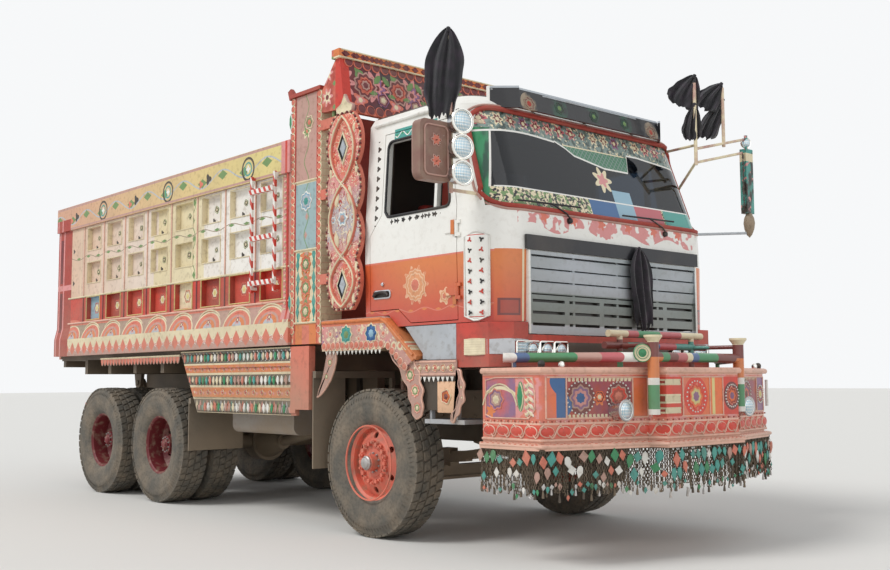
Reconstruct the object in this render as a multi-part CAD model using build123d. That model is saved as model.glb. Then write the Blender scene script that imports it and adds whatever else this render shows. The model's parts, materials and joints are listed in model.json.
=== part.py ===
from build123d import *
import os
from math import atan2, cos, degrees, hypot, radians, sin, sqrt

os.makedirs("parts", exist_ok=True)

# Decorated six wheel drive pattern tipper truck, forward control cab, tipping body
# Millimetres. X runs forward from the front axle line, Y to the left side, Z up from the road
# Overall reach, which sets where the origin lies
NOSE_X = 2172
TAIL_X = -5880

# Wheels and axles
TYRE_R = 550
TYRE_W = 290
RIM_R = 285
TYRE_GRIP = 14
BEAD = TYRE_W * 0.31
FRONT_TYRE_Y = 1040
REAR_OUTER_Y = 1100
DUAL_PITCH = 330
REAR_AXLE_X = -3317
TANDEM = 1300
AXLE_Z = TYRE_R
KINGPIN_Y = 880
KINGPIN_R = 24
SPINDLE_R = 42
PIN_PLAY = 0.05
SEAT = 0.3
RUNNING_GAP = 6

# Frame
RAIL_OUT_Y = 425
RAIL_FLANGE = 80
RAIL_T = 10
RAIL_Z0 = 830
RAIL_H = 250
RAIL_FRONT = 1290
RAIL_REAR = -5360
RAIL_TOP = RAIL_Z0 + RAIL_H

# Cab
CAB_REAR = 0
CAB_Z0 = 1545
CAB_WALL = 45
CAB_HALF = 1215
CAB_NOSE = 1420
CAB_CORNER = 300
BELT_Z = 2290
DRIP_Z = 3080
ROOF_Z = 3185
GLASS_T = 8
DOOR_GAP = 6
DOOR_FRONT = 1030
DOOR_REAR = 55
DOOR_Z0 = 1562
DOOR_T = 50
HINGE_HEIGHTS = (1760, 2190)
HINGE_PIN_R = 9
HINGE_SLEEVE_R = 17
HINGE_SLEEVE_HALF = 32
HINGE_LUG_H = 24
SIDE_LINE = CAB_NOSE - CAB_CORNER - 50

# Tipping body
BED_FRONT = -850
BED_REAR = -5800
BED_HALF = 1250
# Rear face of the body's front wall and front face of its box pillars
HEADBOARD_REAR = -950
PILLAR_FRONT = -530
BED_WALL = 70
BED_FLOOR_Z = 1400
BED_FLOOR_T = 50
BED_TOP = 3140
BED_PIVOT_X = -5290
BED_PIVOT_Z = 1150
BED_PIVOT_R = 30
POST_TOP = 3480

# Panel grid of the body sides
PANEL_COUNT = 8
PANEL_PITCH = 510
PANEL_FIRST_X = -4820
PANEL_W = 330
PANEL_DEPTH = 45

# Hoist
HOIST_FOOT_X = -3900
HOIST_FOOT_Z = 800
HOIST_EYE_X = -2500
HOIST_EYE_Z = 1190
HOIST_BARREL_R = 88
HOIST_ROD_R = 45
HOIST_EYE_R = 62
HOIST_EYE_HALF = 45

# Front bumper
BUMPER_Z0 = 720
BUMPER_Z1 = 1235
BUMPER_WALL = 40
FRINGE_Z0 = 365

SHIFT_X = -(NOSE_X + TAIL_X) / 2
NODES = {}


def block(x0, x1, y0, y1, z0, z1):
    """A box between two corners."""
    middle = Pos((x0 + x1) / 2, (y0 + y1) / 2, (z0 + z1) / 2)
    return middle * Box(abs(x1 - x0), abs(y1 - y0), abs(z1 - z0))


def slab_y(points, y0, y1):
    """An outline of (x, z) points made solid between two widths."""
    outline = Polyline(*[(x, y0, z) for x, z in points], close=True)
    return extrude(make_face(outline), amount=y1 - y0, dir=(0, 1, 0))


def slab_x(points, x0, x1):
    """An outline of (y, z) points made solid between two stations."""
    outline = Polyline(*[(x0, y, z) for y, z in points], close=True)
    return extrude(make_face(outline), amount=x1 - x0, dir=(1, 0, 0))


def slab_z(points, z0, z1):
    """An outline of (x, y) points made solid between two heights."""
    outline = Polyline(*[(x, y, z0) for x, y in points], close=True)
    return extrude(make_face(outline), amount=z1 - z0, dir=(0, 0, 1))


def bar(start, end, radius):
    """A round bar between two points."""
    a = Vector(*start)
    b = Vector(*end)
    plane = Plane(origin=a, z_dir=b - a)
    return extrude(plane * Circle(radius), amount=(b - a).length)


def bar_y(x, z, radius, y0, y1):
    """A round bar across the truck."""
    return bar((x, min(y0, y1), z), (x, max(y0, y1), z), radius)


def bar_z(x, y, radius, z0, z1):
    """A round upright bar."""
    return bar((x, y, z0), (x, y, z1), radius)


def joined(pieces):
    """One solid from pieces that touch."""
    whole = pieces[0]
    for piece in pieces[1:]:
        whole = whole + piece
    return whole


def other_side(shape):
    """The same shape on the other side of the truck."""
    return mirror(shape, about=Plane.XZ)


def keep(name, *pieces):
    """Store the solids of one node."""
    solids = []
    for piece in pieces:
        solids.extend(piece.solids())
    NODES[name] = solids


# Frame
def frame_rail(side):
    outer = side * RAIL_OUT_Y
    inner = side * (RAIL_OUT_Y - RAIL_FLANGE)
    solid = block(RAIL_REAR, RAIL_FRONT, inner, outer, RAIL_Z0, RAIL_TOP)
    hollow_y = side * (RAIL_OUT_Y - RAIL_T)
    cavity = block(
        RAIL_REAR - 1, RAIL_FRONT + 1, inner - side, hollow_y, RAIL_Z0 + RAIL_T, RAIL_TOP - RAIL_T
    )
    ear = slab_y(
        [
            (BED_PIVOT_X + 70, RAIL_Z0 + 60),
            (BED_PIVOT_X + 70, BED_PIVOT_Z),
            (BED_PIVOT_X + 30, BED_PIVOT_Z + 45),
            (BED_PIVOT_X - 30, BED_PIVOT_Z + 45),
            (BED_PIVOT_X - 70, BED_PIVOT_Z),
            (BED_PIVOT_X - 70, RAIL_Z0 + 60),
        ],
        outer - side * RAIL_T,
        outer + side * EAR_T,
    )
    pin = bar_y(
        BED_PIVOT_X, BED_PIVOT_Z, BED_PIVOT_R, outer, side * (RAIL_OUT_Y + EAR_T + PIVOT_REACH)
    )
    return (solid - cavity) + ear + pin


EAR_T = 25
PIVOT_REACH = 55
CROSSMEMBERS_X = (1200, -1480, -2150, -4640, -5200)
CROSS_T = 60
CROSS_H = 120
CROSS_DROP = 12


def crossmembers():
    half = RAIL_OUT_Y - RAIL_T - SEAT
    mid = RAIL_TOP - CROSS_DROP - CROSS_H / 2
    pieces = []
    for x in CROSSMEMBERS_X:
        web = block(x - CROSS_T / 2, x + CROSS_T / 2, -half, half, mid - CROSS_H / 2, mid + CROSS_H / 2)
        groove = block(
            x - CROSS_T / 2 + RAIL_T,
            x + CROSS_T,
            -half - 1,
            half + 1,
            mid - CROSS_H / 2 + RAIL_T,
            mid + CROSS_H / 2 - RAIL_T,
        )
        pieces.append(web - groove)
    return pieces


# Front axle, springs and steering
BEAM_HALF_X = 44
BOSS_R = 45
BOSS_HALF_Z = 70
EAR_Z = 30
BEAM_DROP = 110
STEER_ARM_X = -200
STEER_ARM_Z0 = AXLE_Z - BOSS_HALF_Z - SEAT - EAR_Z
TRACK_ROD_R = 18
SPRING_Y = RAIL_OUT_Y - 35
SPRING_W = 70
LEAF_T = 14


def front_axle():
    upper = AXLE_Z + 55
    lower = AXLE_Z - 55
    outline = [
        (-KINGPIN_Y, lower),
        (-690, lower),
        (-560, lower - BEAM_DROP),
        (560, lower - BEAM_DROP),
        (690, lower),
        (KINGPIN_Y, lower),
        (KINGPIN_Y, upper),
        (690, upper),
        (560, upper - BEAM_DROP),
        (-560, upper - BEAM_DROP),
        (-690, upper),
        (-KINGPIN_Y, upper),
    ]
    beam = slab_x(outline, -BEAM_HALF_X, BEAM_HALF_X)
    groove_low = lower - BEAM_DROP + 22
    groove_high = upper - BEAM_DROP - 22
    for side in (-1, 1):
        groove = block(side * 18, side * 60, -540, 540, groove_low, groove_high)
        beam = beam - groove
        boss = bar_z(0, side * KINGPIN_Y, BOSS_R, AXLE_Z - BOSS_HALF_Z, AXLE_Z + BOSS_HALF_Z)
        reach = BOSS_HALF_Z + SEAT + EAR_Z + 8
        pin = bar_z(0, side * KINGPIN_Y, KINGPIN_R, AXLE_Z - reach, AXLE_Z + reach)
        beam = beam + boss + pin
    pad_z = upper - BEAM_DROP
    for side in (-1, 1):
        pad = block(-75, 75, side * SPRING_Y - 45, side * SPRING_Y + 45, pad_z - 5, pad_z + 25)
        beam = beam + pad
    return beam


def leaf_pack(x, y, z_mid, half_length, count, rise, upward):
    """Curved leaves; the longest lies on the side where the ends point."""
    radius = (half_length**2 + rise**2) / (2 * rise)
    way = 1 if upward else -1
    centre_z = z_mid + way * radius
    pack = None
    for index in range(count):
        inner = radius + index * LEAF_T
        outer = inner + LEAF_T
        reach = half_length * (1 - 0.13 * index)
        plane = Plane(origin=(x, y + SPRING_W / 2, centre_z), z_dir=(0, -1, 0))
        ring = extrude(plane * (Circle(outer) - Circle(inner)), amount=SPRING_W)
        low = z_mid - rise - count * LEAF_T
        high = z_mid + rise + count * LEAF_T
        leaf = ring & block(x - reach, x + reach, y - SPRING_W, y + SPRING_W, low, high)
        pack = leaf if pack is None else pack + leaf
    return pack


FRONT_LEAVES = 6
FRONT_SPRING_HALF = 690
FRONT_SPRING_RISE = 105
REAR_LEAVES = 8
REAR_SPRING_RISE = 70
REAR_SPRING_Y = RAIL_OUT_Y + 62
TRUNNION_X = REAR_AXLE_X - TANDEM / 2


def front_spring(side):
    y = side * SPRING_Y
    seat_z = AXLE_Z + 55 - BEAM_DROP + 25 + SEAT
    z_mid = seat_z + FRONT_LEAVES * LEAF_T
    pack = leaf_pack(0, y, z_mid, FRONT_SPRING_HALF, FRONT_LEAVES, FRONT_SPRING_RISE, True)
    eye_z = z_mid + FRONT_SPRING_RISE - 10
    clamp = block(-60, 60, y - SPRING_W / 2 - 12, y + SPRING_W / 2 + 12, z_mid - 20, z_mid + 24)
    pieces = [pack, clamp]
    for end in (-1, 1):
        eye_x = end * (FRONT_SPRING_HALF - 10)
        pieces.append(bar_y(eye_x, eye_z, 34, y - SPRING_W / 2, y + SPRING_W / 2))
        pieces.append(block(eye_x - 30, eye_x + 30, y - 30, y + 30, eye_z, RAIL_Z0 - SEAT))
    return joined(pieces)


def rear_spring(side):
    y = side * REAR_SPRING_Y
    z_mid = AXLE_Z + HOUSING_R + PAD_H + REAR_SPRING_RISE
    half = TANDEM / 2 + 20
    pack = leaf_pack(TRUNNION_X, y, z_mid, half, REAR_LEAVES, REAR_SPRING_RISE, False)
    clamp = block(
        TRUNNION_X - 90, TRUNNION_X + 90, y - 47, y + 47, z_mid - 30, z_mid + REAR_LEAVES * LEAF_T + 15
    )
    saddle_z = AXLE_Z + 30
    saddle = slab_y(
        [
            (TRUNNION_X - 85, z_mid - 20),
            (TRUNNION_X - 60, saddle_z - 50),
            (TRUNNION_X + 60, saddle_z - 50),
            (TRUNNION_X + 85, z_mid - 20),
        ],
        y - 42,
        y + 42,
    )
    return joined([pack, clamp, saddle])


def trunnion_bracket():
    """Hanger plate under each rail with the stub that the spring saddle turns on."""
    z = AXLE_Z + 30
    inner = REAR_SPRING_Y - 42 - SEAT
    brackets = []
    for side in (-1, 1):
        stub = bar_y(TRUNNION_X, z, 55, side * (RAIL_OUT_Y - 61), side * inner)
        plate = slab_y(
            [
                (TRUNNION_X - 190, RAIL_Z0 - SEAT),
                (TRUNNION_X - 60, z - 45),
                (TRUNNION_X + 60, z - 45),
                (TRUNNION_X + 190, RAIL_Z0 - SEAT),
            ],
            side * (RAIL_OUT_Y - 60),
            side * (RAIL_OUT_Y - 20),
        )
        brackets.append(stub + plate)
    return brackets


HUB_R = 105
HOUSING_R = 72
PAD_H = 50
NOSE_L = 230
CASE_HALF = 85
REAR_SPINDLE_R = 60
BANJO_R = 205


def rear_axle(x):
    """Banjo housing, differential nose and the two hub spindles."""
    tube = bar_y(x, AXLE_Z, HOUSING_R, -REAR_INNER_FACE, REAR_INNER_FACE)
    spindle = bar_y(x, AXLE_Z, REAR_SPINDLE_R, -REAR_SPINDLE_END, REAR_SPINDLE_END)
    banjo = bar((x - CASE_HALF, 0, AXLE_Z), (x + CASE_HALF, 0, AXLE_Z), BANJO_R)
    nose = Pos(x + CASE_HALF, 0, AXLE_Z) * (Rot(0, 90, 0) * Cone(BANJO_R * 0.85, 80, NOSE_L, align=NOSE_ALIGN))
    pads = []
    for side in (-1, 1):
        y = side * REAR_SPRING_Y
        pads.append(block(x - 80, x + 80, y - 45, y + 45, AXLE_Z, AXLE_Z + HOUSING_R + PAD_H - SEAT))
    return joined([tube, spindle, banjo, nose] + pads)


NOSE_ALIGN = (Align.CENTER, Align.CENTER, Align.MIN)
REAR_INNER_FACE = REAR_OUTER_Y - DUAL_PITCH - TYRE_W / 2 - RUNNING_GAP
REAR_SPINDLE_END = REAR_OUTER_Y - DUAL_PITCH / 2 + 120


def knuckle(side):
    """Fork round the axle boss, spindle, brake plate and steering arm."""
    y = side * KINGPIN_Y
    top = AXLE_Z + BOSS_HALF_Z + SEAT
    low = AXLE_Z - BOSS_HALF_Z - SEAT
    web_in = y + side * (BOSS_R + RUNNING_GAP)
    web_out = web_in + side * 14
    pieces = []
    for z0, z1 in ((top, top + EAR_Z), (low - EAR_Z, low)):
        ear = bar_z(0, y, BOSS_R, z0, z1) + block(-BOSS_R, BOSS_R, y, web_out, z0, z1)
        pieces.append(ear)
    pieces.append(block(-90, 90, web_in, web_out, low - EAR_Z, top + EAR_Z))
    plate = bar_y(0, AXLE_Z, BRAKE_R, web_in, web_out)
    spindle_end = side * (FRONT_TYRE_Y + 60)
    spindle = bar_y(0, AXLE_Z, SPINDLE_R, web_in, spindle_end)
    arm = block(STEER_ARM_X, 0, y - 26, y + 26, STEER_ARM_Z0, low)
    eye = bar_z(STEER_ARM_X, y, 34, STEER_ARM_Z0, low)
    ball = bar_z(STEER_ARM_X, y, 14, STEER_ARM_Z0 - 52, STEER_ARM_Z0)
    solid = joined(pieces + [plate, spindle, arm, eye, ball])
    bore = bar_z(0, y, KINGPIN_R + PIN_PLAY, low - EAR_Z - 20, top + EAR_Z + 20)
    return solid - bore


BRAKE_R = 195


def track_rod():
    """Cross tube behind the axle with a socket round each ball pin."""
    z = STEER_ARM_Z0 - 30
    rod = bar_y(STEER_ARM_X, z, TRACK_ROD_R, -KINGPIN_Y + 25, KINGPIN_Y - 25)
    whole = rod
    for side in (-1, 1):
        socket = bar_z(STEER_ARM_X, side * KINGPIN_Y, 32, z - 22, z + 22)
        bore = bar_z(STEER_ARM_X, side * KINGPIN_Y, 14 + PIN_PLAY, z - 30, z + 30)
        whole = (whole + socket) - bore
    return whole


# Wheels
def revolved(points, x, y, side):
    """A profile of (radius, offset) points turned about a wheel axis."""
    outline = Polyline(*[(r, side * w, 0) for r, w in points], close=True)
    ring = revolve(make_face(outline), axis=Axis.Y)
    return Pos(x, y, AXLE_Z) * ring


def tyre(x, y, side):
    half = TYRE_W / 2
    profile = [
        (RIM_R - TYRE_GRIP, -BEAD),
        (RIM_R + 8, -BEAD),
        (RIM_R + 34, -half * 0.90),
        (RIM_R + 120, -half),
        (TYRE_R - 62, -half * 0.96),
        (TYRE_R - 14, -half * 0.80),
        (TYRE_R, -half * 0.56),
        (TYRE_R, half * 0.56),
        (TYRE_R - 14, half * 0.80),
        (TYRE_R - 62, half * 0.96),
        (RIM_R + 120, half),
        (RIM_R + 34, half * 0.90),
        (RIM_R + 8, BEAD),
        (RIM_R - TYRE_GRIP, BEAD),
    ]
    return revolved(profile, x, y, side)


RIM_T = 12
RIM_WELL_R = RIM_R - TYRE_GRIP - SEAT
HAND_HOLES = 6
HAND_HOLE_R = 24
HAND_HOLE_PCR = 190
STUD_COUNT = 10
STUD_PCR = 142


def rim(x, y, side, dish, drop):
    """Rim barrel with a dished disc; dish is the offset of the disc's hub part."""
    half = BEAD + SEAT
    flange = half + 10
    well = RIM_WELL_R - RIM_T
    profile = [
        (RIM_WELL_R, -half),
        (RIM_R + 6, -half),
        (RIM_R + 6, -flange),
        (RIM_R - 10, -flange),
        (well, -half + 6),
        (well, half - 6),
        (RIM_R - 10, flange),
        (RIM_R + 6, flange),
        (RIM_R + 6, half),
        (RIM_WELL_R, half),
    ]
    barrel = revolved(profile, x, y, side)
    disc_profile = [
        (HUB_R - 2, dish),
        (HUB_R - 2, dish + 14),
        (STUD_PCR + 25, dish + 14),
        (well + 2, dish + drop + 14),
        (well + 2, dish + drop),
        (STUD_PCR + 25, dish),
    ]
    disc = revolved(disc_profile, x, y, side)
    for index in range(HAND_HOLES):
        angle = 360 / HAND_HOLES * (index + 0.5)
        hx = x + HAND_HOLE_PCR * cos(radians(angle)) * 1.06
        hz = AXLE_Z + HAND_HOLE_PCR * sin(radians(angle)) * 1.06
        disc = disc - bar_y(hx, hz, HAND_HOLE_R, y - side * 140, y + side * 140)
    return barrel + disc


FRONT_DROP = -46
FRONT_DISH = 72
REAR_DROP = 92
REAR_DISH = -DUAL_PITCH / 2


def hub(x, y, side, start, end, bore_r, cap_r):
    """Hub barrel with a bearing bore and a domed cap."""
    body = bar_y(x, AXLE_Z, HUB_R, y + side * start, y + side * end)
    cap = bar_y(x, AXLE_Z, cap_r, y + side * end, y + side * (end + 62))
    solid = body + cap
    bore = bar_y(x, AXLE_Z, bore_r + PIN_PLAY, y + side * (start - 5), y + side * (end - 2))
    return solid - bore


def studs(x, y, side, offset, length):
    pieces = []
    for index in range(STUD_COUNT):
        angle = radians(360 / STUD_COUNT * index)
        sx = x + STUD_PCR * cos(angle)
        sz = AXLE_Z + STUD_PCR * sin(angle)
        start = y + side * offset
        stud = extrude(
            Plane(origin=(sx, start, sz), z_dir=(0, side, 0)) * RegularPolygon(17, 6), amount=length
        )
        pieces.append(stud)
    return pieces


def front_wheel(side):
    y = side * FRONT_TYRE_Y
    web_out = side * (KINGPIN_Y + BOSS_R + RUNNING_GAP + 14)
    drum_in = web_out + side * RUNNING_GAP
    start = abs(drum_in) - FRONT_TYRE_Y
    wheel_rim = rim(0, y, side, FRONT_DISH, FRONT_DROP)
    centre = hub(0, y, side, start, FRONT_DISH + 20, SPINDLE_R, 62)
    drum = bar_y(0, AXLE_Z, BRAKE_R, drum_in, y + side * (FRONT_DISH - 60))
    drum = drum - bar_y(0, AXLE_Z, SPINDLE_R + PIN_PLAY, drum_in - side * 5, y + side * FRONT_DISH)
    neck = bar_y(0, AXLE_Z, HUB_R + 62, y + side * (FRONT_DISH - 61), y + side * (FRONT_DISH + 1))
    neck = neck - bar_y(0, AXLE_Z, SPINDLE_R + PIN_PLAY, y, y + side * (FRONT_DISH + 2))
    solid = joined([wheel_rim, centre, drum, neck] + studs(0, y, side, FRONT_DISH + 13, 30))
    return solid


def rear_wheel(x, side):
    """Twin rims back to back on one hub, with the brake drum inboard."""
    outer_y = side * REAR_OUTER_Y
    inner_y = side * (REAR_OUTER_Y - DUAL_PITCH)
    outer = rim(x, outer_y, side, REAR_DISH, REAR_DROP)
    inner = rim(x, inner_y, -side, REAR_DISH, REAR_DROP)
    drum_in = inner_y - side * (TYRE_W / 2 - RUNNING_GAP)
    start = abs(drum_in) - REAR_OUTER_Y
    bore_r = REAR_SPINDLE_R + PIN_PLAY
    end = REAR_DISH + 130
    centre = hub(x, outer_y, side, start, end, REAR_SPINDLE_R, 85)
    drum = bar_y(x, AXLE_Z, BRAKE_R, drum_in, inner_y + side * 40)
    mating_y = outer_y + side * REAR_DISH
    flange = bar_y(x, AXLE_Z, STUD_PCR + 24, mating_y - side * 34, mating_y - side * 13)
    pieces = [outer, inner, centre, drum, flange] + studs(x, outer_y, side, REAR_DISH + 13, 34)
    solid = joined(pieces)
    return solid - bar_y(x, AXLE_Z, bore_r, drum_in - side * 20, outer_y + side * (end - 2))


# Engine, drive and tanks
GEARBOX_REAR = -1330
TANK_TOP = 1190


def engine_block():
    engine = block(-560, 760, -290, 290, 680, 1240)
    gearbox = block(GEARBOX_REAR, -560, -190, 190, 720, 1120)
    lugs = [block(-100, 0, side * 250, side * 400, RAIL_TOP + SEAT, RAIL_TOP + 40) for side in (-1, 1)]
    return joined([engine, gearbox] + lugs)


def propshafts():
    """Front and inter axle shafts with their end flanges."""
    case = CASE_HALF + NOSE_L
    # Runs: front x, front z, rear x, rear z
    runs = [
        (GEARBOX_REAR, 850, REAR_AXLE_X + case, AXLE_Z),
        (REAR_AXLE_X - CASE_HALF, AXLE_Z, REAR_AXLE_X - TANDEM + case, AXLE_Z),
    ]
    shafts = []
    for front_x, front_z, rear_x, rear_z in runs:
        front_in = front_x - SEAT - 40
        rear_in = rear_x + SEAT + 40
        front = bar((front_x - SEAT, 0, front_z), (front_in, 0, front_z), 78)
        rear = bar((rear_in, 0, rear_z), (rear_x + SEAT, 0, rear_z), 78)
        tube = bar((front_in + 12, 0, front_z), (rear_in - 12, 0, rear_z), 48)
        shafts.append(joined([front, rear, tube]))
    return shafts


def side_tanks():
    """Fuel tank on the right, air cylinders on the left, on frame brackets."""
    tank_y0 = RAIL_OUT_Y + 70
    tank = block(-2250, -1250, -(tank_y0 + 520), -tank_y0, 700, TANK_TOP)
    tank = fillet(tank.edges().filter_by(Axis.X), 70)
    pieces = [tank]
    for x in (-2050, -1450):
        pieces.append(block(x - 30, x + 30, -tank_y0 - 20, -RAIL_OUT_Y - SEAT, 900, 1050))
    left = []
    for z in (800, 1060):
        left.append(bar((-2200, RAIL_OUT_Y + 260, z), (-1300, RAIL_OUT_Y + 260, z), 120))
    for x in (-2050, -1450):
        left.append(block(x - 30, x + 30, RAIL_OUT_Y + SEAT, RAIL_OUT_Y + 260, 850, 1050))
        left.append(block(x - 30, x + 30, RAIL_OUT_Y + 150, RAIL_OUT_Y + 370, 800, 1060))
    return [joined(pieces), joined(left)]


CAB_MOUNTS_X = (110, 900)


def cab_mounts():
    """Pillars on the rails that the cab floor stands on."""
    pieces = []
    for x in CAB_MOUNTS_X:
        for side in (-1, 1):
            y0 = side * (RAIL_OUT_Y - RAIL_FLANGE + 5)
            pieces.append(block(x - 40, x + 40, y0, side * RAIL_OUT_Y, RAIL_TOP + SEAT, CAB_Z0 - SEAT))
    return pieces


RAD_HALF = RAIL_OUT_Y - RAIL_FLANGE - 12
RAD_Z0 = 790
RAD_TOP = 1285
RAD_FINS = 7


def radiator():
    """Cooler between the rails ahead of the engine, ribbed across its front."""
    core = block(1000, 1080, -RAD_HALF, RAD_HALF, RAD_Z0, RAD_TOP)
    for index in range(RAD_FINS):
        z = RAD_Z0 + 60 + index * (RAD_TOP - RAD_Z0 - 120) / (RAD_FINS - 1)
        core = core - block(1062, 1081, -RAD_HALF + 30, RAD_HALF - 30, z - 16, z + 16)
    for side in (-1, 1):
        foot = block(1010, 1070, side * (RAD_HALF - 20), side * (RAIL_OUT_Y - 60), RAIL_TOP + SEAT, RAIL_TOP + 30)
        core = core + foot
    return core


GRILLE_HALF = 940
GRILLE_Z0 = 1465
GRILLE_Z1 = 2025
GRILLE_DEPTH = 32
BAND_Z1 = 2130

# Cab shell sections: height, half width, nose station, corner radius
CAB_SECTIONS = [
    (CAB_Z0, CAB_HALF - 10, CAB_NOSE - 12, CAB_CORNER - 20),
    (GRILLE_Z1 + 5, CAB_HALF, CAB_NOSE, CAB_CORNER),
    (BELT_Z, CAB_HALF, CAB_NOSE - 12, CAB_CORNER),
    (DRIP_Z, CAB_HALF - 52, CAB_NOSE - 290, CAB_CORNER - 20),
    (ROOF_Z - 35, CAB_HALF - 100, CAB_NOSE - 350, CAB_CORNER - 60),
    (ROOF_Z, CAB_HALF - 210, CAB_NOSE - 450, CAB_CORNER - 100),
]


CAB_FORMS = {}


def cab_form(inset):
    """The cab's outer form moved in by inset."""
    if inset in CAB_FORMS:
        return CAB_FORMS[inset]
    faces = []
    for z, half, nose, corner in CAB_SECTIONS:
        rear = CAB_REAR + inset
        w = half - inset
        n = nose - inset
        r = corner - inset
        k = r * (1 - sqrt(0.5))
        start = Line((rear, -w, z), (n - r, -w, z))
        bend_a = ThreePointArc((n - r, -w, z), (n - k, -w + k, z), (n, -w + r, z))
        front = Line((n, -w + r, z), (n, w - r, z))
        bend_b = ThreePointArc((n, w - r, z), (n - k, w - k, z), (n - r, w, z))
        back = Line((n - r, w, z), (rear, w, z))
        close = Line((rear, w, z), (rear, -w, z))
        faces.append(make_face([start, bend_a, front, bend_b, back, close]))
    solid = None
    for low, high in zip(faces[:-1], faces[1:]):
        part = loft([low, high], ruled=True)
        solid = part if solid is None else solid + part
    CAB_FORMS[inset] = solid
    return solid


def cab_solid(inset, z_low, z_high):
    """The inset cab form between two heights."""
    wide = CAB_HALF + 100
    return cab_form(inset) & block(-200, CAB_NOSE + 200, -wide, wide, z_low, z_high)


# Outline of the door in the side of the cab, (x, z), from the front foot round
DOOR_OUTLINE = [
    (DOOR_FRONT, DOOR_Z0),
    (DOOR_FRONT, BELT_Z + 60),
    (DOOR_FRONT - 125, DRIP_Z - 90),
    (DOOR_REAR + 135, DRIP_Z - 90),
    (DOOR_REAR + 135, BELT_Z + 90),
    (DOOR_REAR, BELT_Z - 60),
    (DOOR_REAR, DOOR_Z0 + 105),
    (DOOR_REAR + 330, DOOR_Z0 + 105),
    (DOOR_REAR + 470, DOOR_Z0),
]
WINDOW_OUTLINE = [
    (DOOR_FRONT - 80, BELT_Z + 75),
    (DOOR_FRONT - 165, DRIP_Z - 165),
    (DOOR_REAR + 190, DRIP_Z - 165),
    (DOOR_REAR + 190, BELT_Z + 75),
]
QUARTER_BAR_X = 785
QUARTER_BAR_W = 28
SCREEN_OUTLINE = [
    (-CAB_HALF + 50, BELT_Z + 35),
    (-CAB_HALF + 95, DRIP_Z - 40),
    (CAB_HALF - 95, DRIP_Z - 40),
    (CAB_HALF - 50, BELT_Z + 35),
]


def grown(points, amount):
    """The outline's points moved out from its middle by about amount."""
    face = make_face(Polyline(*[(a, b, 0) for a, b in points], close=True))
    wire = offset(face, amount=amount, kind=Kind.INTERSECTION)
    return [(v.X, v.Y) for v in ordered_corners(wire)]


def ordered_corners(face):
    wire = face.faces()[0].outer_wire()
    return [edge.start_point() if edge.is_forward else edge.end_point() for edge in wire.edges()]


def wheel_space(side):
    """The room over a front fender that the cab's floor and sides leave free."""
    free = [(x + (4 if x > 0 else 0), z + 6) for x, z in FENDER_TOP]
    outline = free + [(free[-1][0], 1200), (-100, 1200), (-100, free[0][1])]
    return slab_y(outline, side * (FENDER_IN_Y - RUNNING_GAP), side * (FENDER_OUT_Y + 50))


def cab_pieces():
    outer = cab_solid(0, CAB_Z0, ROOF_Z)
    inner = cab_solid(CAB_WALL, CAB_Z0 - 1, ROOF_Z - CAB_WALL)
    shell = outer - inner
    wide = CAB_HALF + 50
    door_hole = slab_y(DOOR_OUTLINE, -wide, wide)
    screen_hole = slab_x(SCREEN_OUTLINE, CAB_NOSE - 520, CAB_NOSE + 200)
    roof = shell & block(-50, CAB_NOSE + 50, -wide, wide, DRIP_Z, ROOF_Z + 10)
    lower = shell & block(-50, CAB_NOSE + 50, -wide, wide, CAB_Z0, DRIP_Z - SEAT)
    back = lower & block(-50, CAB_REAR + CAB_WALL, -wide, wide, CAB_Z0, DRIP_Z)
    rest = lower & block(CAB_REAR + CAB_WALL + SEAT, CAB_NOSE + 50, -wide, wide, CAB_Z0, DRIP_Z)
    sides = rest & block(0, SIDE_LINE, -wide, wide, CAB_Z0, DRIP_Z)
    front = rest & block(SIDE_LINE + SEAT, CAB_NOSE + 50, -wide, wide, CAB_Z0, DRIP_Z)
    rear_light = block(-60, CAB_REAR + CAB_WALL + 10, -520, 520, BELT_Z + 130, DRIP_Z - 170)
    arches = [wheel_space(side) for side in (-1, 1)]
    sides = sides - door_hole - arches[0] - arches[1]
    for side in (-1, 1):
        sides = sides - hinge_room(side, HINGE_SLEEVE_HALF + SEAT) + hinge_lugs(side)
    front = front - screen_hole
    recess = block(
        CAB_NOSE - GRILLE_DEPTH, CAB_NOSE + 50, -GRILLE_HALF, GRILLE_HALF, GRILLE_Z0 - 50, GRILLE_Z1
    )
    front = front - recess
    back = back - rear_light - arches[0] - arches[1]
    return roof, back, sides, front


def hinge_room(side, half):
    """Round room about each door hinge, half high above and below its middle."""
    radius = HINGE_SLEEVE_R + RUNNING_GAP
    rooms = [bar_z(DOOR_FRONT, side * CAB_HALF, radius, z - half, z + half) for z in HINGE_HEIGHTS]
    return rooms[0] + rooms[1]


def hinge_lugs(side):
    """Lugs and pins on the door pillar."""
    pieces = []
    y = side * CAB_HALF
    near = HINGE_SLEEVE_HALF + SEAT
    far = near + HINGE_LUG_H
    for z in HINGE_HEIGHTS:
        for z0, z1 in ((z - far, z - near), (z + near, z + far)):
            eye = bar_z(DOOR_FRONT, y, HINGE_SLEEVE_R - 1, z0, z1)
            pieces.append(eye + block(DOOR_FRONT, SIDE_LINE, y - side * 30, y + side * 12, z0, z1))
        pieces.append(bar_z(DOOR_FRONT, y, HINGE_PIN_R, z - far, z + far))
    return joined(pieces)


def hinge_straps(side):
    """Straps on the door's face that end in sleeves round the pins."""
    pieces = []
    y = side * CAB_HALF
    for z in HINGE_HEIGHTS:
        sleeve = bar_z(DOOR_FRONT, y, HINGE_SLEEVE_R, z - HINGE_SLEEVE_HALF, z + HINGE_SLEEVE_HALF)
        strap = block(DOOR_FRONT - 120, DOOR_FRONT, y - side * 12, y + side * 10, z - 26, z + 26)
        bore = bar_z(DOOR_FRONT, y, HINGE_PIN_R + PIN_PLAY, z - 100, z + 100)
        pieces.append(sleeve + strap - bore)
    return pieces


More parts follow.
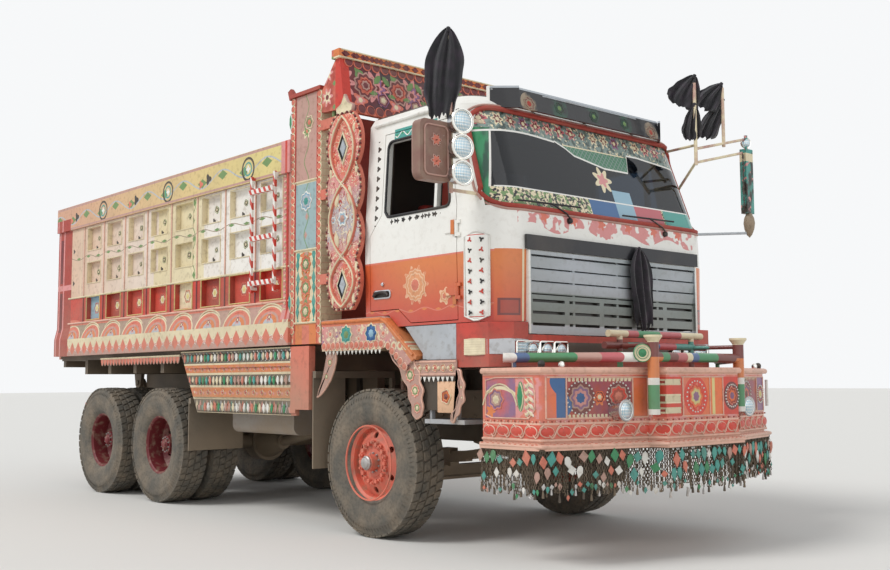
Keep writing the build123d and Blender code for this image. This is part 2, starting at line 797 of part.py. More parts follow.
def door(side, thickness):
    wide = CAB_HALF + 50
    outer = cab_solid(0, CAB_Z0, DRIP_Z)
    inner = cab_solid(thickness, CAB_Z0 - 1, DRIP_Z)
    skin = outer - inner
    leaf_outline = grown(DOOR_OUTLINE, -DOOR_GAP)
    leaf = skin & slab_y(leaf_outline, side * (CAB_HALF - 130), side * wide)
    window = slab_y(WINDOW_OUTLINE, side * (CAB_HALF - 200), side * wide)
    bar_solid = block(
        QUARTER_BAR_X, QUARTER_BAR_X + QUARTER_BAR_W, side * (CAB_HALF - 200), side * wide, 0, 4000
    )
    leaf = leaf - (window - bar_solid) - hinge_room(side, HINGE_SLEEVE_HALF + HINGE_LUG_H + RUNNING_GAP)
    return joined([leaf] + hinge_straps(side))


def windscreen():
    wide = CAB_HALF + 50
    skin = cab_solid(14, BELT_Z, DRIP_Z) - cab_solid(14 + GLASS_T, BELT_Z - 1, DRIP_Z + 1)
    outline = grown(SCREEN_OUTLINE, -SEAT)
    front = skin & slab_x(outline, CAB_NOSE - 519, CAB_NOSE + 200)
    return front & block(SIDE_LINE + 1, CAB_NOSE + 50, -wide, wide, 0, 4000)


GRILLE_SLATS = 3
SLAT_H = 78
SLAT_GAP = 9
SLAT_LEAN = 10
SLOT_ROWS = 3
SLOT_H = 20
SLOTS = 5
SLOT_W = 318
GRILLE_PROUD = 18
BAND_HALF = 955


def grille():
    """Three broad slats over a slotted panel, set in a frame, and the bare band above."""
    x1 = CAB_NOSE + GRILLE_PROUD
    x0 = CAB_NOSE - GRILLE_DEPTH + SEAT
    y = GRILLE_HALF - SEAT
    z0 = GRILLE_Z0
    z1 = GRILLE_Z1 - SEAT
    rim = 26
    body = block(x0, x1, -y, y, z0, z1) - block(x0 - 1, x1 + 1, -y + rim, y - rim, z0 + rim, z1 - rim)
    face_x = x1 - 6
    top = z1 - rim - SLAT_GAP
    for index in range(GRILLE_SLATS):
        z = top - index * (SLAT_H + SLAT_GAP)
        slat = slab_y(
            [(face_x - 8, z), (face_x, z - 6), (face_x - SLAT_LEAN, z - SLAT_H), (face_x - SLAT_LEAN - 8, z - SLAT_H)],
            1 + rim - y,
            y - rim - 1,
        )
        body = body + slat
        for way in (-1, 1):
            edge_y = way * (y - rim)
            body = body + block(face_x - 22, face_x - 14, edge_y, edge_y - way * 30, z - SLAT_H, z)
            body = body + block(face_x - 22, face_x - 6, edge_y - way * 1, edge_y - way * 6, z - SLAT_H, z)
    panel_top = top - GRILLE_SLATS * (SLAT_H + SLAT_GAP)
    panel = block(face_x - 16, face_x - 8, 1 + rim - y, y - rim - 1, z0 + rim - 1, panel_top)
    pitch_z = (panel_top - z0 - rim) / SLOT_ROWS
    pitch_y = 2 * (y - rim) / SLOTS
    for row in range(SLOT_ROWS):
        z = z0 + rim + pitch_z * (row + 0.5)
        for column in range(SLOTS):
            middle = pitch_y * (column - (SLOTS - 1) / 2)
            panel = panel - block(
                face_x - 20, face_x, middle - SLOT_W / 2, middle + SLOT_W / 2, z - SLOT_H / 2, z + SLOT_H / 2
            )
    body = body + panel
    for edge_y in (y - rim, rim - y):
        body = body + block(face_x - 16, face_x - 8, edge_y - 2, edge_y + 2, z0 + rim - 1, panel_top)
    for stay in (-470, 0, 470):
        body = body + block(x0, face_x - 15, stay - 12, stay + 12, z0 + 20, z1 - 20)
    band = block(CAB_NOSE + SEAT, CAB_NOSE + 22, -BAND_HALF, BAND_HALF, GRILLE_Z1 + 8, BAND_Z1)
    return [body, band]


def cab_floor():
    """Floor sheet, engine hump and the boxes over the front wheels."""
    room = cab_form(CAB_WALL + SEAT)
    x0 = CAB_REAR + CAB_WALL + SEAT
    floor = block(x0, CAB_NOSE - 60, -CAB_HALF, CAB_HALF, CAB_Z0, CAB_Z0 + FLOOR_T)
    hump = block(x0, CAB_NOSE - 330, -330, 330, CAB_Z0, CAB_Z0 + HUMP_H)
    boxes = []
    for side in (-1, 1):
        box = slab_y(
            [
                (x0, CAB_Z0),
                (x0, FENDER_TOP[0][1] + 34),
                (FENDER_TOP[1][0] + 20, FENDER_TOP[1][1] + 34),
                (FENDER_TOP[1][0] + 120, CAB_Z0),
            ],
            side * (FENDER_IN_Y - 34),
            side * CAB_HALF,
        )
        boxes.append(box)
    whole = joined([floor, hump] + boxes) & room
    return whole - wheel_space(-1) - wheel_space(1)


FLOOR_T = 18
HUMP_H = 90


def dashboard():
    outline = [
        (CAB_NOSE - 330, CAB_Z0 + 400),
        (CAB_NOSE - 400, CAB_Z0 + 520),
        (CAB_NOSE - 360, CAB_Z0 + 680),
        (CAB_NOSE, CAB_Z0 + 700),
        (CAB_NOSE, CAB_Z0 + 400),
    ]
    return slab_y(outline, -CAB_HALF + 100, CAB_HALF - 100) & cab_form(CAB_WALL + SEAT)


def seats():
    pieces = []
    for y in (-590, 590):
        cushion = block(190, 690, y - 225, y + 225, CAB_Z0 + 300, CAB_Z0 + 430)
        pillar = block(250, 630, y - 170, y + 170, CAB_Z0 + FLOOR_T + SEAT, CAB_Z0 + 301)
        back = slab_y(
            [
                (180, CAB_Z0 + 380),
                (310, CAB_Z0 + 380),
                (200, CAB_Z0 + 980),
                (90, CAB_Z0 + 980),
            ],
            y - 220,
            y + 220,
        )
        pieces.append(joined([cushion, pillar, back]))
    return pieces


WHEEL_RING_R = 225
WHEEL_GRIP_R = 14


def steering_wheel():
    centre = Vector(760, -590, CAB_Z0 + 700)
    way = Vector(-0.45, 0, 0.89).normalized()
    ring_plane = Plane(origin=centre, z_dir=way)
    ring = ring_plane * Torus(WHEEL_RING_R, WHEEL_GRIP_R)
    hub_disc = extrude(ring_plane * Circle(48), amount=-45)
    column = bar(tuple(centre), tuple(centre - way * 820), 24)
    spokes = []
    for angle in (0, 120, 240):
        reach = (WHEEL_RING_R * cos(radians(angle)), WHEEL_RING_R * sin(radians(angle)), 0)
        tip = ring_plane.from_local_coords(reach)
        spokes.append(bar(tuple(centre), tuple(tip), 8))
    above_floor = CAB_Z0 + FLOOR_T + SEAT
    room = block(0, CAB_NOSE, -CAB_HALF, 0, above_floor, DRIP_Z)
    return joined([ring, hub_disc, column] + spokes) & room


VISOR_HALF = 960
VISOR_Z0 = 3060
VISOR_Z1 = 3215


def visor():
    """Sun visor board over the windscreen, held clear on brackets."""
    outline = [
        (CAB_NOSE - 215, VISOR_Z0),
        (CAB_NOSE - 190, VISOR_Z0),
        (CAB_NOSE - 225, VISOR_Z1),
        (CAB_NOSE - 250, VISOR_Z1),
    ]
    board = slab_y(outline, -VISOR_HALF + 160, VISOR_HALF - 160)
    ends = []
    for side in (-1, 1):
        a = side * (VISOR_HALF - 161)
        b = side * VISOR_HALF
        end = slab_z(
            [
                (CAB_NOSE - 190, a),
                (CAB_NOSE - 330, b),
                (CAB_NOSE - 355, b),
                (CAB_NOSE - 215, a),
            ],
            VISOR_Z0,
            VISOR_Z1,
        )
        ends.append(end)
    arms = []
    for y in (-560, 0, 560):
        arms.append(block(CAB_NOSE - 400, CAB_NOSE - 205, y - 15, y + 15, DRIP_Z + 5, DRIP_Z + 30))
    return joined([board] + ends + arms) - cab_form(0)


BEAM_Z0 = BUMPER_Z1 + 8
BEAM_TOP = CAB_Z0 - 5
LAMP_ROW = (1300, 1412)


def headlamp_bar():
    """Front beam under the cab with its returns and the recessed lamp row."""
    half = CAB_HALF - 3
    outer = [
        (1015, -half),
        (1330, -half),
        (CAB_NOSE + 15, -half + 130),
        (CAB_NOSE + 15, half - 130),
        (1330, half),
        (1015, half),
    ]
    inner = [
        (1014, -half + BEAM_T),
        (1310, -half + BEAM_T),
        (CAB_NOSE + 15 - BEAM_T, -half + 130 + BEAM_T * 0.6),
        (CAB_NOSE + 15 - BEAM_T, half - 130 - BEAM_T * 0.6),
        (1310, half - BEAM_T),
        (1014, half - BEAM_T),
    ]
    beam = slab_z(outer, BEAM_Z0, BEAM_TOP) - slab_z(inner, BEAM_Z0 - 1, BEAM_TOP + 1)
    middle = GRILLE_HALF + RUNNING_GAP
    beam = beam - block(CAB_NOSE - 100, CAB_NOSE + 60, -middle, middle, GRILLE_Z0 - 6, BEAM_TOP + 5)
    for side in (-1, 1):
        row = block(CAB_NOSE - 5, CAB_NOSE + 20, side * 560, side * (half - 150), *LAMP_ROW)
        beam = beam - row
        arm = block(RAIL_FRONT - 60, CAB_NOSE - 20, side * 360, side * 400, RAIL_TOP + SEAT, BEAM_Z0 + 60)
        beam = beam + arm
    return beam


BEAM_T = 50


# Outer things
FENDER_OUT_Y = 1250
FENDER_IN_Y = 890
FENDER_T = 30
FENDER_LOW = 1400
# Top line of the front fender, (x, z), from the rear forwards
FENDER_TOP = [(-515, 1625), (270, 1625), (640, 1330)]


FENDER_CREST_R = 60


def fender(side):
    """Arched top and outer skirt over a front wheel."""
    rear_x = FENDER_TOP[0][0]
    under = [(x - 15 if x > 0 else x + FENDER_T, z - FENDER_T) for x, z in FENDER_TOP]
    top = [(rear_x, FENDER_LOW)] + FENDER_TOP + under[::-1] + [(rear_x + FENDER_T, FENDER_LOW)]
    cover = slab_y(top, side * FENDER_IN_Y, side * FENDER_OUT_Y)
    crest_x, crest_z = FENDER_TOP[1]
    crest = [e for e in cover.edges() if abs(e.center().X - crest_x) < 1 and abs(e.center().Z - crest_z) < 1]
    cover = fillet(crest, FENDER_CREST_R)
    lip_line = [(rear_x, 1450)] + FENDER_TOP + [(500, 1240), (240, 1450)]
    lip = slab_y(lip_line, side * (FENDER_OUT_Y - FENDER_T), side * FENDER_OUT_Y)
    crest = [e for e in lip.edges() if abs(e.center().X - crest_x) < 1 and abs(e.center().Z - crest_z) < 1]
    lip = fillet(crest, FENDER_CREST_R)
    rail_y = side * (RAIL_OUT_Y + SEAT)
    stay = block(rear_x, rear_x + 30, rail_y, side * (FENDER_IN_Y + 10), FENDER_LOW, FENDER_LOW + 40)
    drop = block(rear_x, rear_x + 30, rail_y, side * (RAIL_OUT_Y + 30), RAIL_Z0 + 60, FENDER_LOW + 40)
    return joined([cover, lip, stay, drop])


STEP_X0 = 660
STEP_X1 = 1030


def step(side):
    """Grey panel under the door, tread, lower tread bar and its legs."""
    y_out = side * (CAB_HALF - 5)
    y_in = side * (CAB_HALF - 330)
    top = CAB_Z0 - RUNNING_GAP
    panel = slab_y(
        [(STEP_X0 - 190, top), (STEP_X1 - 20, top), (STEP_X1 - 20, STEP_Z1), (STEP_X0, STEP_Z1), (STEP_X0, 1345)],
        y_out,
        y_out - side * 40,
    )
    tread = block(STEP_X0, STEP_X1 - 20, y_in, y_out, STEP_Z1, STEP_Z1 + 25)
    lower = block(STEP_X0 + 20, STEP_X1 + 60, y_in, y_out, STEP_Z0, STEP_Z0 + 30)
    legs = []
    for x in (STEP_X0 + 40, STEP_X1 - 60):
        legs.append(block(x, x + 22, y_out - side * 60, y_out - side * 30, STEP_Z0, STEP_Z1 + 5))
    rail_y = side * (RAIL_OUT_Y + SEAT)
    arm = block(STEP_X1 - 100, STEP_X1 - 50, rail_y, y_in + side * 5, STEP_Z0, STEP_Z0 + 50)
    return joined([panel, tread, lower, arm] + legs)


STEP_Z1 = 1300
STEP_Z0 = 860


def mud_flap(side):
    y0 = side * 915
    y1 = side * 1225
    flap = block(-672, -660, y0, y1, 470, 1230)
    rail_y = side * (RAIL_OUT_Y + SEAT)
    bracket = block(-672, -630, rail_y, y1, 1180, 1235)
    drop = block(-672, -630, rail_y, side * (RAIL_OUT_Y + 30), RAIL_TOP - 120, 1235)
    return flap + bracket + drop


REAR_FLAP_GAP = 67
SKIRT_REAR = REAR_AXLE_X + TYRE_R + 267
SKIRT_SLANT = 340


def rear_mud_flap(side):
    x = REAR_AXLE_X + TYRE_R + REAR_FLAP_GAP
    flap = block(x - 12, x, side * 640, side * 1215, 520, 1000)
    bracket = block(x - 12, x + 30, side * RAIL_OUT_Y + side * SEAT, side * 1215, 955, 1005)
    return flap + bracket


SKIRT_FRONT = -880
SKIRT_Z0 = 880
SKIRT_TOP = 1435
SKIRT_T = 40
STAY_Z0 = TANK_TOP + 3


def side_skirt(side):
    """Slant ended valance between the wheels with raised bands, and the post foot."""
    out = side * BED_HALF
    panel = slab_y(
        [
            (SKIRT_REAR - SKIRT_SLANT, SKIRT_TOP),
            (SKIRT_FRONT, SKIRT_TOP),
            (SKIRT_FRONT, SKIRT_Z0),
            (SKIRT_REAR, SKIRT_Z0),
        ],
        out - side * SKIRT_T,
        out - side * 12,
    )
    pieces = [panel]
    # Bands: bottom height, top height
    bands = ((900, 945), (1020, 1075), (1150, 1205), (1280, 1335), (1405, SKIRT_TOP))
    for z0, z1 in bands:
        start = SKIRT_REAR - (z0 - SKIRT_Z0) * SKIRT_SLANT / (SKIRT_TOP - SKIRT_Z0)
        pieces.append(block(start + 20, SKIRT_FRONT, out - side * 20, out, z0, z1))
    foot = block(-950, -690, out - side * 60, out, 930, SKIRT_TOP)
    pieces.append(foot)
    for x in (-2350, -1100):
        pieces.append(
            block(x - 25, x + 25, side * RAIL_OUT_Y + side * SEAT, out - side * 30, STAY_Z0, STAY_Z0 + 45)
        )
        pieces.append(
            block(x - 25, x + 25, side * RAIL_OUT_Y + side * SEAT, side * (RAIL_OUT_Y + 30), 950, STAY_Z0 + 45)
        )
    return joined(pieces)


# Plan outline of the bumper's right half, (x, y), from the rear corner to the middle
LIP_OUT = 32
BUMPER_PLAN = [(1300, -1240), (1820, -1240), (2020, -450), (NOSE_X - LIP_OUT, -405)]


def bumper_outline(grow):
    """Closed plan outline; grow moves the front faces out."""
    right = [
        (BUMPER_PLAN[0][0], BUMPER_PLAN[0][1] - grow),
        (BUMPER_PLAN[1][0] + grow * 0.8, BUMPER_PLAN[1][1] - grow),
        (BUMPER_PLAN[2][0] + grow, BUMPER_PLAN[2][1] - grow * 0.6),
        (BUMPER_PLAN[3][0] + grow, BUMPER_PLAN[3][1] - grow * 0.6),
    ]
    left = [(x, -y) for x, y in reversed(right)]
    return right + left


BUMPER_CORNER = 45


def bumper_slab(grow, z0, z1):
    """The bumper's plan made solid, with its outer corners rounded and its ends level."""
    face = make_face(Polyline(*[(x, y, z0) for x, y in bumper_outline(grow)], close=True))
    corners = [v for v in face.vertices() if abs(v.Y) > 900 and v.X > BUMPER_PLAN[0][0] + 100]
    face = fillet(corners, BUMPER_CORNER + grow)
    return extrude(face, amount=z1 - z0, dir=(0, 0, 1))


def front_bumper():
    """Hollow bumper with a lip, a rim, rounded corners and arms to the frame."""
    rear_x = BUMPER_PLAN[0][0]
    room = block(rear_x, NOSE_X + 200, -CAB_HALF - 200, CAB_HALF + 200, 0, 2000)
    solid = bumper_slab(0, BUMPER_Z0, BUMPER_Z1)
    inner = bumper_slab(-BUMPER_WALL, BUMPER_Z0 + 30, BUMPER_Z1 - 24)
    inner = inner + Pos(-50, 0, 0) * inner
    shell = solid - inner
    lip = bumper_slab(LIP_OUT, BUMPER_Z0, BUMPER_Z0 + 40) & room
    rim_band = bumper_slab(14, BUMPER_Z1 - 34, BUMPER_Z1) & room
    shell = shell + lip + rim_band
    shell = shell - block(1250, 1480, -900, 900, BUMPER_Z0 - 10, BUMPER_Z1 + 10)
    arms = []
    for side in (-1, 1):
        y = side * (RAIL_OUT_Y - 40)
        arms.append(block(RAIL_FRONT + SEAT, 2000, y - 38, y + 38, RAIL_Z0, RAIL_Z0 + 180))
    whole = joined([shell] + arms)
    for side in (-1, 1):
        whole = whole - bar((1900, side * FOG_Y, FOG_Z), (2200, side * FOG_Y, FOG_Z), FOG_R + SEAT)
    return whole


FOG_Y = 690
FOG_Z = 960
FOG_R = 62
POST_R = 38
POST_Z0 = 930
POST_CLEAR = 18.5
# The posts stand off the middle of the slanted faces between the bumper's centre and its wings
FACET_RUN = (BUMPER_PLAN[3][0] - BUMPER_PLAN[2][0], BUMPER_PLAN[3][1] - BUMPER_PLAN[2][1])
FACET_OFF = (POST_R + POST_CLEAR) / hypot(*FACET_RUN)
POST_X = (BUMPER_PLAN[2][0] + BUMPER_PLAN[3][0]) / 2 + FACET_RUN[1] * FACET_OFF
POST_Y = FACET_RUN[0] * FACET_OFF - (BUMPER_PLAN[2][1] + BUMPER_PLAN[3][1]) / 2


def fringe():
    """Curtain of hanging chain ornaments under the bumper lip."""
    top = BUMPER_Z0 - SEAT
    solid = bumper_slab(24, FRINGE_Z0, top) - bumper_slab(14, FRINGE_Z0 - 1, top + 1)
    return solid & block(BUMPER_PLAN[0][0] + 1, NOSE_X + 200, -CAB_HALF - 200, CAB_HALF + 200, 0, 2000)


RAIL_POST_TOP = 1400
BOWL_R = 60
BOWL_H = 30


def bumper_rails():
    """Painted posts and the bent cross rails above the bumper shelf."""
    pieces = []
    for side in (-1, 1):
        y = side * POST_Y
        post = bar_z(POST_X, y, POST_R, POST_Z0, RAIL_POST_TOP + 1)
        bowl = Pos(POST_X, y, RAIL_POST_TOP + BOWL_H / 2) * Cone(POST_R, BOWL_R, BOWL_H)
        brim = bar_z(POST_X, y, BOWL_R, RAIL_POST_TOP + BOWL_H - 1, RAIL_POST_TOP + BOWL_H + 12)
        dish = Pos(POST_X, y, RAIL_POST_TOP + BOWL_H + 3) * Cone(POST_R - 14, BOWL_R - 10, 20)
        pieces.extend([post, bowl, brim - dish])
        pieces.append(bar((1440, side * 1190, 1300), (POST_X, y, 1300), 32))
        pieces.append(bar_z(1480, side * 1130, 16, BUMPER_Z1 + SEAT, 1300))
        pieces.append(bar_z(1760, side * 400, 20, BUMPER_Z1 + SEAT, 1480))
        pieces.append(bar((1760, side * 400, 1380), (POST_X, y, 1380), 14))
    pieces.append(bar_y(POST_X, 1300, 32, -POST_Y, POST_Y))
    pieces.append(bar_y(1760, 1385, 24, -560, 560))
    pieces.append(bar_y(1760, 1465, 24, -520, 520))
    return joined(pieces)


def lamps():
    """Head, indicator and fog lamps, and the round lamps by the right mirror."""
    pieces = []
    x0 = CAB_NOSE - 5 + SEAT
    middle = sum(LAMP_ROW) / 2
    for side in (-1, 1):
        for y in (640, 780, 920):
            pieces.append(bar((x0, side * y, middle), (x0 + 34, side * y, middle), 48))
        pieces.append(bar((1903, side * FOG_Y, FOG_Z), (2035, side * FOG_Y, FOG_Z), FOG_R))
    x = MIRROR_X + MIRROR_T + SEAT
    y = -MIRROR_Y + MIRROR_W / 2 + 30
    for dz in ROUND_LAMPS_DZ:
        z = MIRROR_Z + dz
        pieces.append(bar((x, y, z), (x + 70, y, z), 68))
    return pieces


# Mirrors: post station, half width centre, housing size
MIRROR_X = 1130
MIRROR_Y = 1565
MIRROR_W = 270
MIRROR_H = 400
MIRROR_Z = 2650
ARM_R = 14
MIRROR_T = 90
MIRROR_TOP = 3450
ROUND_LAMPS_DZ = (200, 30, -140)
MIRROR_CORNER = 45
MIRROR_EDGE = 16


def mirror_right():
    """Driver's side mirror on an upright between two arms."""
    y = -MIRROR_Y
    post_x = MIRROR_X + 60
    post_y = y + MIRROR_W / 2 + 20
    house = block(
        MIRROR_X, MIRROR_X + MIRROR_T, y - MIRROR_W / 2, y + MIRROR_W / 2, MIRROR_Z - MIRROR_H / 2, MIRROR_Z + MIRROR_H / 2
    )
    house = fillet(house.edges().filter_by(Axis.X), MIRROR_CORNER)
    house = fillet(house.edges().group_by(Axis.X)[0], MIRROR_EDGE)
    post = bar_z(post_x, post_y, ARM_R, MIRROR_Z - 260, MIRROR_TOP)
    pieces = [house, post]
    for z in (MIRROR_Z - 120, MIRROR_Z + 120):
        pieces.append(block(post_x - 8, post_x + 8, y + MIRROR_W / 2 - 5, post_y, z - 12, z + 12))
    for dz in ROUND_LAMPS_DZ:
        z = MIRROR_Z + dz
        pieces.append(block(post_x, MIRROR_X + MIRROR_T, post_y - 8, post_y + 20, z - 12, z + 12))
    for z in (MIRROR_Z - 240, MIRROR_Z + 260):
        arm = block(post_x - 10, post_x + 10, post_y, -CAB_HALF + 100, z - 10, z + 10)
        pieces.append(arm - cab_form(0))
    return joined(pieces)


MAST_X = 1460
MAST_Y = 945
MAST_B_Y = 1330
ANTLER_Y = 1650
BRACE_R = 11
# Uprights of the left mirror frame: y, low z, high z
MASTS = [
    (MAST_Y, 2840, 3500),
    (MAST_B_Y, 3040, 3530),
    (ANTLER_Y, 2340, 3180),
]
# Braces of the left mirror frame, from the cab to a mast or between masts: start, end
BRACES = [
    ((MAST_X - 420, 1060, 3020), (MAST_X, MAST_Y, 3000)),
    ((MAST_X - 290, 1100, 2700), (MAST_X, MAST_Y, 2865)),
    ((MAST_X - 230, 1080, 2320), (MAST_X, ANTLER_Y, 2360)),
    ((MAST_X, MAST_Y, 2970), (MAST_X, ANTLER_Y, 3150)),
    ((MAST_X, MAST_Y, 2860), (MAST_X, ANTLER_Y, 3040)),
]


def mirror_left():
    """Forward mirror frame of bent bars with the long narrow mirror."""
    house = block(MAST_X - 30, MAST_X + 30, ANTLER_Y - 50, ANTLER_Y + 50, 2520, 3060)
    masts = [bar_z(MAST_X, y, ARM_R, z0, z1) for y, z0, z1 in MASTS]
    braces = [bar(start, end, BRACE_R) for start, end in BRACES]
    return joined([house] + masts + braces) - cab_form(0)


CLOTH_T = 50
ROD_SEAT = ARM_R + SEAT
POST_Y_RIGHT = -MIRROR_Y + MIRROR_W / 2 + 20
# Hanging black streamers: rear x, first y, second y, low z, high z
CLOTHS = [
    (MIRROR_X + 40, POST_Y_RIGHT - ROD_SEAT - 150, POST_Y_RIGHT - ROD_SEAT, 2965, 3460),
    (CAB_NOSE + 22 + SEAT, 110, 280, 1575, 2120),
    (MAST_X - 25, MAST_Y - ROD_SEAT - 150, MAST_Y - ROD_SEAT, 3320, 3520),
    (MAST_X - 25, MAST_Y - ROD_SEAT - 90, MAST_Y - ROD_SEAT, 3110, 3300),
    (MAST_X - 25, MAST_B_Y - ROD_SEAT - 150, MAST_B_Y - ROD_SEAT, 3350, 3550),
    (MAST_X - 25, MAST_B_Y + ROD_SEAT, MAST_B_Y + ROD_SEAT + 110, 3130, 3420),
]


def black_cloths():
    """Plain stand in solids for the hanging black streamers."""
    return [block(x, x + CLOTH_T, y0, y1, z0, z1) for x, y0, y1, z0, z1 in CLOTHS]


# Tipping body
SILL_H = 165
BEARERS = 9
BEARER_HALF = 35
BEARER_INSET = 10
REAR_BEARER_H = 70
WEAR_PLATE_T = 6
WEAR_PLATE_GAP = 5
EAR_BED_Y0 = RAIL_OUT_Y + EAR_T + SEAT


def bed_floor():
    """Floor plate, wear plate, sills, cross bearers, pivot ears and hoist lugs as separate members."""
    z_sill = RAIL_TOP + SEAT
    sill_top = z_sill + SILL_H
    floor_low = BED_FLOOR_Z
    floor_top = floor_low + BED_FLOOR_T
    inner = BED_HALF - BED_WALL
    plate = block(BED_REAR, BED_FRONT, -inner, inner, floor_low, floor_top)
    wear = block(
        BED_REAR + WEAR_PLATE_GAP,
        HEADBOARD_REAR - WEAR_PLATE_GAP,
        WEAR_PLATE_GAP - inner,
        inner - WEAR_PLATE_GAP,
        floor_top - 1,
        floor_top + WEAR_PLATE_T,
    )
    members = [plate + wear]
    under = floor_low - SEAT
    for side in (-1, 1):
        y0 = side * (RAIL_OUT_Y - RAIL_FLANGE)
        y1 = side * RAIL_OUT_Y
        members.append(block(BED_PIVOT_X + 90, BED_FRONT - 20, y0, y1, z_sill, sill_top))
        ear = slab_y(
            [
                (BED_PIVOT_X - 60, BED_PIVOT_Z - 30),
                (BED_PIVOT_X - 30, BED_PIVOT_Z - 60),
                (BED_PIVOT_X + 30, BED_PIVOT_Z - 60),
                (BED_PIVOT_X + 60, BED_PIVOT_Z - 30),
                (BED_PIVOT_X + 120, under),
                (BED_PIVOT_X - 120, under),
            ],
            side * EAR_BED_Y0,
            side * (EAR_BED_Y0 + 40),
        )
        bore = bar_y(
            BED_PIVOT_X, BED_PIVOT_Z, BED_PIVOT_R + PIN_PLAY, side * (EAR_BED_Y0 - 5), side * (EAR_BED_Y0 + 45)
        )
        members.append(ear - bore)
    lugs = []
    for side in (-1, 1):
        y0 = side * (HOIST_EYE_HALF + SEAT)
        lug = slab_y(
            [
                (HOIST_EYE_X - 70, HOIST_EYE_Z - 40),
                (HOIST_EYE_X + 70, HOIST_EYE_Z - 40),
                (HOIST_EYE_X + 150, under),
                (HOIST_EYE_X - 150, under),
            ],
            y0,
            y0 + side * 30,
        )
        lugs.append(lug)
    step_x = (BED_FRONT - 90 - (BED_REAR + 60)) / (BEARERS - 1)
    reach = inner - BEARER_INSET
    for index in range(BEARERS):
        x = BED_REAR + 60 + step_x * index
        over_sills = x > BED_PIVOT_X + 90
        low = sill_top + SEAT if over_sills else floor_low - REAR_BEARER_H
        bearer = block(x - BEARER_HALF, x + BEARER_HALF, -reach, reach, low, under)
        if abs(x - HOIST_EYE_X) < 150 + BEARER_HALF:
            bearer = joined([bearer] + lugs)
            lugs = []
        members.append(bearer)
    return members + lugs


# Panel rows of the body sides: bottom height, top height
PANEL_ROWS = ((2600, 2840), (2240, 2460), (1840, 2080))
SIDE_LOW = 1450


def bed_side(side):
    """Side wall with recessed panels, top rail and sloped foot ledge."""
    out = side * BED_HALF
    inner = side * (BED_HALF - BED_WALL)
    wall = block(BED_REAR, BED_FRONT - 100, inner, out, SIDE_LOW, BED_TOP)
    for index in range(PANEL_COUNT):
        x = PANEL_FIRST_X + PANEL_PITCH * index
        for z0, z1 in PANEL_ROWS:
            pocket = block(
                x - PANEL_W / 2, x + PANEL_W / 2, out - side * PANEL_DEPTH, out + side * 5, z0, z1
            )
            wall = wall - pocket
    rail = block(BED_REAR, BED_FRONT - 100, out - side * 5, out + side * 25, BED_TOP - 270, BED_TOP)
    ledge = slab_x(
        [
            (out - side * 5, 1790),
            (out + side * 30, 1640),
            (out + side * 30, SIDE_LOW),
            (out - side * 5, SIDE_LOW),
        ],
        BED_REAR,
        BED_FRONT - 100,
    )
    return joined([wall, rail, ledge])


def headboard():
    """Front wall of the body with its two box pillars."""
    half = BED_HALF - 200 - SEAT
    pillar_x0 = HEADBOARD_REAR
    pillar_x1 = PILLAR_FRONT
    wall = block(HEADBOARD_REAR, BED_FRONT, -half - 20, half + 20, BED_FLOOR_Z + BED_FLOOR_T + SEAT, 3400)
    pieces = [wall]
    for side in (-1, 1):
        pillar = block(pillar_x0 + SEAT, pillar_x1, side * (half + SEAT), side * BED_HALF, SIDE_LOW, POST_TOP)
        cap = block(pillar_x0 - 20, pillar_x1, side * half, side * (BED_HALF + 20), POST_TOP, POST_TOP + 30)
        pieces.extend([pillar, cap])
    return joined(pieces)


CROWN_Z0 = 3245
CROWN_Z1 = 3750


def crown():
    """Crown board over the cab, joined back to the pillars by end cheeks."""
    board = slab_y(
        [(-265, CROWN_Z0), (-225, CROWN_Z0), (-300, CROWN_Z1), (-340, CROWN_Z1)],
        -BED_HALF,
        BED_HALF,
    )
    beam = block(-370, -270, -BED_HALF - 20, BED_HALF + 20, CROWN_Z1 - 70, CROWN_Z1)
    pieces = [board, beam]
    for side in (-1, 1):
        cheek = slab_y(
            [
                (PILLAR_FRONT + SEAT, CROWN_Z0 + 40),
                (-240, CROWN_Z0 + 20),
                (-310, CROWN_Z1 - 30),
                (PILLAR_FRONT + SEAT, POST_TOP - 20),
            ],
            side * (BED_HALF - 40),
            side * BED_HALF,
        )
        pieces.append(cheek)
    return joined(pieces)


ORNAMENT_GAP = 25
ORNAMENT_T = 30
ORNAMENT_X = -200
# Lobes of the carved side board from its foot up: low z, half width there, half width at the swell
ORNAMENT_LOBES = [
    (1690, 110, 215),
    (2080, 165, 230),
    (2440, 165, 230),
    (2800, 165, 225),
]
ORNAMENT_TOP = (3225, 90)
LOZENGE_Z = (1880, 2940)
LOZENGE_HALF = (70, 130)
ORNAMENT_ARM_Z = (1950, 2620, 3180)
ORNAMENT_ARM_HALF = 40
ORNAMENT_ARM_X = -390


def ornament_face(y):
    """The board's outline: four swelling lobes a side between narrow waists."""
    stops = ORNAMENT_LOBES + [(ORNAMENT_TOP[0], ORNAMENT_TOP[1], 0)]
    edges = []
    for way in (1, -1):
        for (low, narrow, swell), (high, narrow_above, _) in zip(stops[:-1], stops[1:]):
            start = (ORNAMENT_X + way * narrow, y, low)
            middle = (ORNAMENT_X + way * swell, y, (low + high) / 2)
            end = (ORNAMENT_X + way * narrow_above, y, high)
            edges.append(ThreePointArc(start, middle, end))
    for z, half in (ORNAMENT_LOBES[0][:2], ORNAMENT_TOP):
        edges.append(Line((ORNAMENT_X - half, y, z), (ORNAMENT_X + half, y, z)))
    return make_face(edges)


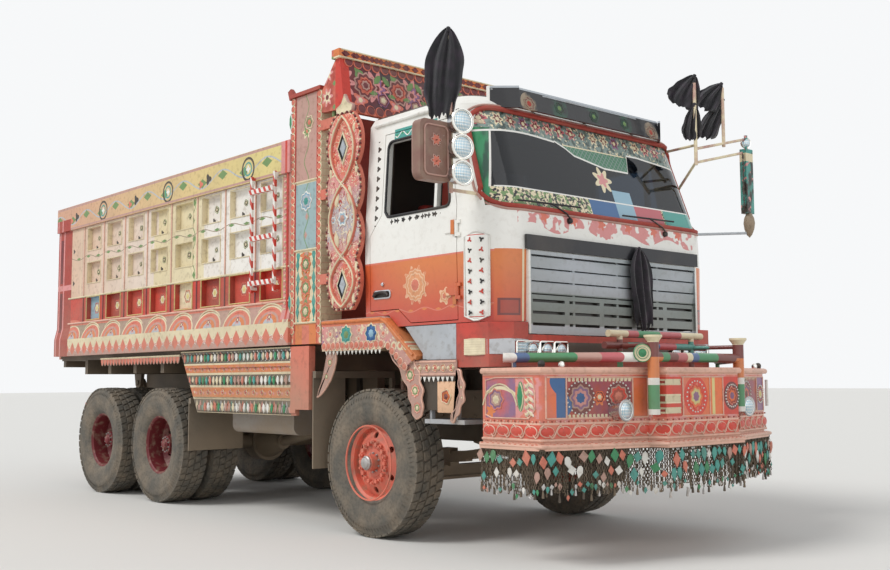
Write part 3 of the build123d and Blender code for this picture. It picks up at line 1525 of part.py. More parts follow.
def side_ornament(side):
    """Scalloped board beside the cab, pierced by two lozenges, on arms from the box pillar."""
    y0 = side * (CAB_HALF + ORNAMENT_GAP)
    y1 = y0 + side * ORNAMENT_T
    board = extrude(ornament_face(y0), amount=ORNAMENT_T, dir=(0, side, 0))
    wide, high = LOZENGE_HALF
    for z in LOZENGE_Z:
        diamond = [
            (ORNAMENT_X, z - high),
            (ORNAMENT_X + wide, z),
            (ORNAMENT_X, z + high),
            (ORNAMENT_X - wide, z),
        ]
        board = board - slab_y(diamond, y0 - side, y1 + side)
    arms = []
    for z in ORNAMENT_ARM_Z:
        arms.append(
            block(
                PILLAR_FRONT + SEAT,
                ORNAMENT_ARM_X,
                side * (BED_HALF - ORNAMENT_T),
                y0 + side * 20,
                z - ORNAMENT_ARM_HALF,
                z + ORNAMENT_ARM_HALF,
            )
        )
    arms.append(block(ORNAMENT_ARM_X - 1, ORNAMENT_X, y0, y0 + side * 20, 3140, 3220))
    return joined([board] + arms)


def ladder():
    """Rungs on two strings fixed to the right side wall."""
    out = -BED_HALF
    pieces = []
    for x in (-1490, -1130):
        pieces.append(block(x - 15, x + 15, out - 60, out - 40, 1900, 2900))
        for z in (1930, 2870):
            pieces.append(block(x - 15, x + 15, out - 60, out - (25 if z > 2800 else 0) - SEAT, z - 20, z + 20))
    for z in (1980, 2360, 2760):
        pieces.append(block(-1500, -1120, out - 80, out - 40, z - 20, z + 20))
    return joined(pieces)


GATE_PIN_Z = 2960
GATE_PIN_R = 18


def tailgate():
    """Top hung tail door behind the body."""
    half = BED_HALF - 60
    x1 = BED_REAR - RUNNING_GAP
    x0 = TAIL_X + 20
    leaf = block(x0, x1, -half, half, SIDE_LOW - 30, 2860)
    pieces = [leaf]
    for index in range(5):
        y = -half + 60 + index * (2 * half - 120) / 4
        pieces.append(block(TAIL_X, x0 + 1, y - 35, y + 35, SIDE_LOW - 20, 2850))
    for side in (-1, 1):
        y0 = side * (half - 60)
        arm = block(x0, x1, y0, y0 - side * 30, 2800, GATE_PIN_Z + 40)
        pieces.append(arm)
    pieces.append(bar_y((x0 + x1) / 2, GATE_PIN_Z, GATE_PIN_R, -half - 40, half + 40))
    return joined(pieces)


def gate_brackets(side):
    """Ears on the rear of the side wall that carry the tail door's pin."""
    half = BED_HALF - 60
    x = (TAIL_X + 20 + BED_REAR - RUNNING_GAP) / 2
    y0 = side * (half + 5)
    y1 = side * (half + 35)
    ear = block(x - 35, BED_REAR + 5, y0, y1, GATE_PIN_Z - 60, GATE_PIN_Z + 60)
    return ear - bar_y(x, GATE_PIN_Z, GATE_PIN_R + PIN_PLAY, y0 - side * 5, y1 + side * 5)


# Hoist
def hoist_angle():
    return atan2(HOIST_EYE_Z - HOIST_FOOT_Z, HOIST_EYE_X - HOIST_FOOT_X)


def hoist_barrel():
    angle = hoist_angle()
    way = Vector(cos(angle), 0, sin(angle))
    foot = Vector(HOIST_FOOT_X, 0, HOIST_FOOT_Z)
    length = hypot(HOIST_EYE_X - HOIST_FOOT_X, HOIST_EYE_Z - HOIST_FOOT_Z)
    tube = bar(tuple(foot + way * 120), tuple(foot + way * (length - 150)), HOIST_BARREL_R)
    trunnion = bar_y(HOIST_FOOT_X, HOIST_FOOT_Z, 60, -70, 70)
    neck = bar(tuple(foot), tuple(foot + way * 125), 55)
    bore = bar(tuple(foot + way * 200), tuple(foot + way * length), HOIST_ROD_R + PIN_PLAY * 6)
    pin_bore = bar_y(HOIST_FOOT_X, HOIST_FOOT_Z, 30 + PIN_PLAY, -80, 80)
    return joined([tube, trunnion, neck]) - bore - pin_bore


def hoist_rod():
    angle = hoist_angle()
    way = Vector(cos(angle), 0, sin(angle))
    eye = Vector(HOIST_EYE_X, 0, HOIST_EYE_Z)
    foot = Vector(HOIST_FOOT_X, 0, HOIST_FOOT_Z)
    rod = bar(tuple(foot + way * 215), tuple(eye), HOIST_ROD_R)
    head = bar_y(HOIST_EYE_X, HOIST_EYE_Z, HOIST_EYE_R, -HOIST_EYE_HALF, HOIST_EYE_HALF)
    return (rod + head) - bar_y(HOIST_EYE_X, HOIST_EYE_Z, 26, -100, 100)


def hoist_mount():
    """Cross tube and pin that carry the hoist's foot."""
    half = RAIL_OUT_Y - RAIL_T - SEAT
    pin = bar_y(HOIST_FOOT_X, HOIST_FOOT_Z, 30, -120, 120)
    pieces = [pin]
    for side in (-1, 1):
        cheek = block(
            HOIST_FOOT_X - 70, HOIST_FOOT_X + 70, side * 75, side * 105, HOIST_FOOT_Z - 70, HOIST_FOOT_Z + 70
        )
        pieces.append(cheek)
        pieces.append(
            block(HOIST_FOOT_X - 70, HOIST_FOOT_X + 70, side * 104, side * half, RAIL_Z0 + 12, HOIST_FOOT_Z + 69)
        )
    return joined(pieces)


TOW_R = 20
JAW_REACH = 150


def rear_lamp_bar():
    """Bar across the ends of the rails with lamp boxes and the towing jaw."""
    x1 = RAIL_REAR - SEAT
    x0 = x1 - 70
    bar_z0 = RAIL_Z0 + 10
    pieces = [block(x0, x1, -1050, 1050, bar_z0, bar_z0 + 90)]
    for side in (-1, 1):
        pieces.append(block(x0 - 30, x0 + 1, side * 780, side * 1020, bar_z0 + 5, bar_z0 + 85))
    jaw = block(x0 - JAW_REACH, x0 + 1, -60, 60, bar_z0 - 20, bar_z0 + 110)
    slot = block(x0 - JAW_REACH - 1, x0 - 40, -61, 61, bar_z0 + 20, bar_z0 + 70)
    bore = bar_z(x0 - JAW_REACH + 55, 0, TOW_R, bar_z0 - 30, bar_z0 + 120)
    return joined(pieces + [jaw]) - slot - bore


def both(shape):
    """A left hand shape and its right hand mirror image."""
    return [shape, other_side(shape)]


def make_fixed_nodes():
    keep("frame_rails", *both(frame_rail(1)))
    keep("crossmembers", *crossmembers(), hoist_mount(), *trunnion_bracket())
    keep("front_axle", front_axle())
    keep("springs", *both(front_spring(1)), *both(rear_spring(1)))
    axle = rear_axle(REAR_AXLE_X)
    keep("rear_axles", axle, Pos(-TANDEM, 0, 0) * axle)
    keep("engine_block", engine_block())
    keep("propshafts", *propshafts())
    keep("radiator", radiator())
    keep("cab_mounts", *cab_mounts())
    keep("side_tanks", *side_tanks())
    keep("fenders", *both(fender(1)))
    keep("steps", *both(step(1)))
    keep("mud_flaps", *both(mud_flap(1)), *both(rear_mud_flap(1)))
    keep("side_skirts", *both(side_skirt(1)))
    keep("front_bumper", front_bumper())
    keep("bumper_rails", bumper_rails())
    keep("bumper_fringe", fringe())
    keep("lamps", *lamps())
    keep("rear_lamp_bar", rear_lamp_bar())
    keep("black_cloths", *black_cloths())


def make_cab_nodes():
    roof, back, sides, front = cab_pieces()
    keep("cab_roof", roof)
    keep("cab_back", back)
    keep("cab_sides", sides)
    keep("cab_front", front)
    keep("cab_floor", cab_floor())
    keep("windscreen", windscreen())
    keep("grille", *grille())
    keep("visor", visor())
    keep("headlamp_bar", headlamp_bar())
    keep("dashboard", dashboard())
    keep("seats", *seats())
    keep("steering_wheel", steering_wheel())
    keep("mirrors", mirror_right(), mirror_left())


def make_wheel_nodes():
    keep("track_rod", track_rod())
    left_tyre = tyre(0, FRONT_TYRE_Y, 1)
    left_rim = front_wheel(1)
    left_knuckle = knuckle(1)
    twin_tyres = [tyre(REAR_AXLE_X, REAR_OUTER_Y, 1), tyre(REAR_AXLE_X, REAR_OUTER_Y - DUAL_PITCH, 1)]
    twin_rims = rear_wheel(REAR_AXLE_X, 1)
    for name, turned in (("left", lambda shape: shape), ("right", other_side)):
        keep("knuckle_" + name, turned(left_knuckle))
        keep("front_tyre_" + name, turned(left_tyre))
        keep("front_rim_" + name, turned(left_rim))
        for index in (1, 2):
            move = Pos(-TANDEM * (index - 1), 0, 0)
            keep(f"rear_tyres_{name}_{index}", *[move * turned(shape) for shape in twin_tyres])
            keep(f"rear_rims_{name}_{index}", move * turned(twin_rims))


def make_body_nodes():
    left_door = door(1, DOOR_T)
    keep("door_left", left_door)
    keep("door_right", other_side(left_door))
    keep("bed_floor", *bed_floor())
    keep("bed_sides", *both(bed_side(1) + gate_brackets(1)))
    keep("headboard", headboard())
    keep("crown", crown())
    keep("side_ornaments", *both(side_ornament(1)))
    keep("ladder", ladder())
    keep("tailgate", tailgate())
    keep("hoist_barrel", hoist_barrel())
    keep("hoist_rod", hoist_rod())


def write_nodes():
    move = Pos(SHIFT_X, 0, 0)
    for name, solids in NODES.items():
        placed = [move * solid for solid in solids]
        shape = placed[0] if len(placed) == 1 else Compound(children=placed)
        export_step(shape, f"parts/{name}.step")


make_fixed_nodes()
make_cab_nodes()
make_wheel_nodes()
make_body_nodes()
write_nodes()
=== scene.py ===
"""Decorated six wheel tipper truck: painted folk ornament, carved boards, chain fringe and cloth."""

import json
import math
import random

import bmesh
import bpy
from mathutils import Matrix, Vector

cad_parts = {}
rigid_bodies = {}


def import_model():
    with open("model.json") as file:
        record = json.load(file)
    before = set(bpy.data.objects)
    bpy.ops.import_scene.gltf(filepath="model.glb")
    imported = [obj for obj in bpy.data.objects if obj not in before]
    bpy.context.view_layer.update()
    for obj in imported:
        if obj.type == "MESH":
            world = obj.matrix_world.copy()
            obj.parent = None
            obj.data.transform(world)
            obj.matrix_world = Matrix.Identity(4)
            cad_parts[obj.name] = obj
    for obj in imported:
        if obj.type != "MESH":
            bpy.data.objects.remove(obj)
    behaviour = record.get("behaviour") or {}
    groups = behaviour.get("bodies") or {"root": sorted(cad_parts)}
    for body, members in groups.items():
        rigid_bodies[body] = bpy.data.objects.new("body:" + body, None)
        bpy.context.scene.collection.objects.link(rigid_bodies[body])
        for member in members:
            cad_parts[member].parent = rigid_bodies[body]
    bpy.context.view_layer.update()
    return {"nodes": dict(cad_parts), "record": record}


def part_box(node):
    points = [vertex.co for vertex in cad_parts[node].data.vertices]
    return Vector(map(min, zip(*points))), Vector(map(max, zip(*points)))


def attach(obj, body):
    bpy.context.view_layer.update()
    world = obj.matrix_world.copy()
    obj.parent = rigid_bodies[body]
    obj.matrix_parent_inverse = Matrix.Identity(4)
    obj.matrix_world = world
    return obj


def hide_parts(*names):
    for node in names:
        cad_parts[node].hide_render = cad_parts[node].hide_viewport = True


bl_info = {
    "name": "Decorated Tipper Truck",
    "version": (1, 0, 0),
    "blender": (4, 5, 0),
    "location": "View3D > Sidebar > Truck",
    "description": "Paints and dresses a decorated tipper truck",
    "category": "Object",
}

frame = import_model()
NODES = frame["nodes"]
JOINTS = {joint["name"]: joint for joint in frame["record"]["behaviour"]["joints"]}

# Driving places, metres: the front axle's station, the wheels and the panels that carry paint
FRONT_X = JOINTS["roll_front_right"]["pos_m"][0]
AXLE_Z = JOINTS["roll_front_right"]["pos_m"][2]
TYRE_LOW, TYRE_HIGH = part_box("front_tyre_right")
TYRE_R = (TYRE_HIGH[2] - TYRE_LOW[2]) / 2
TYRE_W = TYRE_HIGH[1] - TYRE_LOW[1]
RIM_R = 0.285
CAB_NOSE = 1.420
BELT_Z = 2.290
BODY_FACE_Y = 1.251
AHEAD_X = 2.600
BEHIND_X = -6.600
OUTSIDE_Y = 1.900
RAIL_FIRST_X = -5.300
RAIL_PITCH = 1.480
TOOTH_PITCH = 0.160
PILLAR_X = -0.740
DROP_PITCH = 0.062
BUD_PITCH = 0.130
PANEL_FIRST_X = -4.820
PANEL_PITCH = 0.510
SIDES = {"right": -1, "left": 1}

MATERIALS = {}


def linear(code):
    """The colour of a six figure code, as Blender stores it."""
    levels = [int(code[i : i + 2], 16) / 255 for i in (0, 2, 4)]
    return tuple(v / 12.92 if v <= 0.04045 else ((v + 0.055) / 1.055) ** 2.4 for v in levels)


def colour(name, code):
    """A colour setting with its default."""
    return bpy.props.FloatVectorProperty(
        name=name,
        description=name + " paint",
        default=linear(code),
        subtype="COLOR",
        size=3,
        min=0.0,
        max=1.0,
    )


def distance(name, value, description):
    """A size setting in metres with its default."""
    return bpy.props.FloatProperty(
        name=name,
        description=description,
        default=value,
        min=0.0,
        unit="LENGTH",
        subtype="DISTANCE",
    )


class TruckColours(bpy.types.PropertyGroup):
    """Colours of the truck's paints"""

    white: colour("Cab white", "EDEBE4")
    cream: colour("Cream", "E6D8B4")
    yellow: colour("Rail yellow", "DCCB86")
    orange: colour("Orange", "D9793C")
    red: colour("Signal red", "C8392A")
    brick: colour("Brick red", "A63A2C")
    maroon: colour("Maroon", "6E2327")
    pink: colour("Rose pink", "D98F8C")
    coral: colour("Coral", "D9745E")
    dust_pink: colour("Dusty pink", "BE9488")
    purple: colour("Purple", "8A5F86")
    blue: colour("Blue", "2C5F93")
    sky: colour("Pale blue", "8FB4C6")
    teal: colour("Teal", "3E9A8F")
    green: colour("Green", "2E8A5A")
    leaf: colour("Leaf green", "6E8F55")
    grey: colour("Panel grey", "B4BAC0")
    black: colour("Black", "16161A")
    glass: colour("Dark glass", "1B2A3A")
    dust: colour("Road dust", "9A8872")
    steel: colour("Chassis", "3A332C")
    rubber: colour("Rubber", "5C5850")
    chrome: colour("Chrome", "C9CCD0")
    cloth: colour("Black cloth", "141419")
    peach: colour("Peach rim", "E9B6A0")
    pale_orange: colour("Pale orange", "EDBE98")
    soft_orange: colour("Soft orange", "E29A6C")
    rose_band: colour("Rose band", "BE5A62")
    slat: colour("Slat grey", "8C9694")
    slat_low: colour("Slotted panel grey", "68736E")
    band: colour("Bare band", "2B2C30")
    cab_inner: colour("Cab lining", "4A4038")
    amber: colour("Amber lamp", "E0A050")
    lit_red: colour("Lit red", "D8341F")
    hot_orange: colour("Hot orange", "E8703A")
    mauve: colour("Mauve", "8E3A4E")
    dim_green: colour("Dim green", "1C4A38")
    screen_dark: colour("Screen ground", "2B403B")
    screen_pale: colour("Screen pattern", "7C8F88")
    bed_cream: colour("Body cream", "D9B89E")
    rail_peach: colour("Top rail peach", "D2A184")
    crown_ground: colour("Crown ground", "3A2030")
    slat_ground: colour("Slat ground", "3C3A33")


class TruckSizes(bpy.types.PropertyGroup):
    """Sizes of the added pieces"""

    tread_depth: distance("Tread depth", 0.016, "Depth of the grooves between the tread blocks")
    bead: distance("Bead", 0.011, "Radius of the beads on the scalloped edges")
    link: distance("Chain link", 0.026, "Length of one link of the hanging chains")
    cloth: distance("Cloth", 0.0025, "Thickness of the black cloths")


def paints():
    return bpy.context.scene.truck_colours


def sizes():
    return bpy.context.scene.truck_sizes


def tint(name):
    """A named colour as four numbers."""
    return (*getattr(paints(), name), 1.0)


def sum_of(operation, turned=False):
    """One kind of sum between a material's number and another."""

    def work(self, other):
        pair = (other, self) if turned else (self, other)
        return self.paint.maths(operation, *pair)

    return work


class Num:
    """A number in a material, used in sums like a plain number."""

    def __init__(self, paint, socket):
        self.paint = paint
        self.socket = socket

    __add__ = sum_of("ADD")
    __radd__ = sum_of("ADD", True)
    __sub__ = sum_of("SUBTRACT")
    __rsub__ = sum_of("SUBTRACT", True)
    __mul__ = sum_of("MULTIPLY")
    __rmul__ = sum_of("MULTIPLY", True)
    __truediv__ = sum_of("DIVIDE")
    __lt__ = sum_of("LESS_THAN")
    __gt__ = sum_of("GREATER_THAN")
    __mod__ = sum_of("FLOORED_MODULO")
    __pow__ = sum_of("POWER")
    __and__ = sum_of("MULTIPLY")
    __or__ = sum_of("MAXIMUM")

    def __abs__(self):
        return self.paint.maths("ABSOLUTE", self)

    def __invert__(self):
        return self.paint.maths("SUBTRACT", 1.0, self)


class Paint:
    """A material under work: its nodes, its places and its patterns."""

    def __init__(self, name):
        self.material = bpy.data.materials.new(name)
        self.material.use_nodes = True
        self.tree = self.material.node_tree
        self.shader = self.tree.nodes["Principled BSDF"]
        self.place = self.node("ShaderNodeTexCoord").outputs["Object"]
        parts = self.node("ShaderNodeSeparateXYZ", inputs={0: self.place})
        self.x = Num(self, parts.outputs[0]) - FRONT_X
        self.y = Num(self, parts.outputs[1])
        self.z = Num(self, parts.outputs[2])

    def node(self, kind, settings=None, inputs=None, stops=None):
        """A node with its settings made first, then its sockets filled or linked."""
        made = self.tree.nodes.new(kind)
        for key, value in (settings or {}).items():
            setattr(made, key, value)
        if stops:
            points = made.color_ramp.elements
            points.remove(points[1])
            points[0].position, points[0].color = stops[0]
            for place, shade in stops[1:]:
                points.new(place).color = shade
        for key, value in (inputs or {}).items():
            socket = value.socket if isinstance(value, Num) else value
            if isinstance(socket, bpy.types.NodeSocket):
                self.tree.links.new(socket, made.inputs[key])
            else:
                made.inputs[key].default_value = socket
        return made

    def maths(self, operation, *values):
        made = self.node("ShaderNodeMath", {"operation": operation}, dict(enumerate(values)))
        return Num(self, made.outputs[0])

    def mix(self, mask, base, top, blend="MIX"):
        """Top over base where the mask is one."""
        base = tint(base) if isinstance(base, str) else base
        top = tint(top) if isinstance(top, str) else top
        settings = {"data_type": "RGBA", "blend_type": blend}
        return self.node("ShaderNodeMix", settings, {0: mask, 6: base, 7: top}).outputs[2]

    def pick(self, value, names):
        """One of the named colours for each equal step of value from 0 to 1."""
        stops = [(index / len(names), tint(name)) for index, name in enumerate(names)]
        made = self.node("ShaderNodeValToRGB", inputs={0: value}, stops=stops)
        made.color_ramp.interpolation = "CONSTANT"
        return made.outputs[0]

    def noise(self, scale, detail=3.0, stretch=None):
        place = self.place
        if stretch:
            place = self.node("ShaderNodeMapping", None, {0: self.place, 3: stretch}).outputs[0]
        made = self.node("ShaderNodeTexNoise", inputs={"Vector": place, "Scale": scale, "Detail": detail})
        return Num(self, made.outputs[0])

    def chance(self, *cells):
        """A steady random number from 0 to 1 for whole numbered cells."""
        place = self.node("ShaderNodeCombineXYZ", inputs=dict(enumerate(cells))).outputs[0]
        made = self.node("ShaderNodeTexWhiteNoise", {"noise_dimensions": "3D"}, {"Vector": place})
        return Num(self, made.outputs[0])

    def near(self, value, middle, reach):
        """One where value lies within reach of middle."""
        return self.maths("COMPARE", value, middle, reach)

    def between(self, value, low, high):
        return self.near(value, (low + high) / 2, (high - low) / 2)

    def smooth(self, value, low, high):
        """From 0 at low to 1 at high."""
        settings = {"clamp": True}
        made = self.node("ShaderNodeMapRange", settings, {0: value, 1: low, 2: high, 3: 0.0, 4: 1.0})
        return Num(self, made.outputs[0])

    def cell(self, value, pitch, start=0.0):
        """The place within a repeat, from its middle, and the repeat's whole number."""
        shifted = (value - start) / pitch
        count = self.maths("FLOOR", shifted)
        return (shifted - count - 0.5) * pitch, count

    def reach(self, u, v):
        """Distance from the middle of a cell."""
        return self.maths("SQRT", u * u + v * v)

    def wave(self, value, pitch):
        return self.maths("SINE", value * (2 * math.pi / pitch))

    def flower(self, u, v, radius, petals):
        """A flower's mask with rounded petals."""
        edge = self.maths("COSINE", self.maths("ARCTAN2", v, u) * petals) * (radius * 0.22) + radius * 0.78
        return self.reach(u, v) < edge

    def ring(self, u, v, radius, width):
        return self.near(self.reach(u, v), radius, width / 2)

    def box(self, u, v, low_u, high_u, low_v, high_v):
        """One inside a rectangle."""
        return self.between(u, low_u, high_u) & self.between(v, low_v, high_v)

    def dot(self, u, v, radius):
        return self.reach(u, v) < radius

    def diamond(self, u, v, wide, high):
        return (abs(u) / wide + abs(v) / high) < 1.0

    def rosette(self, under, u, v, radius, petals, outer, inner, heart):
        """A painted flower of three colours over what is under it."""
        made = self.mix(self.flower(u, v, radius, petals), under, outer)
        made = self.mix(self.flower(u, v, radius * 0.66, petals), made, inner)
        return self.mix(self.dot(u, v, radius * 0.27), made, heart)

    def vine(self, under, u, v, pitch, swing, stem, shade, bloom):
        """A waving stem with leaves at its turns along u."""
        curve = self.wave(u, pitch) * swing
        made = self.mix(self.near(v - curve, 0.0, stem), under, shade)
        local, count = self.cell(u, pitch / 2)
        turned = self.maths("SINE", (count + 0.5) * math.pi) * swing * 0.25
        leaf = self.diamond(local, v - turned, pitch * 0.11, swing * 0.75)
        return self.mix(leaf, made, bloom)

    def zigzag(self, u, v, pitch, low, high):
        """One under a zigzag line between two heights."""
        local, _ = self.cell(u, pitch)
        return v < (abs(local) * (2 * (high - low) / pitch) + low)

    def scallops(self, u, v, pitch, low, rise):
        """One inside a row of round topped lobes standing on low."""
        local, _ = self.cell(u, pitch)
        return self.reach(local / (pitch / 2), (v - low) / rise) < 1.0

    def aged(self, shade, dust=0.35, low=0.3, high=1.5, wear=1.0):
        """Blotches and fine grime, and road dust that thickens towards the ground."""
        blotch = self.noise(2.3, 4.0)
        grime = self.noise(26.0, 5.0)
        worn = self.mix(self.smooth(grime, 0.52, 0.8) * 0.5 * wear, shade, "dust", "MULTIPLY")
        worn = self.mix(self.smooth(blotch, 0.45, 0.75) * 0.25 * wear, worn, "dust")
        lowness = ~self.smooth(self.z, low, high)
        return self.mix(lowness * (blotch + 0.35) * dust * 1.6, worn, "dust")

    def grained(self, shade, rough, bump, spread=0.2, scale=60.0, detail=4.0, **gloss):
        """Links the colour, with a fine grain in its gloss and its height."""
        grit = self.noise(scale, detail)
        return self.done(shade, rough=grit * spread + rough, height=grit, bump=bump, **gloss)

    def done(self, shade, rough=0.5, metal=0.0, coat=0.0, height=None, bump=0.3, depth=0.002):
        """Links the colour, gloss and bump, and returns the material."""
        shade = tint(shade) if isinstance(shade, str) else shade
        values = {"Base Color": shade, "Roughness": rough, "Metallic": metal, "Coat Weight": coat}
        for key, value in values.items():
            socket = value.socket if isinstance(value, Num) else value
            if isinstance(socket, bpy.types.NodeSocket):
                self.tree.links.new(socket, self.shader.inputs[key])
            else:
                self.shader.inputs[key].default_value = socket
        if height is not None:
            inputs = {"Strength": bump, "Distance": depth, "Height": height}
            normal = self.node("ShaderNodeBump", inputs=inputs).outputs[0]
            self.tree.links.new(normal, self.shader.inputs["Normal"])
        return self.material


def material(name):
    """A material by name, made the first time it is asked for."""
    if name not in MATERIALS:
        MATERIALS[name] = FINISHES[name](name)
    return MATERIALS[name]


def coat_node(name, finish):
    """Gives a carried over node its finish."""
    mesh = NODES[name].data
    mesh.materials.clear()
    mesh.materials.append(material(finish))




def bed_paint(name):
    """Side walls: cream frames over red, arches, zigzag ledge and a yellow top rail."""
    p = Paint(name)
    x, y, z = p.x, p.y, p.z
    front = p.smooth(x, -5.4, -1.4)
    column, count = p.cell(x, PANEL_PITCH, PANEL_FIRST_X - PANEL_PITCH / 2)
    luck = p.chance(count, 3.0, 5.0)
    field = p.mix(front, "bed_cream", "white")
    field = p.mix(p.near(x, -2.9, 0.5) * 0.55, field, "yellow")
    field = p.mix(p.near(abs(column), 0.245, 0.004), field, "dust")
    field = p.mix(p.near(abs(column), 0.168, 0.004), field, "cream")
    field = p.vine(field, z - 2.4, x + 2.6, 0.34, 0.035, 0.006, "leaf", "leaf")
    local, step = p.cell(z, 0.36, 2.10)
    mark = p.flower(column + 0.03, local + 0.02, 0.03, 3) & (p.chance(count, step, 2.0) > 0.35)
    field = p.mix(mark, field, "steel")
    field = p.vine(field, x, z - 2.53, PANEL_PITCH, 0.02, 0.004, "dust", "leaf")
    # Red row with painted panels
    red = p.mix(p.smooth(p.noise(5.0), 0.35, 0.7), "red", "brick")
    inner = p.pick(luck, ["red", "dust_pink", "red", "cream", "brick", "orange", "sky"])
    red = p.mix(p.near(column, 0.0, 0.16) & p.between(z, 1.84, 2.08), red, inner)
    red = p.mix(p.near(z, 2.09, 0.006), red, "maroon")
    made = p.mix(z < 2.09, field, red)
    # Arches
    arch = p.mix(front, "dust", "dust_pink")
    for radius, shade in (
        (0.235, "cream"), (0.215, "coral"), (0.16, "dust_pink"), (0.13, "orange"), (0.08, "grey")
    ):
        arch = p.mix(p.dot(column, (z - 1.63) * 1.5, radius), arch, shade)
    flower = p.rosette(arch, column, z - 1.69, 0.045, 6, "pink", "maroon", "cream")
    made = p.mix(z < 1.80, made, flower)
    made = p.mix(p.scallops(x, z, PANEL_PITCH, 1.79, 0.06) & (z > 1.785) & (z < 1.86), made, "coral")
    # Zigzag ledge
    ledge = p.mix(p.zigzag(x, z, TOOTH_PITCH, 1.50, 1.60), "cream", "coral")
    ledge = p.mix(p.zigzag(x + TOOTH_PITCH / 2, z, TOOTH_PITCH, 1.46, 1.53), ledge, "dust_pink")
    cut, _ = p.cell(x, TOOTH_PITCH, 0.0)
    ledge = p.rosette(ledge, cut, z - 1.52, 0.026, 5, "white", "red", "cream")
    ledge = p.mix(p.near(z, 1.625, 0.012), ledge, "cream")
    made = p.mix(z < 1.638, made, ledge)
    # Top rail
    rail = p.mix(front, "rail_peach", "yellow")
    rail = p.vine(rail, x, z - 2.99, 0.74, 0.06, 0.007, "grey", "leaf")
    spot, _ = p.cell(x, RAIL_PITCH, RAIL_FIRST_X)
    rail = p.mix(p.ring(spot, z - 2.99, 0.095, 0.022), rail, "steel")
    rail = p.mix(p.ring(spot, z - 2.99, 0.055, 0.015), rail, "teal")
    rail = p.mix(p.flower(spot, z - 2.99, 0.035, 4), rail, "white")
    side, _ = p.cell(x, RAIL_PITCH, RAIL_FIRST_X + RAIL_PITCH / 2)
    rail = p.mix(p.flower(side - 0.05, z - 3.0, 0.055, 3), rail, "steel")
    rail = p.mix(p.flower(side + 0.09, z - 2.97, 0.04, 3), rail, "coral")
    rail = p.mix(p.near(z, 3.125, 0.012) | p.near(z, 2.885, 0.010), rail, "dust_pink")
    made = p.mix(z > 2.868, made, rail)
    # Rear post with its slots, painted maroon as the shade inside the openings, and the pink strip at the
    # front
    post = p.mix(p.near(x, -5.70, 0.075), "brick", "pink")
    post = p.mix(p.near(x, -5.70, 0.045), post, "brick")
    slots = p.between(z, 2.28, 2.78) | p.between(z, 1.72, 2.17)
    post = p.mix(p.near(x, -5.70, 0.035) & slots, post, "maroon")
    post = p.mix(p.near(z, 2.225, 0.03), post, "pink")
    made = p.mix((x < -5.42) & (z < 3.0), made, post)
    strip = p.mix(p.near(x, -1.0, 0.015), "pink", "red")
    made = p.mix(p.between(x, -1.075, -0.93) & (z > 1.66), made, strip)
    made = p.aged(made, 0.28, 0.9, 2.2)
    # Load side of the walls
    scrape = p.noise(4.0, 6.0, (1.0, 1.0, 7.0))
    steel = p.mix(p.smooth(scrape, 0.4, 0.65), "dust", "steel")
    made = p.mix(abs(y) < 1.19, made, steel)
    return p.grained(made, 0.42, 0.25, spread=0.25)


def mirror_paint(name):
    """Maroon right mirror, pale arms and masts, and the dark left mirror."""
    p = Paint(name)
    y, z = p.y, p.z
    made = p.mix(p.smooth(p.noise(7.0), 0.4, 0.65) * 0.3 + 0.35, "maroon", "dust")
    arm = p.mix(p.smooth(p.noise(6.0), 0.45, 0.6), "cream", "dust_pink")
    made = p.mix((y > 0.5) | (y > -1.425) & (y < 0.0), made, arm)
    wrap = p.mix(p.smooth(p.noise(13.0, 3.0, (1.0, 1.0, 0.5)), 0.44, 0.54), "black", "teal")
    wrap = p.mix(p.smooth(p.noise(21.0, 2.0), 0.60, 0.64), wrap, "pink")
    wrap = p.mix(p.near(z, 2.99, 0.035), wrap, "cream")
    made = p.mix((y > 1.590) & (z > 2.50), made, wrap)
    made = p.mix((y > 0.5) & (z < 2.45), made, "grey")
    made = p.aged(made, 0.15, 1.5, 2.8, 0.5)
    return p.grained(made, 0.35, 0.1, detail=3.0, coat=0.2)


def pillar_paint(name):
    """Box pillars: rose panel over grey green, scalloped edges and an orange foot."""
    p = Paint(name)
    x, y, z = p.x, p.y, p.z
    u = x - PILLAR_X
    made = p.mix(z > 2.76, "grey", "dust_pink")
    made = p.mix(p.between(z, 2.2, 2.76), made, "teal")
    made = p.mix(p.between(z, 2.2, 2.76) * 0.65, made, "grey")
    made = p.mix(z < 2.2, made, "cream")
    local, _ = p.cell(z, 0.19, 1.5)
    low = p.rosette(made, u, local, 0.085, 8, "orange", "coral", "leaf")
    low = p.mix(p.diamond(abs(u) - 0.11, local, 0.028, 0.07), low, "teal")
    made = p.mix(p.between(z, 1.62, 2.2), made, low)
    made = p.rosette(made, u, z - 3.17, 0.06, 6, "cream", "leaf", "coral")
    made = p.rosette(made, u, z - 2.60, 0.075, 7, "white", "grey", "teal")
    made = p.vine(made, z, u, 0.30, 0.03, 0.005, "leaf", "dust_pink")
    made = p.mix(p.near(z, 2.76, 0.014) | p.near(z, 2.2, 0.012), made, "cream")
    made = p.mix(z < 1.62, made, "orange")
    made = p.mix(p.near(u, 0.0, 0.05) & (z < 1.60), made, "coral")
    edge, _ = p.cell(z, 0.058)
    border = p.mix(p.reach(edge, abs(u) - 0.21) < 0.045, made, "coral")
    border = p.mix(p.reach(edge, abs(u) - 0.21) < 0.028, border, "cream")
    made = p.mix(abs(u) > 0.155, made, border)
    made = p.mix(p.near(abs(u), 0.157, 0.007), made, "red")
    made = p.mix(z > 3.475, made, "brick")
    inside = (abs(y) < 1.02) | (x < -0.935)
    made = p.mix(inside, made, "brick")
    made = p.aged(made, 0.25, 0.9, 2.2)
    return p.grained(made, 0.42, 0.2)


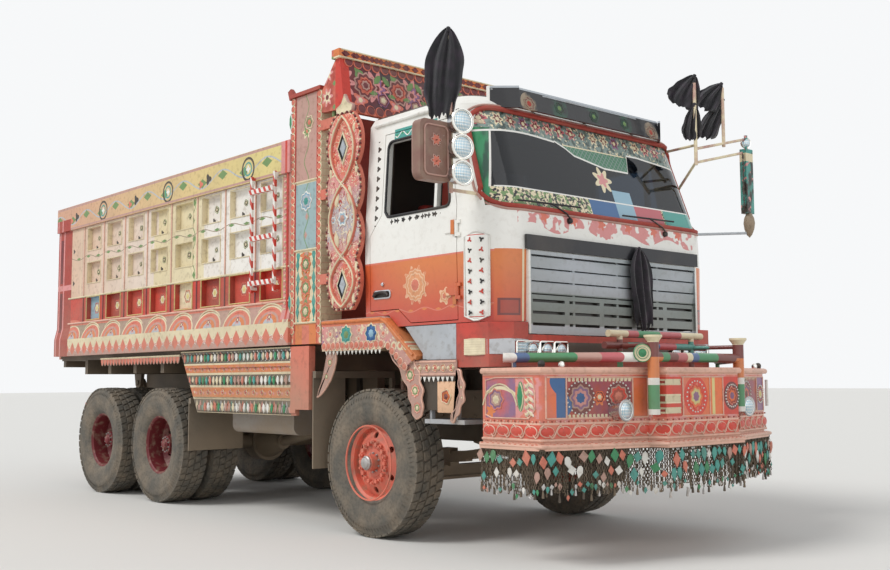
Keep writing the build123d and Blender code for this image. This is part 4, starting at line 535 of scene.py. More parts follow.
def carved_paint(name):
    """Carved side board: rose ground with fine scrolls, greyed round its middle."""
    p = Paint(name)
    made = p.mix(p.smooth(p.noise(9.0), 0.42, 0.60), "coral", "pink")
    made = p.mix(~p.smooth(abs(p.z - 2.39), 0.12, 0.26) * 0.8, made, "grey")
    made = p.mix(p.near(p.noise(24.0, 1.0), 0.5, 0.022), made, "cream")
    made = p.mix(p.near(p.noise(17.0, 1.0), 0.5, 0.014), made, "brick")
    made = p.aged(made, 0.2, 1.4, 2.0)
    return p.grained(made, 0.45, 0.3, scale=50.0)


def crown_paint(name):
    """Crown board: peach beam over dark ground with pink roses."""
    p = Paint(name)
    x, y, z = p.x, p.y, p.z
    v = z - 3.46
    made = p.mix(p.smooth(p.noise(3.0), 0.4, 0.6), "crown_ground", "maroon")
    u, _ = p.cell(y, 0.36)
    made = p.rosette(made, u, v - 0.03, 0.15, 9, "pink", "maroon", "coral")
    made = p.rosette(made, u, v - 0.03, 0.085, 6, "purple", "pink", "maroon")
    w, _ = p.cell(y, 0.36, 0.18)
    made = p.rosette(made, w, v + 0.10, 0.075, 5, "coral", "pink", "cream")
    made = p.mix(p.flower(w, v - 0.13, 0.05, 3), made, "leaf")
    frame_band = (z < 3.285) | (abs(y) > 1.17)
    edge, _ = p.cell(y, 0.09)
    band = p.mix(p.scallops(y, z, 0.09, 3.245, 0.035), "red", "coral")
    made = p.mix(frame_band, made, band)
    beam = p.mix(p.diamond(edge, z - 3.715, 0.035, 0.026), "orange", "maroon")
    beam = p.mix(p.near(z, 3.684, 0.008), beam, "cream")
    made = p.mix(z > 3.678, made, beam)
    w, _ = p.cell(x, 0.19, -0.36)
    h, _ = p.cell(z, 0.19, 3.30)
    cheek = p.mix(p.smooth(p.noise(8.0), 0.4, 0.6), "coral", "brick")
    cheek = p.rosette(cheek, w, h, 0.078, 7, "pink", "cream", "maroon")
    cheek = p.mix(p.diamond(abs(w) - 0.095, abs(h) - 0.095, 0.024, 0.024), cheek, "leaf")
    made = p.mix(x < -0.345, made, p.mix(abs(y) > 1.0, "brick", cheek))
    made = p.aged(made, 0.1, 0.9, 2.2)
    return p.grained(made, 0.42, 0.2)


def skirt_paint(name):
    """Slatted side panels between the axles: dark rows hung with drops, orange rows."""
    p = Paint(name)
    x, y, z = p.x, p.y, p.z
    u, count = p.cell(x, DROP_PITCH)
    luck = p.chance(count, p.maths("FLOOR", z * 4.7), 1.0)
    drops = p.pick(luck, ["teal", "cream", "coral", "leaf", "white", "grey", "pink"])
    made = "cream"
    for low, high in ((1.32, 1.425), (1.125, 1.215), (0.885, 1.0)):
        middle = (low + high) / 2
        row = p.mix(p.diamond(u, z - middle, 0.022, (high - low) * 0.46), "slat_ground", drops)
        made = p.mix(p.between(z, low, high), made, row)
    wide, _ = p.cell(x, BUD_PITCH)
    for low, high in ((1.235, 1.305), (1.02, 1.105)):
        row = p.vine("orange", x, z - (low + high) / 2, BUD_PITCH, 0.018, 0.006, "coral", "pink")
        row = p.mix(p.dot(wide, z - (low + high) / 2, 0.012), row, "cream")
        made = p.mix(p.between(z, low, high), made, row)
    made = p.mix((x > -0.955) | (x < -3.2), made, "coral")
    made = p.aged(made, 0.45, 0.7, 1.7)
    made = p.mix(abs(y) < 1.17, made, "steel")
    return p.grained(made, 0.5, 0.25, scale=70.0)


def fender_paint(name):
    """Front fenders: orange top edge over rose ground with round blue and green motifs."""
    p = Paint(name)
    x, z = p.x, p.z
    made = p.mix(p.smooth(p.noise(6.0), 0.4, 0.6), "pink", "dust_pink")
    made = p.mix(p.smooth(p.noise(34.0, 2.0), 0.56, 0.62), made, "cream")
    made = p.mix(p.smooth(p.noise(27.0, 2.0), 0.60, 0.66), made, "purple")
    top = p.mix(p.smooth(x, -0.5, 0.1), "coral", "orange")
    slope = (0.27 - x) * 0.9 + 1.625
    lip = p.mix(x > 0.27, z > 1.575, z - slope > -0.05)
    made = p.mix(Num(p, lip) > 0.5, made, top)
    petal, _ = p.cell(x, 0.07)
    hem = p.reach(petal, z - 1.405) < 0.034
    made = p.mix(hem, made, "cream")
    made = p.mix(p.reach(petal, z - 1.405) < 0.018, made, "coral")
    made = p.mix(z > 1.612, made, "dust_pink")
    made = p.aged(made, 0.3, 0.9, 1.8)
    return p.grained(made, 0.4, 0.2)


def cab_paint(name):
    """Cab shell: white above, orange into red below, with a pale rosette on the door."""
    p = Paint(name)
    x, y, z = p.x, p.y, p.z
    warm = p.mix(p.smooth(z, 1.58, 1.98), "red", "orange")
    rear = ~p.smooth(x, 0.0, 0.5)
    warm = p.mix(rear * 0.55, warm, "red")
    onside = abs(y) > 1.12
    u, v = x - 0.583, z - 1.832
    soft = p.smooth(p.noise(30.0, 3.0), 0.35, 0.6)
    motif = p.mix(p.flower(u, v, 0.145, 10) * soft * 0.8, warm, "pale_orange")
    motif = p.mix(p.dot(u, v, 0.05) * 0.6, motif, "cream")
    motif = p.mix(p.flower(x - 0.894, z - 1.735, 0.065, 5), motif, "pale_orange")
    motif = p.mix(p.dot(x - 0.894, z - 1.735, 0.03), motif, "orange")
    motif = p.vine(motif, x, z - 1.655, 0.30, 0.014, 0.004, "coral", "orange")
    warm = p.mix(onside, warm, motif)
    made = p.mix(z < 2.015, "white", warm)
    made = p.mix(p.near(z, 2.02, 0.006), made, "coral")
    # Small painted marks down the rear pillar, a green strip over the door's window
    mark, _ = p.cell(z, 0.075)
    pillar = p.flower(x - 0.125, mark, 0.024, 3) & p.between(z, 2.3, 2.95)
    row, _ = p.cell(x, 0.07)
    pillar = pillar | (p.flower(row, z - 2.315, 0.02, 4) & p.between(x, 0.30, 0.86))
    made = p.mix(pillar & onside, made, "steel")
    made = p.mix(p.between(x, 0.30, 0.78) & p.between(z, 2.925, 3.01), made, "teal")
    strip = p.vine("teal", x, z - 2.967, 0.12, 0.018, 0.005, "white", "green")
    made = p.mix(p.between(x, 0.31, 0.77) & p.between(z, 2.935, 3.0), made, strip)
    # Rose foliage under the windscreen
    ahead = x > 1.25
    spray = p.noise(11.0, 2.0)
    leafy = p.smooth(spray, 0.47, 0.50) & p.between(z, 2.15, 2.335) & p.between(y, -1.0, 1.0)
    swing = p.wave(y, 0.5) * 0.03 + 2.19
    made = p.mix(leafy & ahead & (z > swing), made, "pink")
    u2, _ = p.cell(y, 0.30)
    made = p.mix(p.flower(u2, z - 2.27, 0.045, 5) & ahead & p.between(y, -0.95, 0.95), made, "coral")
    # Painted shade: black in the recess behind the grille
    grille_recess_shade = (x > CAB_NOSE - 0.05) & (abs(y) < 0.939) & p.between(z, 1.43, 2.024)
    made = p.mix(grille_recess_shade, made, "black")
    corner = (x > 1.20) & (z < 2.03) & (abs(y) > 0.939)
    panel = p.mix(p.smooth(z, 1.50, 1.95), "red", "orange")
    panel = p.mix(p.box(abs(y), z, 0.985, 1.125, 1.585, 1.70), panel, "maroon")
    panel = p.mix(p.box(abs(y), z, 1.000, 1.110, 1.600, 1.685), panel, "brick")
    panel = p.mix(p.near(abs(y), 0.965, 0.008), panel, "cream")
    made = p.mix(corner & (abs(y) < 1.14), made, panel)
    made = p.aged(made, 0.16, 1.3, 2.1, 0.3)
    # Inside of the shell, a rounded box that narrows over the belt line
    rise = p.maths("MAXIMUM", z - BELT_Z, 0.0)
    off_x = p.maths("MAXIMUM", x + rise * 0.352 - 1.120, 0.0)
    off_y = p.maths("MAXIMUM", abs(y) + rise * 0.066 - 0.915, 0.0)
    inside = (p.reach(off_x, off_y) < 0.264) & (x > 0.03) & (z < 3.15)
    made = p.mix(inside, made, "cab_inner")
    return p.grained(made, 0.28, 0.12, spread=0.15, scale=50.0, detail=3.0, coat=0.25)


# Bumper panels on the front faces: low and high y, ground, flower at y, its radius, petals, rim
BUMPER_FRONT = (
    (-1.225, -1.130, "orange", None, 0.0, 0, None),
    (-1.130, -1.060, "blue", None, 0.0, 0, None),
    (-1.060, -0.560, "rose", -0.955, 0.088, 8, "purple"),
    (-0.560, -0.450, "orange", None, 0.0, 0, None),
    (-0.440, -0.235, "red", None, 0.0, 0, None),
    (-0.225, 0.065, "orange", -0.085, 0.110, 9, "coral"),
    # The yellow row is painted as a sunlit strip: bright orange with a yellow line as a painted highlight
    (0.075, 0.215, "yellow", None, 0.0, 0, None),
    (0.230, 0.440, "red", 0.330, 0.080, 8, "pink"),
    (0.450, 1.060, "rose", 0.820, 0.100, 8, "pink"),
    (1.060, 1.225, "purple", 1.140, 0.060, 6, "coral"),
)
PANEL_LOW_Z = 0.915
PANEL_HIGH_Z = 1.172
BLOOM_Z = 1.042
LAMP_LOW_Z = 1.300
LAMP_HIGH_Z = 1.412
STRIP_LOW_Z = 1.555
STRIP_HIGH_Z = 2.150
STRIP_MIDDLE_Z = (STRIP_LOW_Z + STRIP_HIGH_Z) / 2
STRIP_HALF_Z = STRIP_HIGH_Z - STRIP_MIDDLE_Z
STRIP_MARGIN = 0.0225
BAND_Z = 0.835


def strip_paint(name):
    """White enamel strip with a fine red line inside its edge."""
    p = Paint(name)
    line = p.near(abs(p.z - STRIP_MIDDLE_Z), STRIP_HALF_Z - STRIP_MARGIN, 0.003)
    made = p.mix(line, "white", "red")
    made = p.aged(made, 0.1, 1.3, 2.1, 0.4)
    return p.done(made, rough=0.3, coat=0.4)


def bright_chrome(name):
    p = Paint(name)
    film = p.noise(12.0, 3.0)
    made = p.mix(p.smooth(film, 0.55, 0.8) * 0.3, "white", "dust")
    return p.done(made, rough=p.smooth(film, 0.4, 0.8) * 0.12 + 0.08, metal=1.0)


def lamp_lens(name):
    """Ribbed clear lens over a bright bowl."""
    p = Paint(name)
    ribs = p.wave(p.y, 0.012) * 0.5 + p.wave(p.z, 0.020) * 0.3
    made = p.mix(p.smooth(ribs, -0.5, 0.7), "sky", "white")
    p.shader.inputs["Specular IOR Level"].default_value = 0.8
    return p.done(made, rough=0.08, metal=0.55, coat=1.0, height=ribs, bump=0.4, depth=0.003)


def lens_of(shade):
    """Coloured lamp plastic with fine ribs."""

    def finish(name):
        p = Paint(name)
        ribs = p.wave(p.y, 0.010) + p.wave(p.z, 0.016)
        made = p.mix(p.smooth(p.noise(20.0), 0.3, 0.7) * 0.3, shade, "dust")
        return p.done(made, rough=0.12, coat=0.8, height=ribs, bump=0.25)

    return finish


def mirror_glass(name):
    p = Paint(name)
    return p.done("sky", rough=0.03, metal=1.0)


def bumper_paint(name):
    """Front bumper: framed floral panels over a red band of ovals, under a peach rim."""
    p = Paint(name)
    x, y, z = p.x, p.y, p.z
    side = (abs(y) > 1.225) & (x < 1.80)
    grounds = {
        "rose": p.mix(p.smooth(p.noise(9.0), 0.42, 0.6), "mauve", "brick"),
        "red": p.mix(p.smooth(p.noise(7.0), 0.4, 0.62), "lit_red", "red"),
        "orange": p.mix(p.smooth(p.noise(6.0), 0.4, 0.62), "hot_orange", "coral"),
        # Painted light: the sunlit strip in hot orange, with a yellow line as a painted highlight
        "yellow": p.mix(p.near(y, 0.115, 0.016), "hot_orange", "yellow"),
    }
    v = z - BLOOM_Z
    front = p.mix(p.smooth(p.noise(11.0), 0.45, 0.55), "coral", "pink")
    for low, high, ground, middle, radius, petals, shade in BUMPER_FRONT:
        spot = grounds.get(ground, ground)
        if middle is not None:
            u = y - middle
            spot = p.mix(p.dot(u, v, radius * 1.20), spot, "lit_red" if ground == "orange" else "maroon")
            spot = p.rosette(spot, u, v, radius * 0.86, petals, shade, "coral", "maroon")
        front = p.mix(p.box(y, z, low, high, PANEL_LOW_Z, PANEL_HIGH_Z), front, spot)
    rose = p.box(y, z, -1.055, -0.565, 1.145, 1.168) | p.box(y, z, -1.055, -0.565, 0.918, 0.938)
    tooth, _ = p.cell(y, 0.030)
    front = p.mix(rose & p.near(tooth, 0.0, 0.009), front, "cream")
    front = p.rosette(front, y + 0.815, v + 0.01, 0.045, 6, "orange", "red", "green")
    front = p.mix(p.dot(y + 0.672, v, 0.095), front, "maroon")
    for low, high in ((1.118, 1.158), (1.000, 1.060), (0.935, 0.975)):
        front = p.mix(p.box(y, z, -0.425, -0.250, low, high), front, "cream")
        front = p.mix(p.box(y, z, -0.425, -0.250, low + 0.012, high - 0.012), front, "brick")
    swirl = p.wave(z - 0.02, 0.30) * 0.045
    front = p.mix(
        p.near(y + 1.095 - swirl, 0.0, 0.036) & p.between(z, PANEL_LOW_Z, PANEL_HIGH_Z), front, "blue"
    )
    # Side faces: purple ground with a coral flower, a pale arch, a green leaf and white leaves
    flank = p.mix(p.smooth(p.noise(8.0), 0.4, 0.6), "purple", "rose_band")
    flank = p.rosette(flank, x - 1.425, v + 0.01, 0.075, 7, "coral", "pink", "cream")
    flank = p.mix(p.flower(x - 1.375, v + 0.085, 0.045, 5), flank, "orange")
    arch = p.near(p.reach((x - 1.46) / 1.15, v + 0.12), 0.185, 0.011)
    flank = p.mix(arch, flank, "cream")
    flank = p.mix((x > 1.60), flank, p.mix(p.smooth(p.noise(14.0), 0.45, 0.5), "coral", "pink"))
    leaf = p.reach((x - 1.645) / 0.030, (v - 0.01) / 0.095) < 1.0
    flank = p.mix(leaf, flank, "green")
    blade, _ = p.cell(v + x * 0.9, 0.045)
    flank = p.mix(p.near(blade, 0.0, 0.007) & p.near(x, 1.715, 0.035), flank, "cream")
    flank = p.mix(p.near(v, 0.0, 0.127) & (x > 1.325), "coral", flank)
    made = p.mix(side, front, flank)
    u = Num(p, p.mix(side, y, (x - 2.6) * -1.0))
    oval, _ = p.cell(u, 0.125)
    ground = p.mix(p.smooth(p.noise(6.0), 0.4, 0.6), "lit_red", "coral")
    band = p.mix(p.near(z - p.wave(u, 0.125) * 0.022, BAND_Z, 0.006), ground, "peach")
    band = p.mix(p.reach(oval / 0.039, (z - BAND_Z) / 0.027) < 1.0, band, "lit_red")
    band = p.mix(p.near(z, 0.884, 0.007) | p.near(z, 0.786, 0.006), band, "peach")
    made = p.mix(z < 0.890, made, band)
    lip, _ = p.cell(u, 0.05)
    hem = p.mix(p.dot(lip, z - 0.752, 0.012), "peach", "coral")
    made = p.mix(z < 0.780, made, hem)
    made = p.mix(z > 1.186, made, "peach")
    made = p.mix(z > 1.2345, made, "brick")
    made = p.aged(made, 0.22, 0.5, 1.3, 0.5)
    made = p.mix(x < 1.30, made, "steel")
    return p.grained(made, 0.34, 0.2, coat=0.2)


# Bands along the bars over the bumper: where each ends, and its paint
LOW_BANDS = (
    (-1.145, "white"), (-1.085, "blue"), (-0.860, "green"), (-0.745, "dust_pink"), (-0.640, "rose_band"),
    (-0.565, "white"), (-0.505, "blue"), (-0.340, "green"), (-0.250, "maroon"), (-0.150, "rose_band"),
    (-0.090, "cream"), (-0.020, "blue"), (0.200, "green"), (0.520, "maroon"), (0.800, "cream"), (
        1.000, "blue"
    ),
)
MID_BANDS = ((-0.330, "maroon"), (-0.080, "teal"), (0.010, "blue"), (0.200, "rose_band"), (0.420, "teal"))
TOP_BANDS = (
    (-0.330, "cream"), (-0.220, "rose_band"), (0.020, "green"), (0.260, "rose_band"), (0.400, "cream")
)
POST_BANDS = ((0.965, "white"), (1.120, "green"), (1.165, "white"), (1.300, "orange"), (1.395, "maroon"))


def banded(p, value, bands, last):
    """Paint that changes at each named place along value."""
    made = last
    for end, shade in reversed(bands):
        made = p.mix(value < end, made, shade)
    return made


def rail_paint(name):
    """Bars and posts over the bumper in painted rings."""
    p = Paint(name)
    x, y, z = p.x, p.y, p.z
    low = banded(p, y, LOW_BANDS, "green")
    middle = banded(p, y, MID_BANDS, "maroon")
    top = banded(p, y, TOP_BANDS, "cream")
    made = p.mix(z > 1.345, low, middle)
    made = p.mix(z > 1.425, made, top)
    posts = banded(p, z, POST_BANDS, "cream")
    made = p.mix(p.near(abs(y), 0.477, 0.064) & (x > 2.030), made, posts)
    made = p.mix((x < 1.50) & (z > 1.34), made, "maroon")
    made = p.aged(made, 0.2, 0.8, 1.8, 0.5)
    return p.grained(made, 0.32, 0.15, coat=0.25)


def grille_paint(name):
    """Broad pale slats over a slotted grey panel, a light foot and the bare dark band above."""
    p = Paint(name)
    y, z = p.y, p.z
    film = p.noise(3.0, 4.0, (1.0, 0.35, 1.0))
    made = p.mix(p.smooth(film, 0.3, 0.7), "slat", "grey")
    made = p.mix(z < 1.745, made, p.mix(p.smooth(film, 0.3, 0.7), "slat_low", "slat"))
    made = p.mix(z < 1.530, made, "grey")
    made = p.mix(p.near(abs(y), 0.931, 0.010) & (z < 2.03), made, "white")
    made = p.mix(z > 2.028, made, "band")
    made = p.aged(made, 0.25, 1.3, 1.9, 0.5)
    return p.grained(made, 0.30, 0.12, spread=0.15, metal=0.25, coat=0.2)


def fitted_colour(shade, rough, dust=0.15, low=0.5, high=2.0, metal=0.0, coat=0.0, bump=0.2, grain=60.0):
    """A plain paint with age, for pieces without a pattern."""

    def finish(name):
        p = Paint(name)
        worn = p.mix(p.smooth(p.noise(4.0), 0.35, 0.7) * 0.5, shade, "black", "MULTIPLY")
        made = p.aged(p.mix(0.35, shade, worn), dust, low, high)
        return p.grained(made, rough, bump, scale=grain, metal=metal, coat=coat)

    return finish


def lamp_bar_paint(name):
    """Red lamp beam with a dark lamp row and cream indicators at its ends."""
    p = Paint(name)
    y, z = p.y, p.z
    made = p.mix(p.smooth(p.noise(5.0), 0.35, 0.7), "red", "brick")
    made = p.mix(p.between(z, LAMP_LOW_Z, LAMP_HIGH_Z) & (abs(y) < 1.02), made, "steel")
    made = p.aged(made, 0.3, 0.8, 1.6)
    return p.grained(made, 0.35, 0.15, coat=0.2)


def screen_glass(name):
    """Tinted windscreen with painted green sides, a scalloped top and a foliage strip."""
    p = Paint(name)
    y, z = p.y, p.z
    u, count = p.cell(y, 0.125)
    top = p.pick(
        p.chance(count, 2.0, 2.0), ["dust_pink", "screen_pale", "pink", "rose_band", "cream", "purple"]
    )
    swell = p.smooth(y, -0.40, -0.22) * 0.5 + p.smooth(y, -0.30, 0.10) * 0.5
    bulge = swell * ~p.smooth(y, 0.37, 0.42) * 0.150
    edge = 2.885 + p.wave(y + 0.95, 0.9) * 0.012 * (y < -0.40) - bulge - p.smooth(y, 0.55, 1.1) * 0.05
    above = z > edge
    painted = p.mix(p.smooth(p.noise(26.0, 3.0), 0.38, 0.54), "screen_dark", "screen_pale")
    painted = p.rosette(painted, u, z - 2.972, 0.056, 6, top, "maroon", "cream")
    painted = p.mix(p.smooth(p.noise(40.0, 2.0), 0.60, 0.63), painted, "cream")
    lattice, _ = p.cell(y + z, 0.045)
    crossed, _ = p.cell(y - z, 0.045)
    tracery = p.near(lattice, 0.0, 0.004) | p.near(crossed, 0.0, 0.004)
    green = p.mix(tracery, p.mix(0.4, "green", "screen_dark"), "screen_pale")
    painted = p.mix(z < 2.862, painted, green)
    painted = p.mix(p.near(z, 2.866, 0.005) & p.between(y, -0.30, 0.38), painted, "cream")
    low = z < 2.462
    spray = p.smooth(p.noise(38.0, 2.0), 0.46, 0.5)
    foliage = p.mix(spray, "black", "cream")
    foliage = p.mix(p.smooth(p.noise(30.0, 2.0), 0.55, 0.57), foliage, "leaf")
    foliage = p.mix(p.between(y, -0.20, 0.10), foliage, "blue")
    foliage = p.mix(p.between(y, 0.10, 0.31), foliage, "sky")
    foliage = p.mix(p.between(y, 0.31, 0.64), foliage, "rose_band")
    foliage = p.mix(y > 0.66, foliage, "teal")
    painted = p.mix(low, painted, foliage)
    lean = (z - 2.870) * 0.22 - 1.02
    sides = (y < lean) | (y > 1.02)
    weave = p.mix(p.smooth(p.noise(14.0, 4.0, (1.0, 1.0, 0.35)), 0.42, 0.58), "green", "dim_green")
    painted = p.mix(sides & (z < 2.90), painted, weave)
    line = p.near(z, edge, 0.007)
    line = line | (p.near(z, 2.465, 0.005) & p.between(y, -1.09, 1.0))
    line = line | ((p.near(y, lean, 0.006) | p.near(y, 1.02, 0.006)) & p.between(z, 2.46, 2.88))
    painted = p.mix(p.box(y, z, 0.10, 0.31, 2.46, 2.565), painted, "sky")
    painted = p.mix(line, painted, "white")
    flower = p.flower(y - 0.03, z - 2.635, 0.105, 7)
    painted = p.mix(flower, painted, "cream")
    painted = p.mix(p.flower(y - 0.03, z - 2.635, 0.060, 5), painted, "pink")
    shown = above | low | sides | line | flower | p.box(y, z, 0.10, 0.31, 2.46, 2.565)
    p.done(painted, rough=0.35, coat=0.5)
    glass = p.node("ShaderNodeBsdfPrincipled")
    glass.inputs["Base Color"].default_value = tint("glass")
    glass.inputs["Roughness"].default_value = 0.03
    glass.inputs["Transmission Weight"].default_value = 0.9
    blended = p.node("ShaderNodeMixShader", inputs={0: shown, 1: glass.outputs[0], 2: p.shader.outputs[0]})
    output = p.tree.nodes["Material Output"]
    p.tree.links.new(blended.outputs[0], output.inputs["Surface"])
    return p.material


def visor_paint(name):
    """Dark visor board with tan flowers at its ends and green ones between."""
    p = Paint(name)
    y, z = p.y, p.z
    v = z - 3.135
    u, _ = p.cell(y, 0.37, -0.185)
    sheen = p.smooth(p.noise(9.0), 0.45, 0.65)
    made = p.mix(p.dot(u, v + 0.01, 0.09) & sheen & (abs(y) < 0.55), "black", "dim_green")
    made = p.mix(p.dot(abs(y) - 0.69, v + 0.03, 0.085) & sheen, made, "dust")
    made = p.mix(z > 3.20, made, "grey")
    made = p.mix(abs(y) > 0.955, made, "white")
    return p.grained(made, 0.3, 0.1, scale=50.0, detail=3.0, coat=0.3)


def gate_paint(name):
    """Tail door: red leaf with cream stiles and painted flowers."""
    p = Paint(name)
    x, y, z = p.x, p.y, p.z
    bay, _ = p.cell(y, 0.535, 0.2675)
    made = p.mix(p.smooth(p.noise(5.0), 0.35, 0.7), "red", "brick")
    row, _ = p.cell(z, 0.46, 1.46)
    made = p.rosette(made, bay, row, 0.12, 10, "cream", "coral", "green")
    made = p.rosette(made, abs(bay) - 0.16, abs(row) - 0.16, 0.045, 5, "yellow", "maroon", "cream")
    made = p.mix(p.near(abs(bay), 0.262, 0.032), made, "cream")
    stud, _ = p.cell(z, 0.10)
    made = p.mix(p.diamond(abs(bay) - 0.262, stud, 0.02, 0.035), made, "teal")
    made = p.mix(x > -5.815, made, "steel")
    made = p.aged(made, 0.4, 1.3, 2.6)
    return p.grained(made, 0.42, 0.2)


def ladder_paint(name):
    """White strings and rungs with red bands."""
    p = Paint(name)
    x, z = p.x, p.z
    local, _ = p.cell(x + z * 0.6, 0.075)
    made = p.mix(p.near(local, 0.0, 0.018), "white", "red")
    made = p.aged(made, 0.2, 0.9, 2.2)
    return p.done(made, rough=0.45)


def tyre_rubber(name):
    """Dusty rubber with patches of dust and fine dark grit."""
    p = Paint(name)
    grit = p.noise(45.0, 5.0)
    patch = p.noise(7.0, 4.0)
    made = p.mix(p.smooth(patch, 0.35, 0.75), "rubber", "dust")
    made = p.mix(p.smooth(grit, 0.45, 0.75) * 0.5, made, "black")
    made = p.mix(0.45, made, "rubber")
    return p.done(made, rough=grit * 0.2 + 0.72, height=grit, bump=0.4, depth=0.004)


def rim_paint(shade):
    def finish(name):
        p = Paint(name)
        rust = p.smooth(p.noise(16.0, 5.0), 0.5, 0.72)
        made = p.mix(rust * 0.7, shade, "dust")
        made = p.mix(p.smooth(p.noise(5.0), 0.5, 0.8) * 0.4, made, "maroon")
        return p.grained(made, 0.45, 0.3, spread=0.25, scale=70.0)

    return finish


def chrome(name):
    p = Paint(name)
    film = p.noise(9.0, 4.0)
    made = p.mix(p.smooth(film, 0.5, 0.8) * 0.35, "chrome", "dust")
    return p.done(made, rough=p.smooth(film, 0.3, 0.8) * 0.25 + 0.12, metal=1.0)


def cloth_weave(name):
    """Thin black cloth with a fine weave, and purple streaks painted on as sheen."""
    p = Paint(name)
    uv = p.node("ShaderNodeTexCoord").outputs["Object"]
    parts = p.node("ShaderNodeSeparateXYZ", inputs={0: uv})
    thread = p.wave(Num(p, parts.outputs[0]), 0.004) * p.wave(Num(p, parts.outputs[2]), 0.004)
    crease_and_sheen = p.noise(14.0, 3.0)
    # Painted sheen: purple streaks screened over the black, from the same noise that bumps the creases
    made = p.mix(p.smooth(crease_and_sheen, 0.45, 0.8) * 0.5, "cloth", "purple", "SCREEN")
    made = p.mix(0.8, made, "cloth")
    p.shader.inputs["Sheen Weight"].default_value = 0.35
    return p.done(made, rough=0.78, height=thread + crease_and_sheen * 2.0, bump=0.25, depth=0.001)


def seat_weave(name):
    p = Paint(name)
    y, z = p.y, p.z
    thread = p.wave(y, 0.006) * p.wave(z, 0.006)
    made = p.mix(p.smooth(p.noise(9.0), 0.4, 0.7), "red", "maroon")
    return p.done(made, rough=0.85, height=thread, bump=0.3, depth=0.001)


PATTERNED = (
    bed_paint, pillar_paint, crown_paint, skirt_paint, fender_paint, carved_paint, cab_paint,
    bumper_paint, rail_paint, grille_paint, mirror_paint, strip_paint, bright_chrome, lamp_lens,
    mirror_glass, lamp_bar_paint, screen_glass, visor_paint, gate_paint, ladder_paint, tyre_rubber,
    chrome, cloth_weave, seat_weave,
)
FINISHES = {paint.__name__: paint for paint in PATTERNED}
FINISHES |= {
    "leaf_paint": fitted_colour("leaf", 0.45),
    "steel_paint": fitted_colour("steel", 0.5),
    "amber_lens": lens_of("amber"),
    "red_lens": lens_of("red"),
    "cream_lens": lens_of("cream"),
    "brick_paint": fitted_colour("brick", 0.5, low=1.0, high=2.2),
    "purple_paint": fitted_colour("purple", 0.4),
    "peach_paint": fitted_colour("peach", 0.4, coat=0.2),
    "yellow_paint": fitted_colour("yellow", 0.45, dust=0.2),
    "pale_orange": fitted_colour("pale_orange", 0.4),
    "soft_orange": fitted_colour("soft_orange", 0.4),
    "front_rim_paint": rim_paint("coral"),
    "rear_rim_paint": rim_paint("maroon"),
    "coral_paint": fitted_colour("coral", 0.42, low=1.0, high=2.2),
    "pink_paint": fitted_colour("pink", 0.42, low=1.0, high=2.2),
    "rose_paint": fitted_colour("dust_pink", 0.5, dust=0.2, low=1.0, high=2.2),
    "cream_paint": fitted_colour("cream", 0.45, dust=0.2),
    "white_paint": fitted_colour("white", 0.4),
    "red_paint": fitted_colour("red", 0.4, dust=0.2, coat=0.2),
    "orange_paint": fitted_colour("orange", 0.4),
    "maroon_paint": fitted_colour("maroon", 0.4, coat=0.2),
    "teal_paint": fitted_colour("teal", 0.4, dust=0.12, low=0.3, high=1.2),
    "green_paint": fitted_colour("green", 0.4, dust=0.12, low=0.3, high=1.2),
    "blue_paint": fitted_colour("blue", 0.4, dust=0.12, low=0.3, high=1.2),
    "sky_paint": fitted_colour("sky", 0.4, low=0.3, high=1.5),
    "steel_trim": fitted_colour("chrome", 0.35, dust=0.4, low=0.3, high=1.2, metal=0.8),
    "chain_iron": fitted_colour("steel", 0.45, dust=0.5, low=0.2, high=1.0, metal=0.5),
    "grey_paint": fitted_colour("grey", 0.4, dust=0.3, high=1.8),
    "dark_trim": fitted_colour("black", 0.45, high=1.8),
    "chassis_paint": fitted_colour("steel", 0.55, dust=0.75, low=0.3, high=1.9, bump=0.4, grain=40.0),
    "engine_iron": fitted_colour(
        "steel", 0.5, dust=0.4, low=0.3, high=1.6, metal=0.3, bump=0.4, grain=30.0
    ),
    "tank_paint": fitted_colour("grey", 0.5, dust=0.8, low=0.3, high=1.9, metal=0.2),
    "flap_rubber": fitted_colour("rubber", 0.7, dust=0.7, low=0.2, high=1.9, bump=0.4, grain=35.0),
    "lit_red_paint": fitted_colour("lit_red", 0.38, dust=0.1, coat=0.2),
    "hot_paint": fitted_colour("hot_orange", 0.38, dust=0.1, coat=0.2),
    "tan_paint": fitted_colour("dust", 0.5, dust=0.1),
    "dim_paint": fitted_colour("dim_green", 0.4, dust=0.1),
    "cab_trim": fitted_colour("black", 0.6, dust=0.1, low=1.0, high=2.5, bump=0.3, grain=90.0),
}

# Finishes and the carried over nodes that wear them
PAINTED_NODES = {
    "bed_paint": "bed_sides",
    "pillar_paint": "headboard",
    "crown_paint": "crown",
    "coral_paint": "side_ornaments",
    "skirt_paint": "side_skirts",
    "fender_paint": "fenders",
    "cab_paint": "cab_sides cab_front cab_back cab_roof door_right door_left",
    "cab_trim": "cab_floor dashboard",
    "dark_trim": "steering_wheel",
    "bumper_paint": "front_bumper",
    "rail_paint": "bumper_rails",
    "lamp_bar_paint": "headlamp_bar",
    "screen_glass": "windscreen",
    "grille_paint": "grille",
    "visor_paint": "visor",
    "chrome": "lamps hoist_rod",
    "mirror_paint": "mirrors",
    "grey_paint": "steps",
    "flap_rubber": "mud_flaps",
    "gate_paint": "tailgate",
    "ladder_paint": "ladder",
    "chassis_paint": "bed_floor",
    "red_paint": "rear_lamp_bar",
    "tank_paint": "side_tanks",
    "engine_iron": "engine_block radiator",
    "front_rim_paint": "front_rim_right front_rim_left",
    "rear_rim_paint": "rear_rims_right_1 rear_rims_right_2 rear_rims_left_1 rear_rims_left_2",
}
NODE_FINISHES = {node: paint for paint, nodes in PAINTED_NODES.items() for node in nodes.split()}


# Modelling helpers
TIP_R = 0.0005
SUNK = -0.001


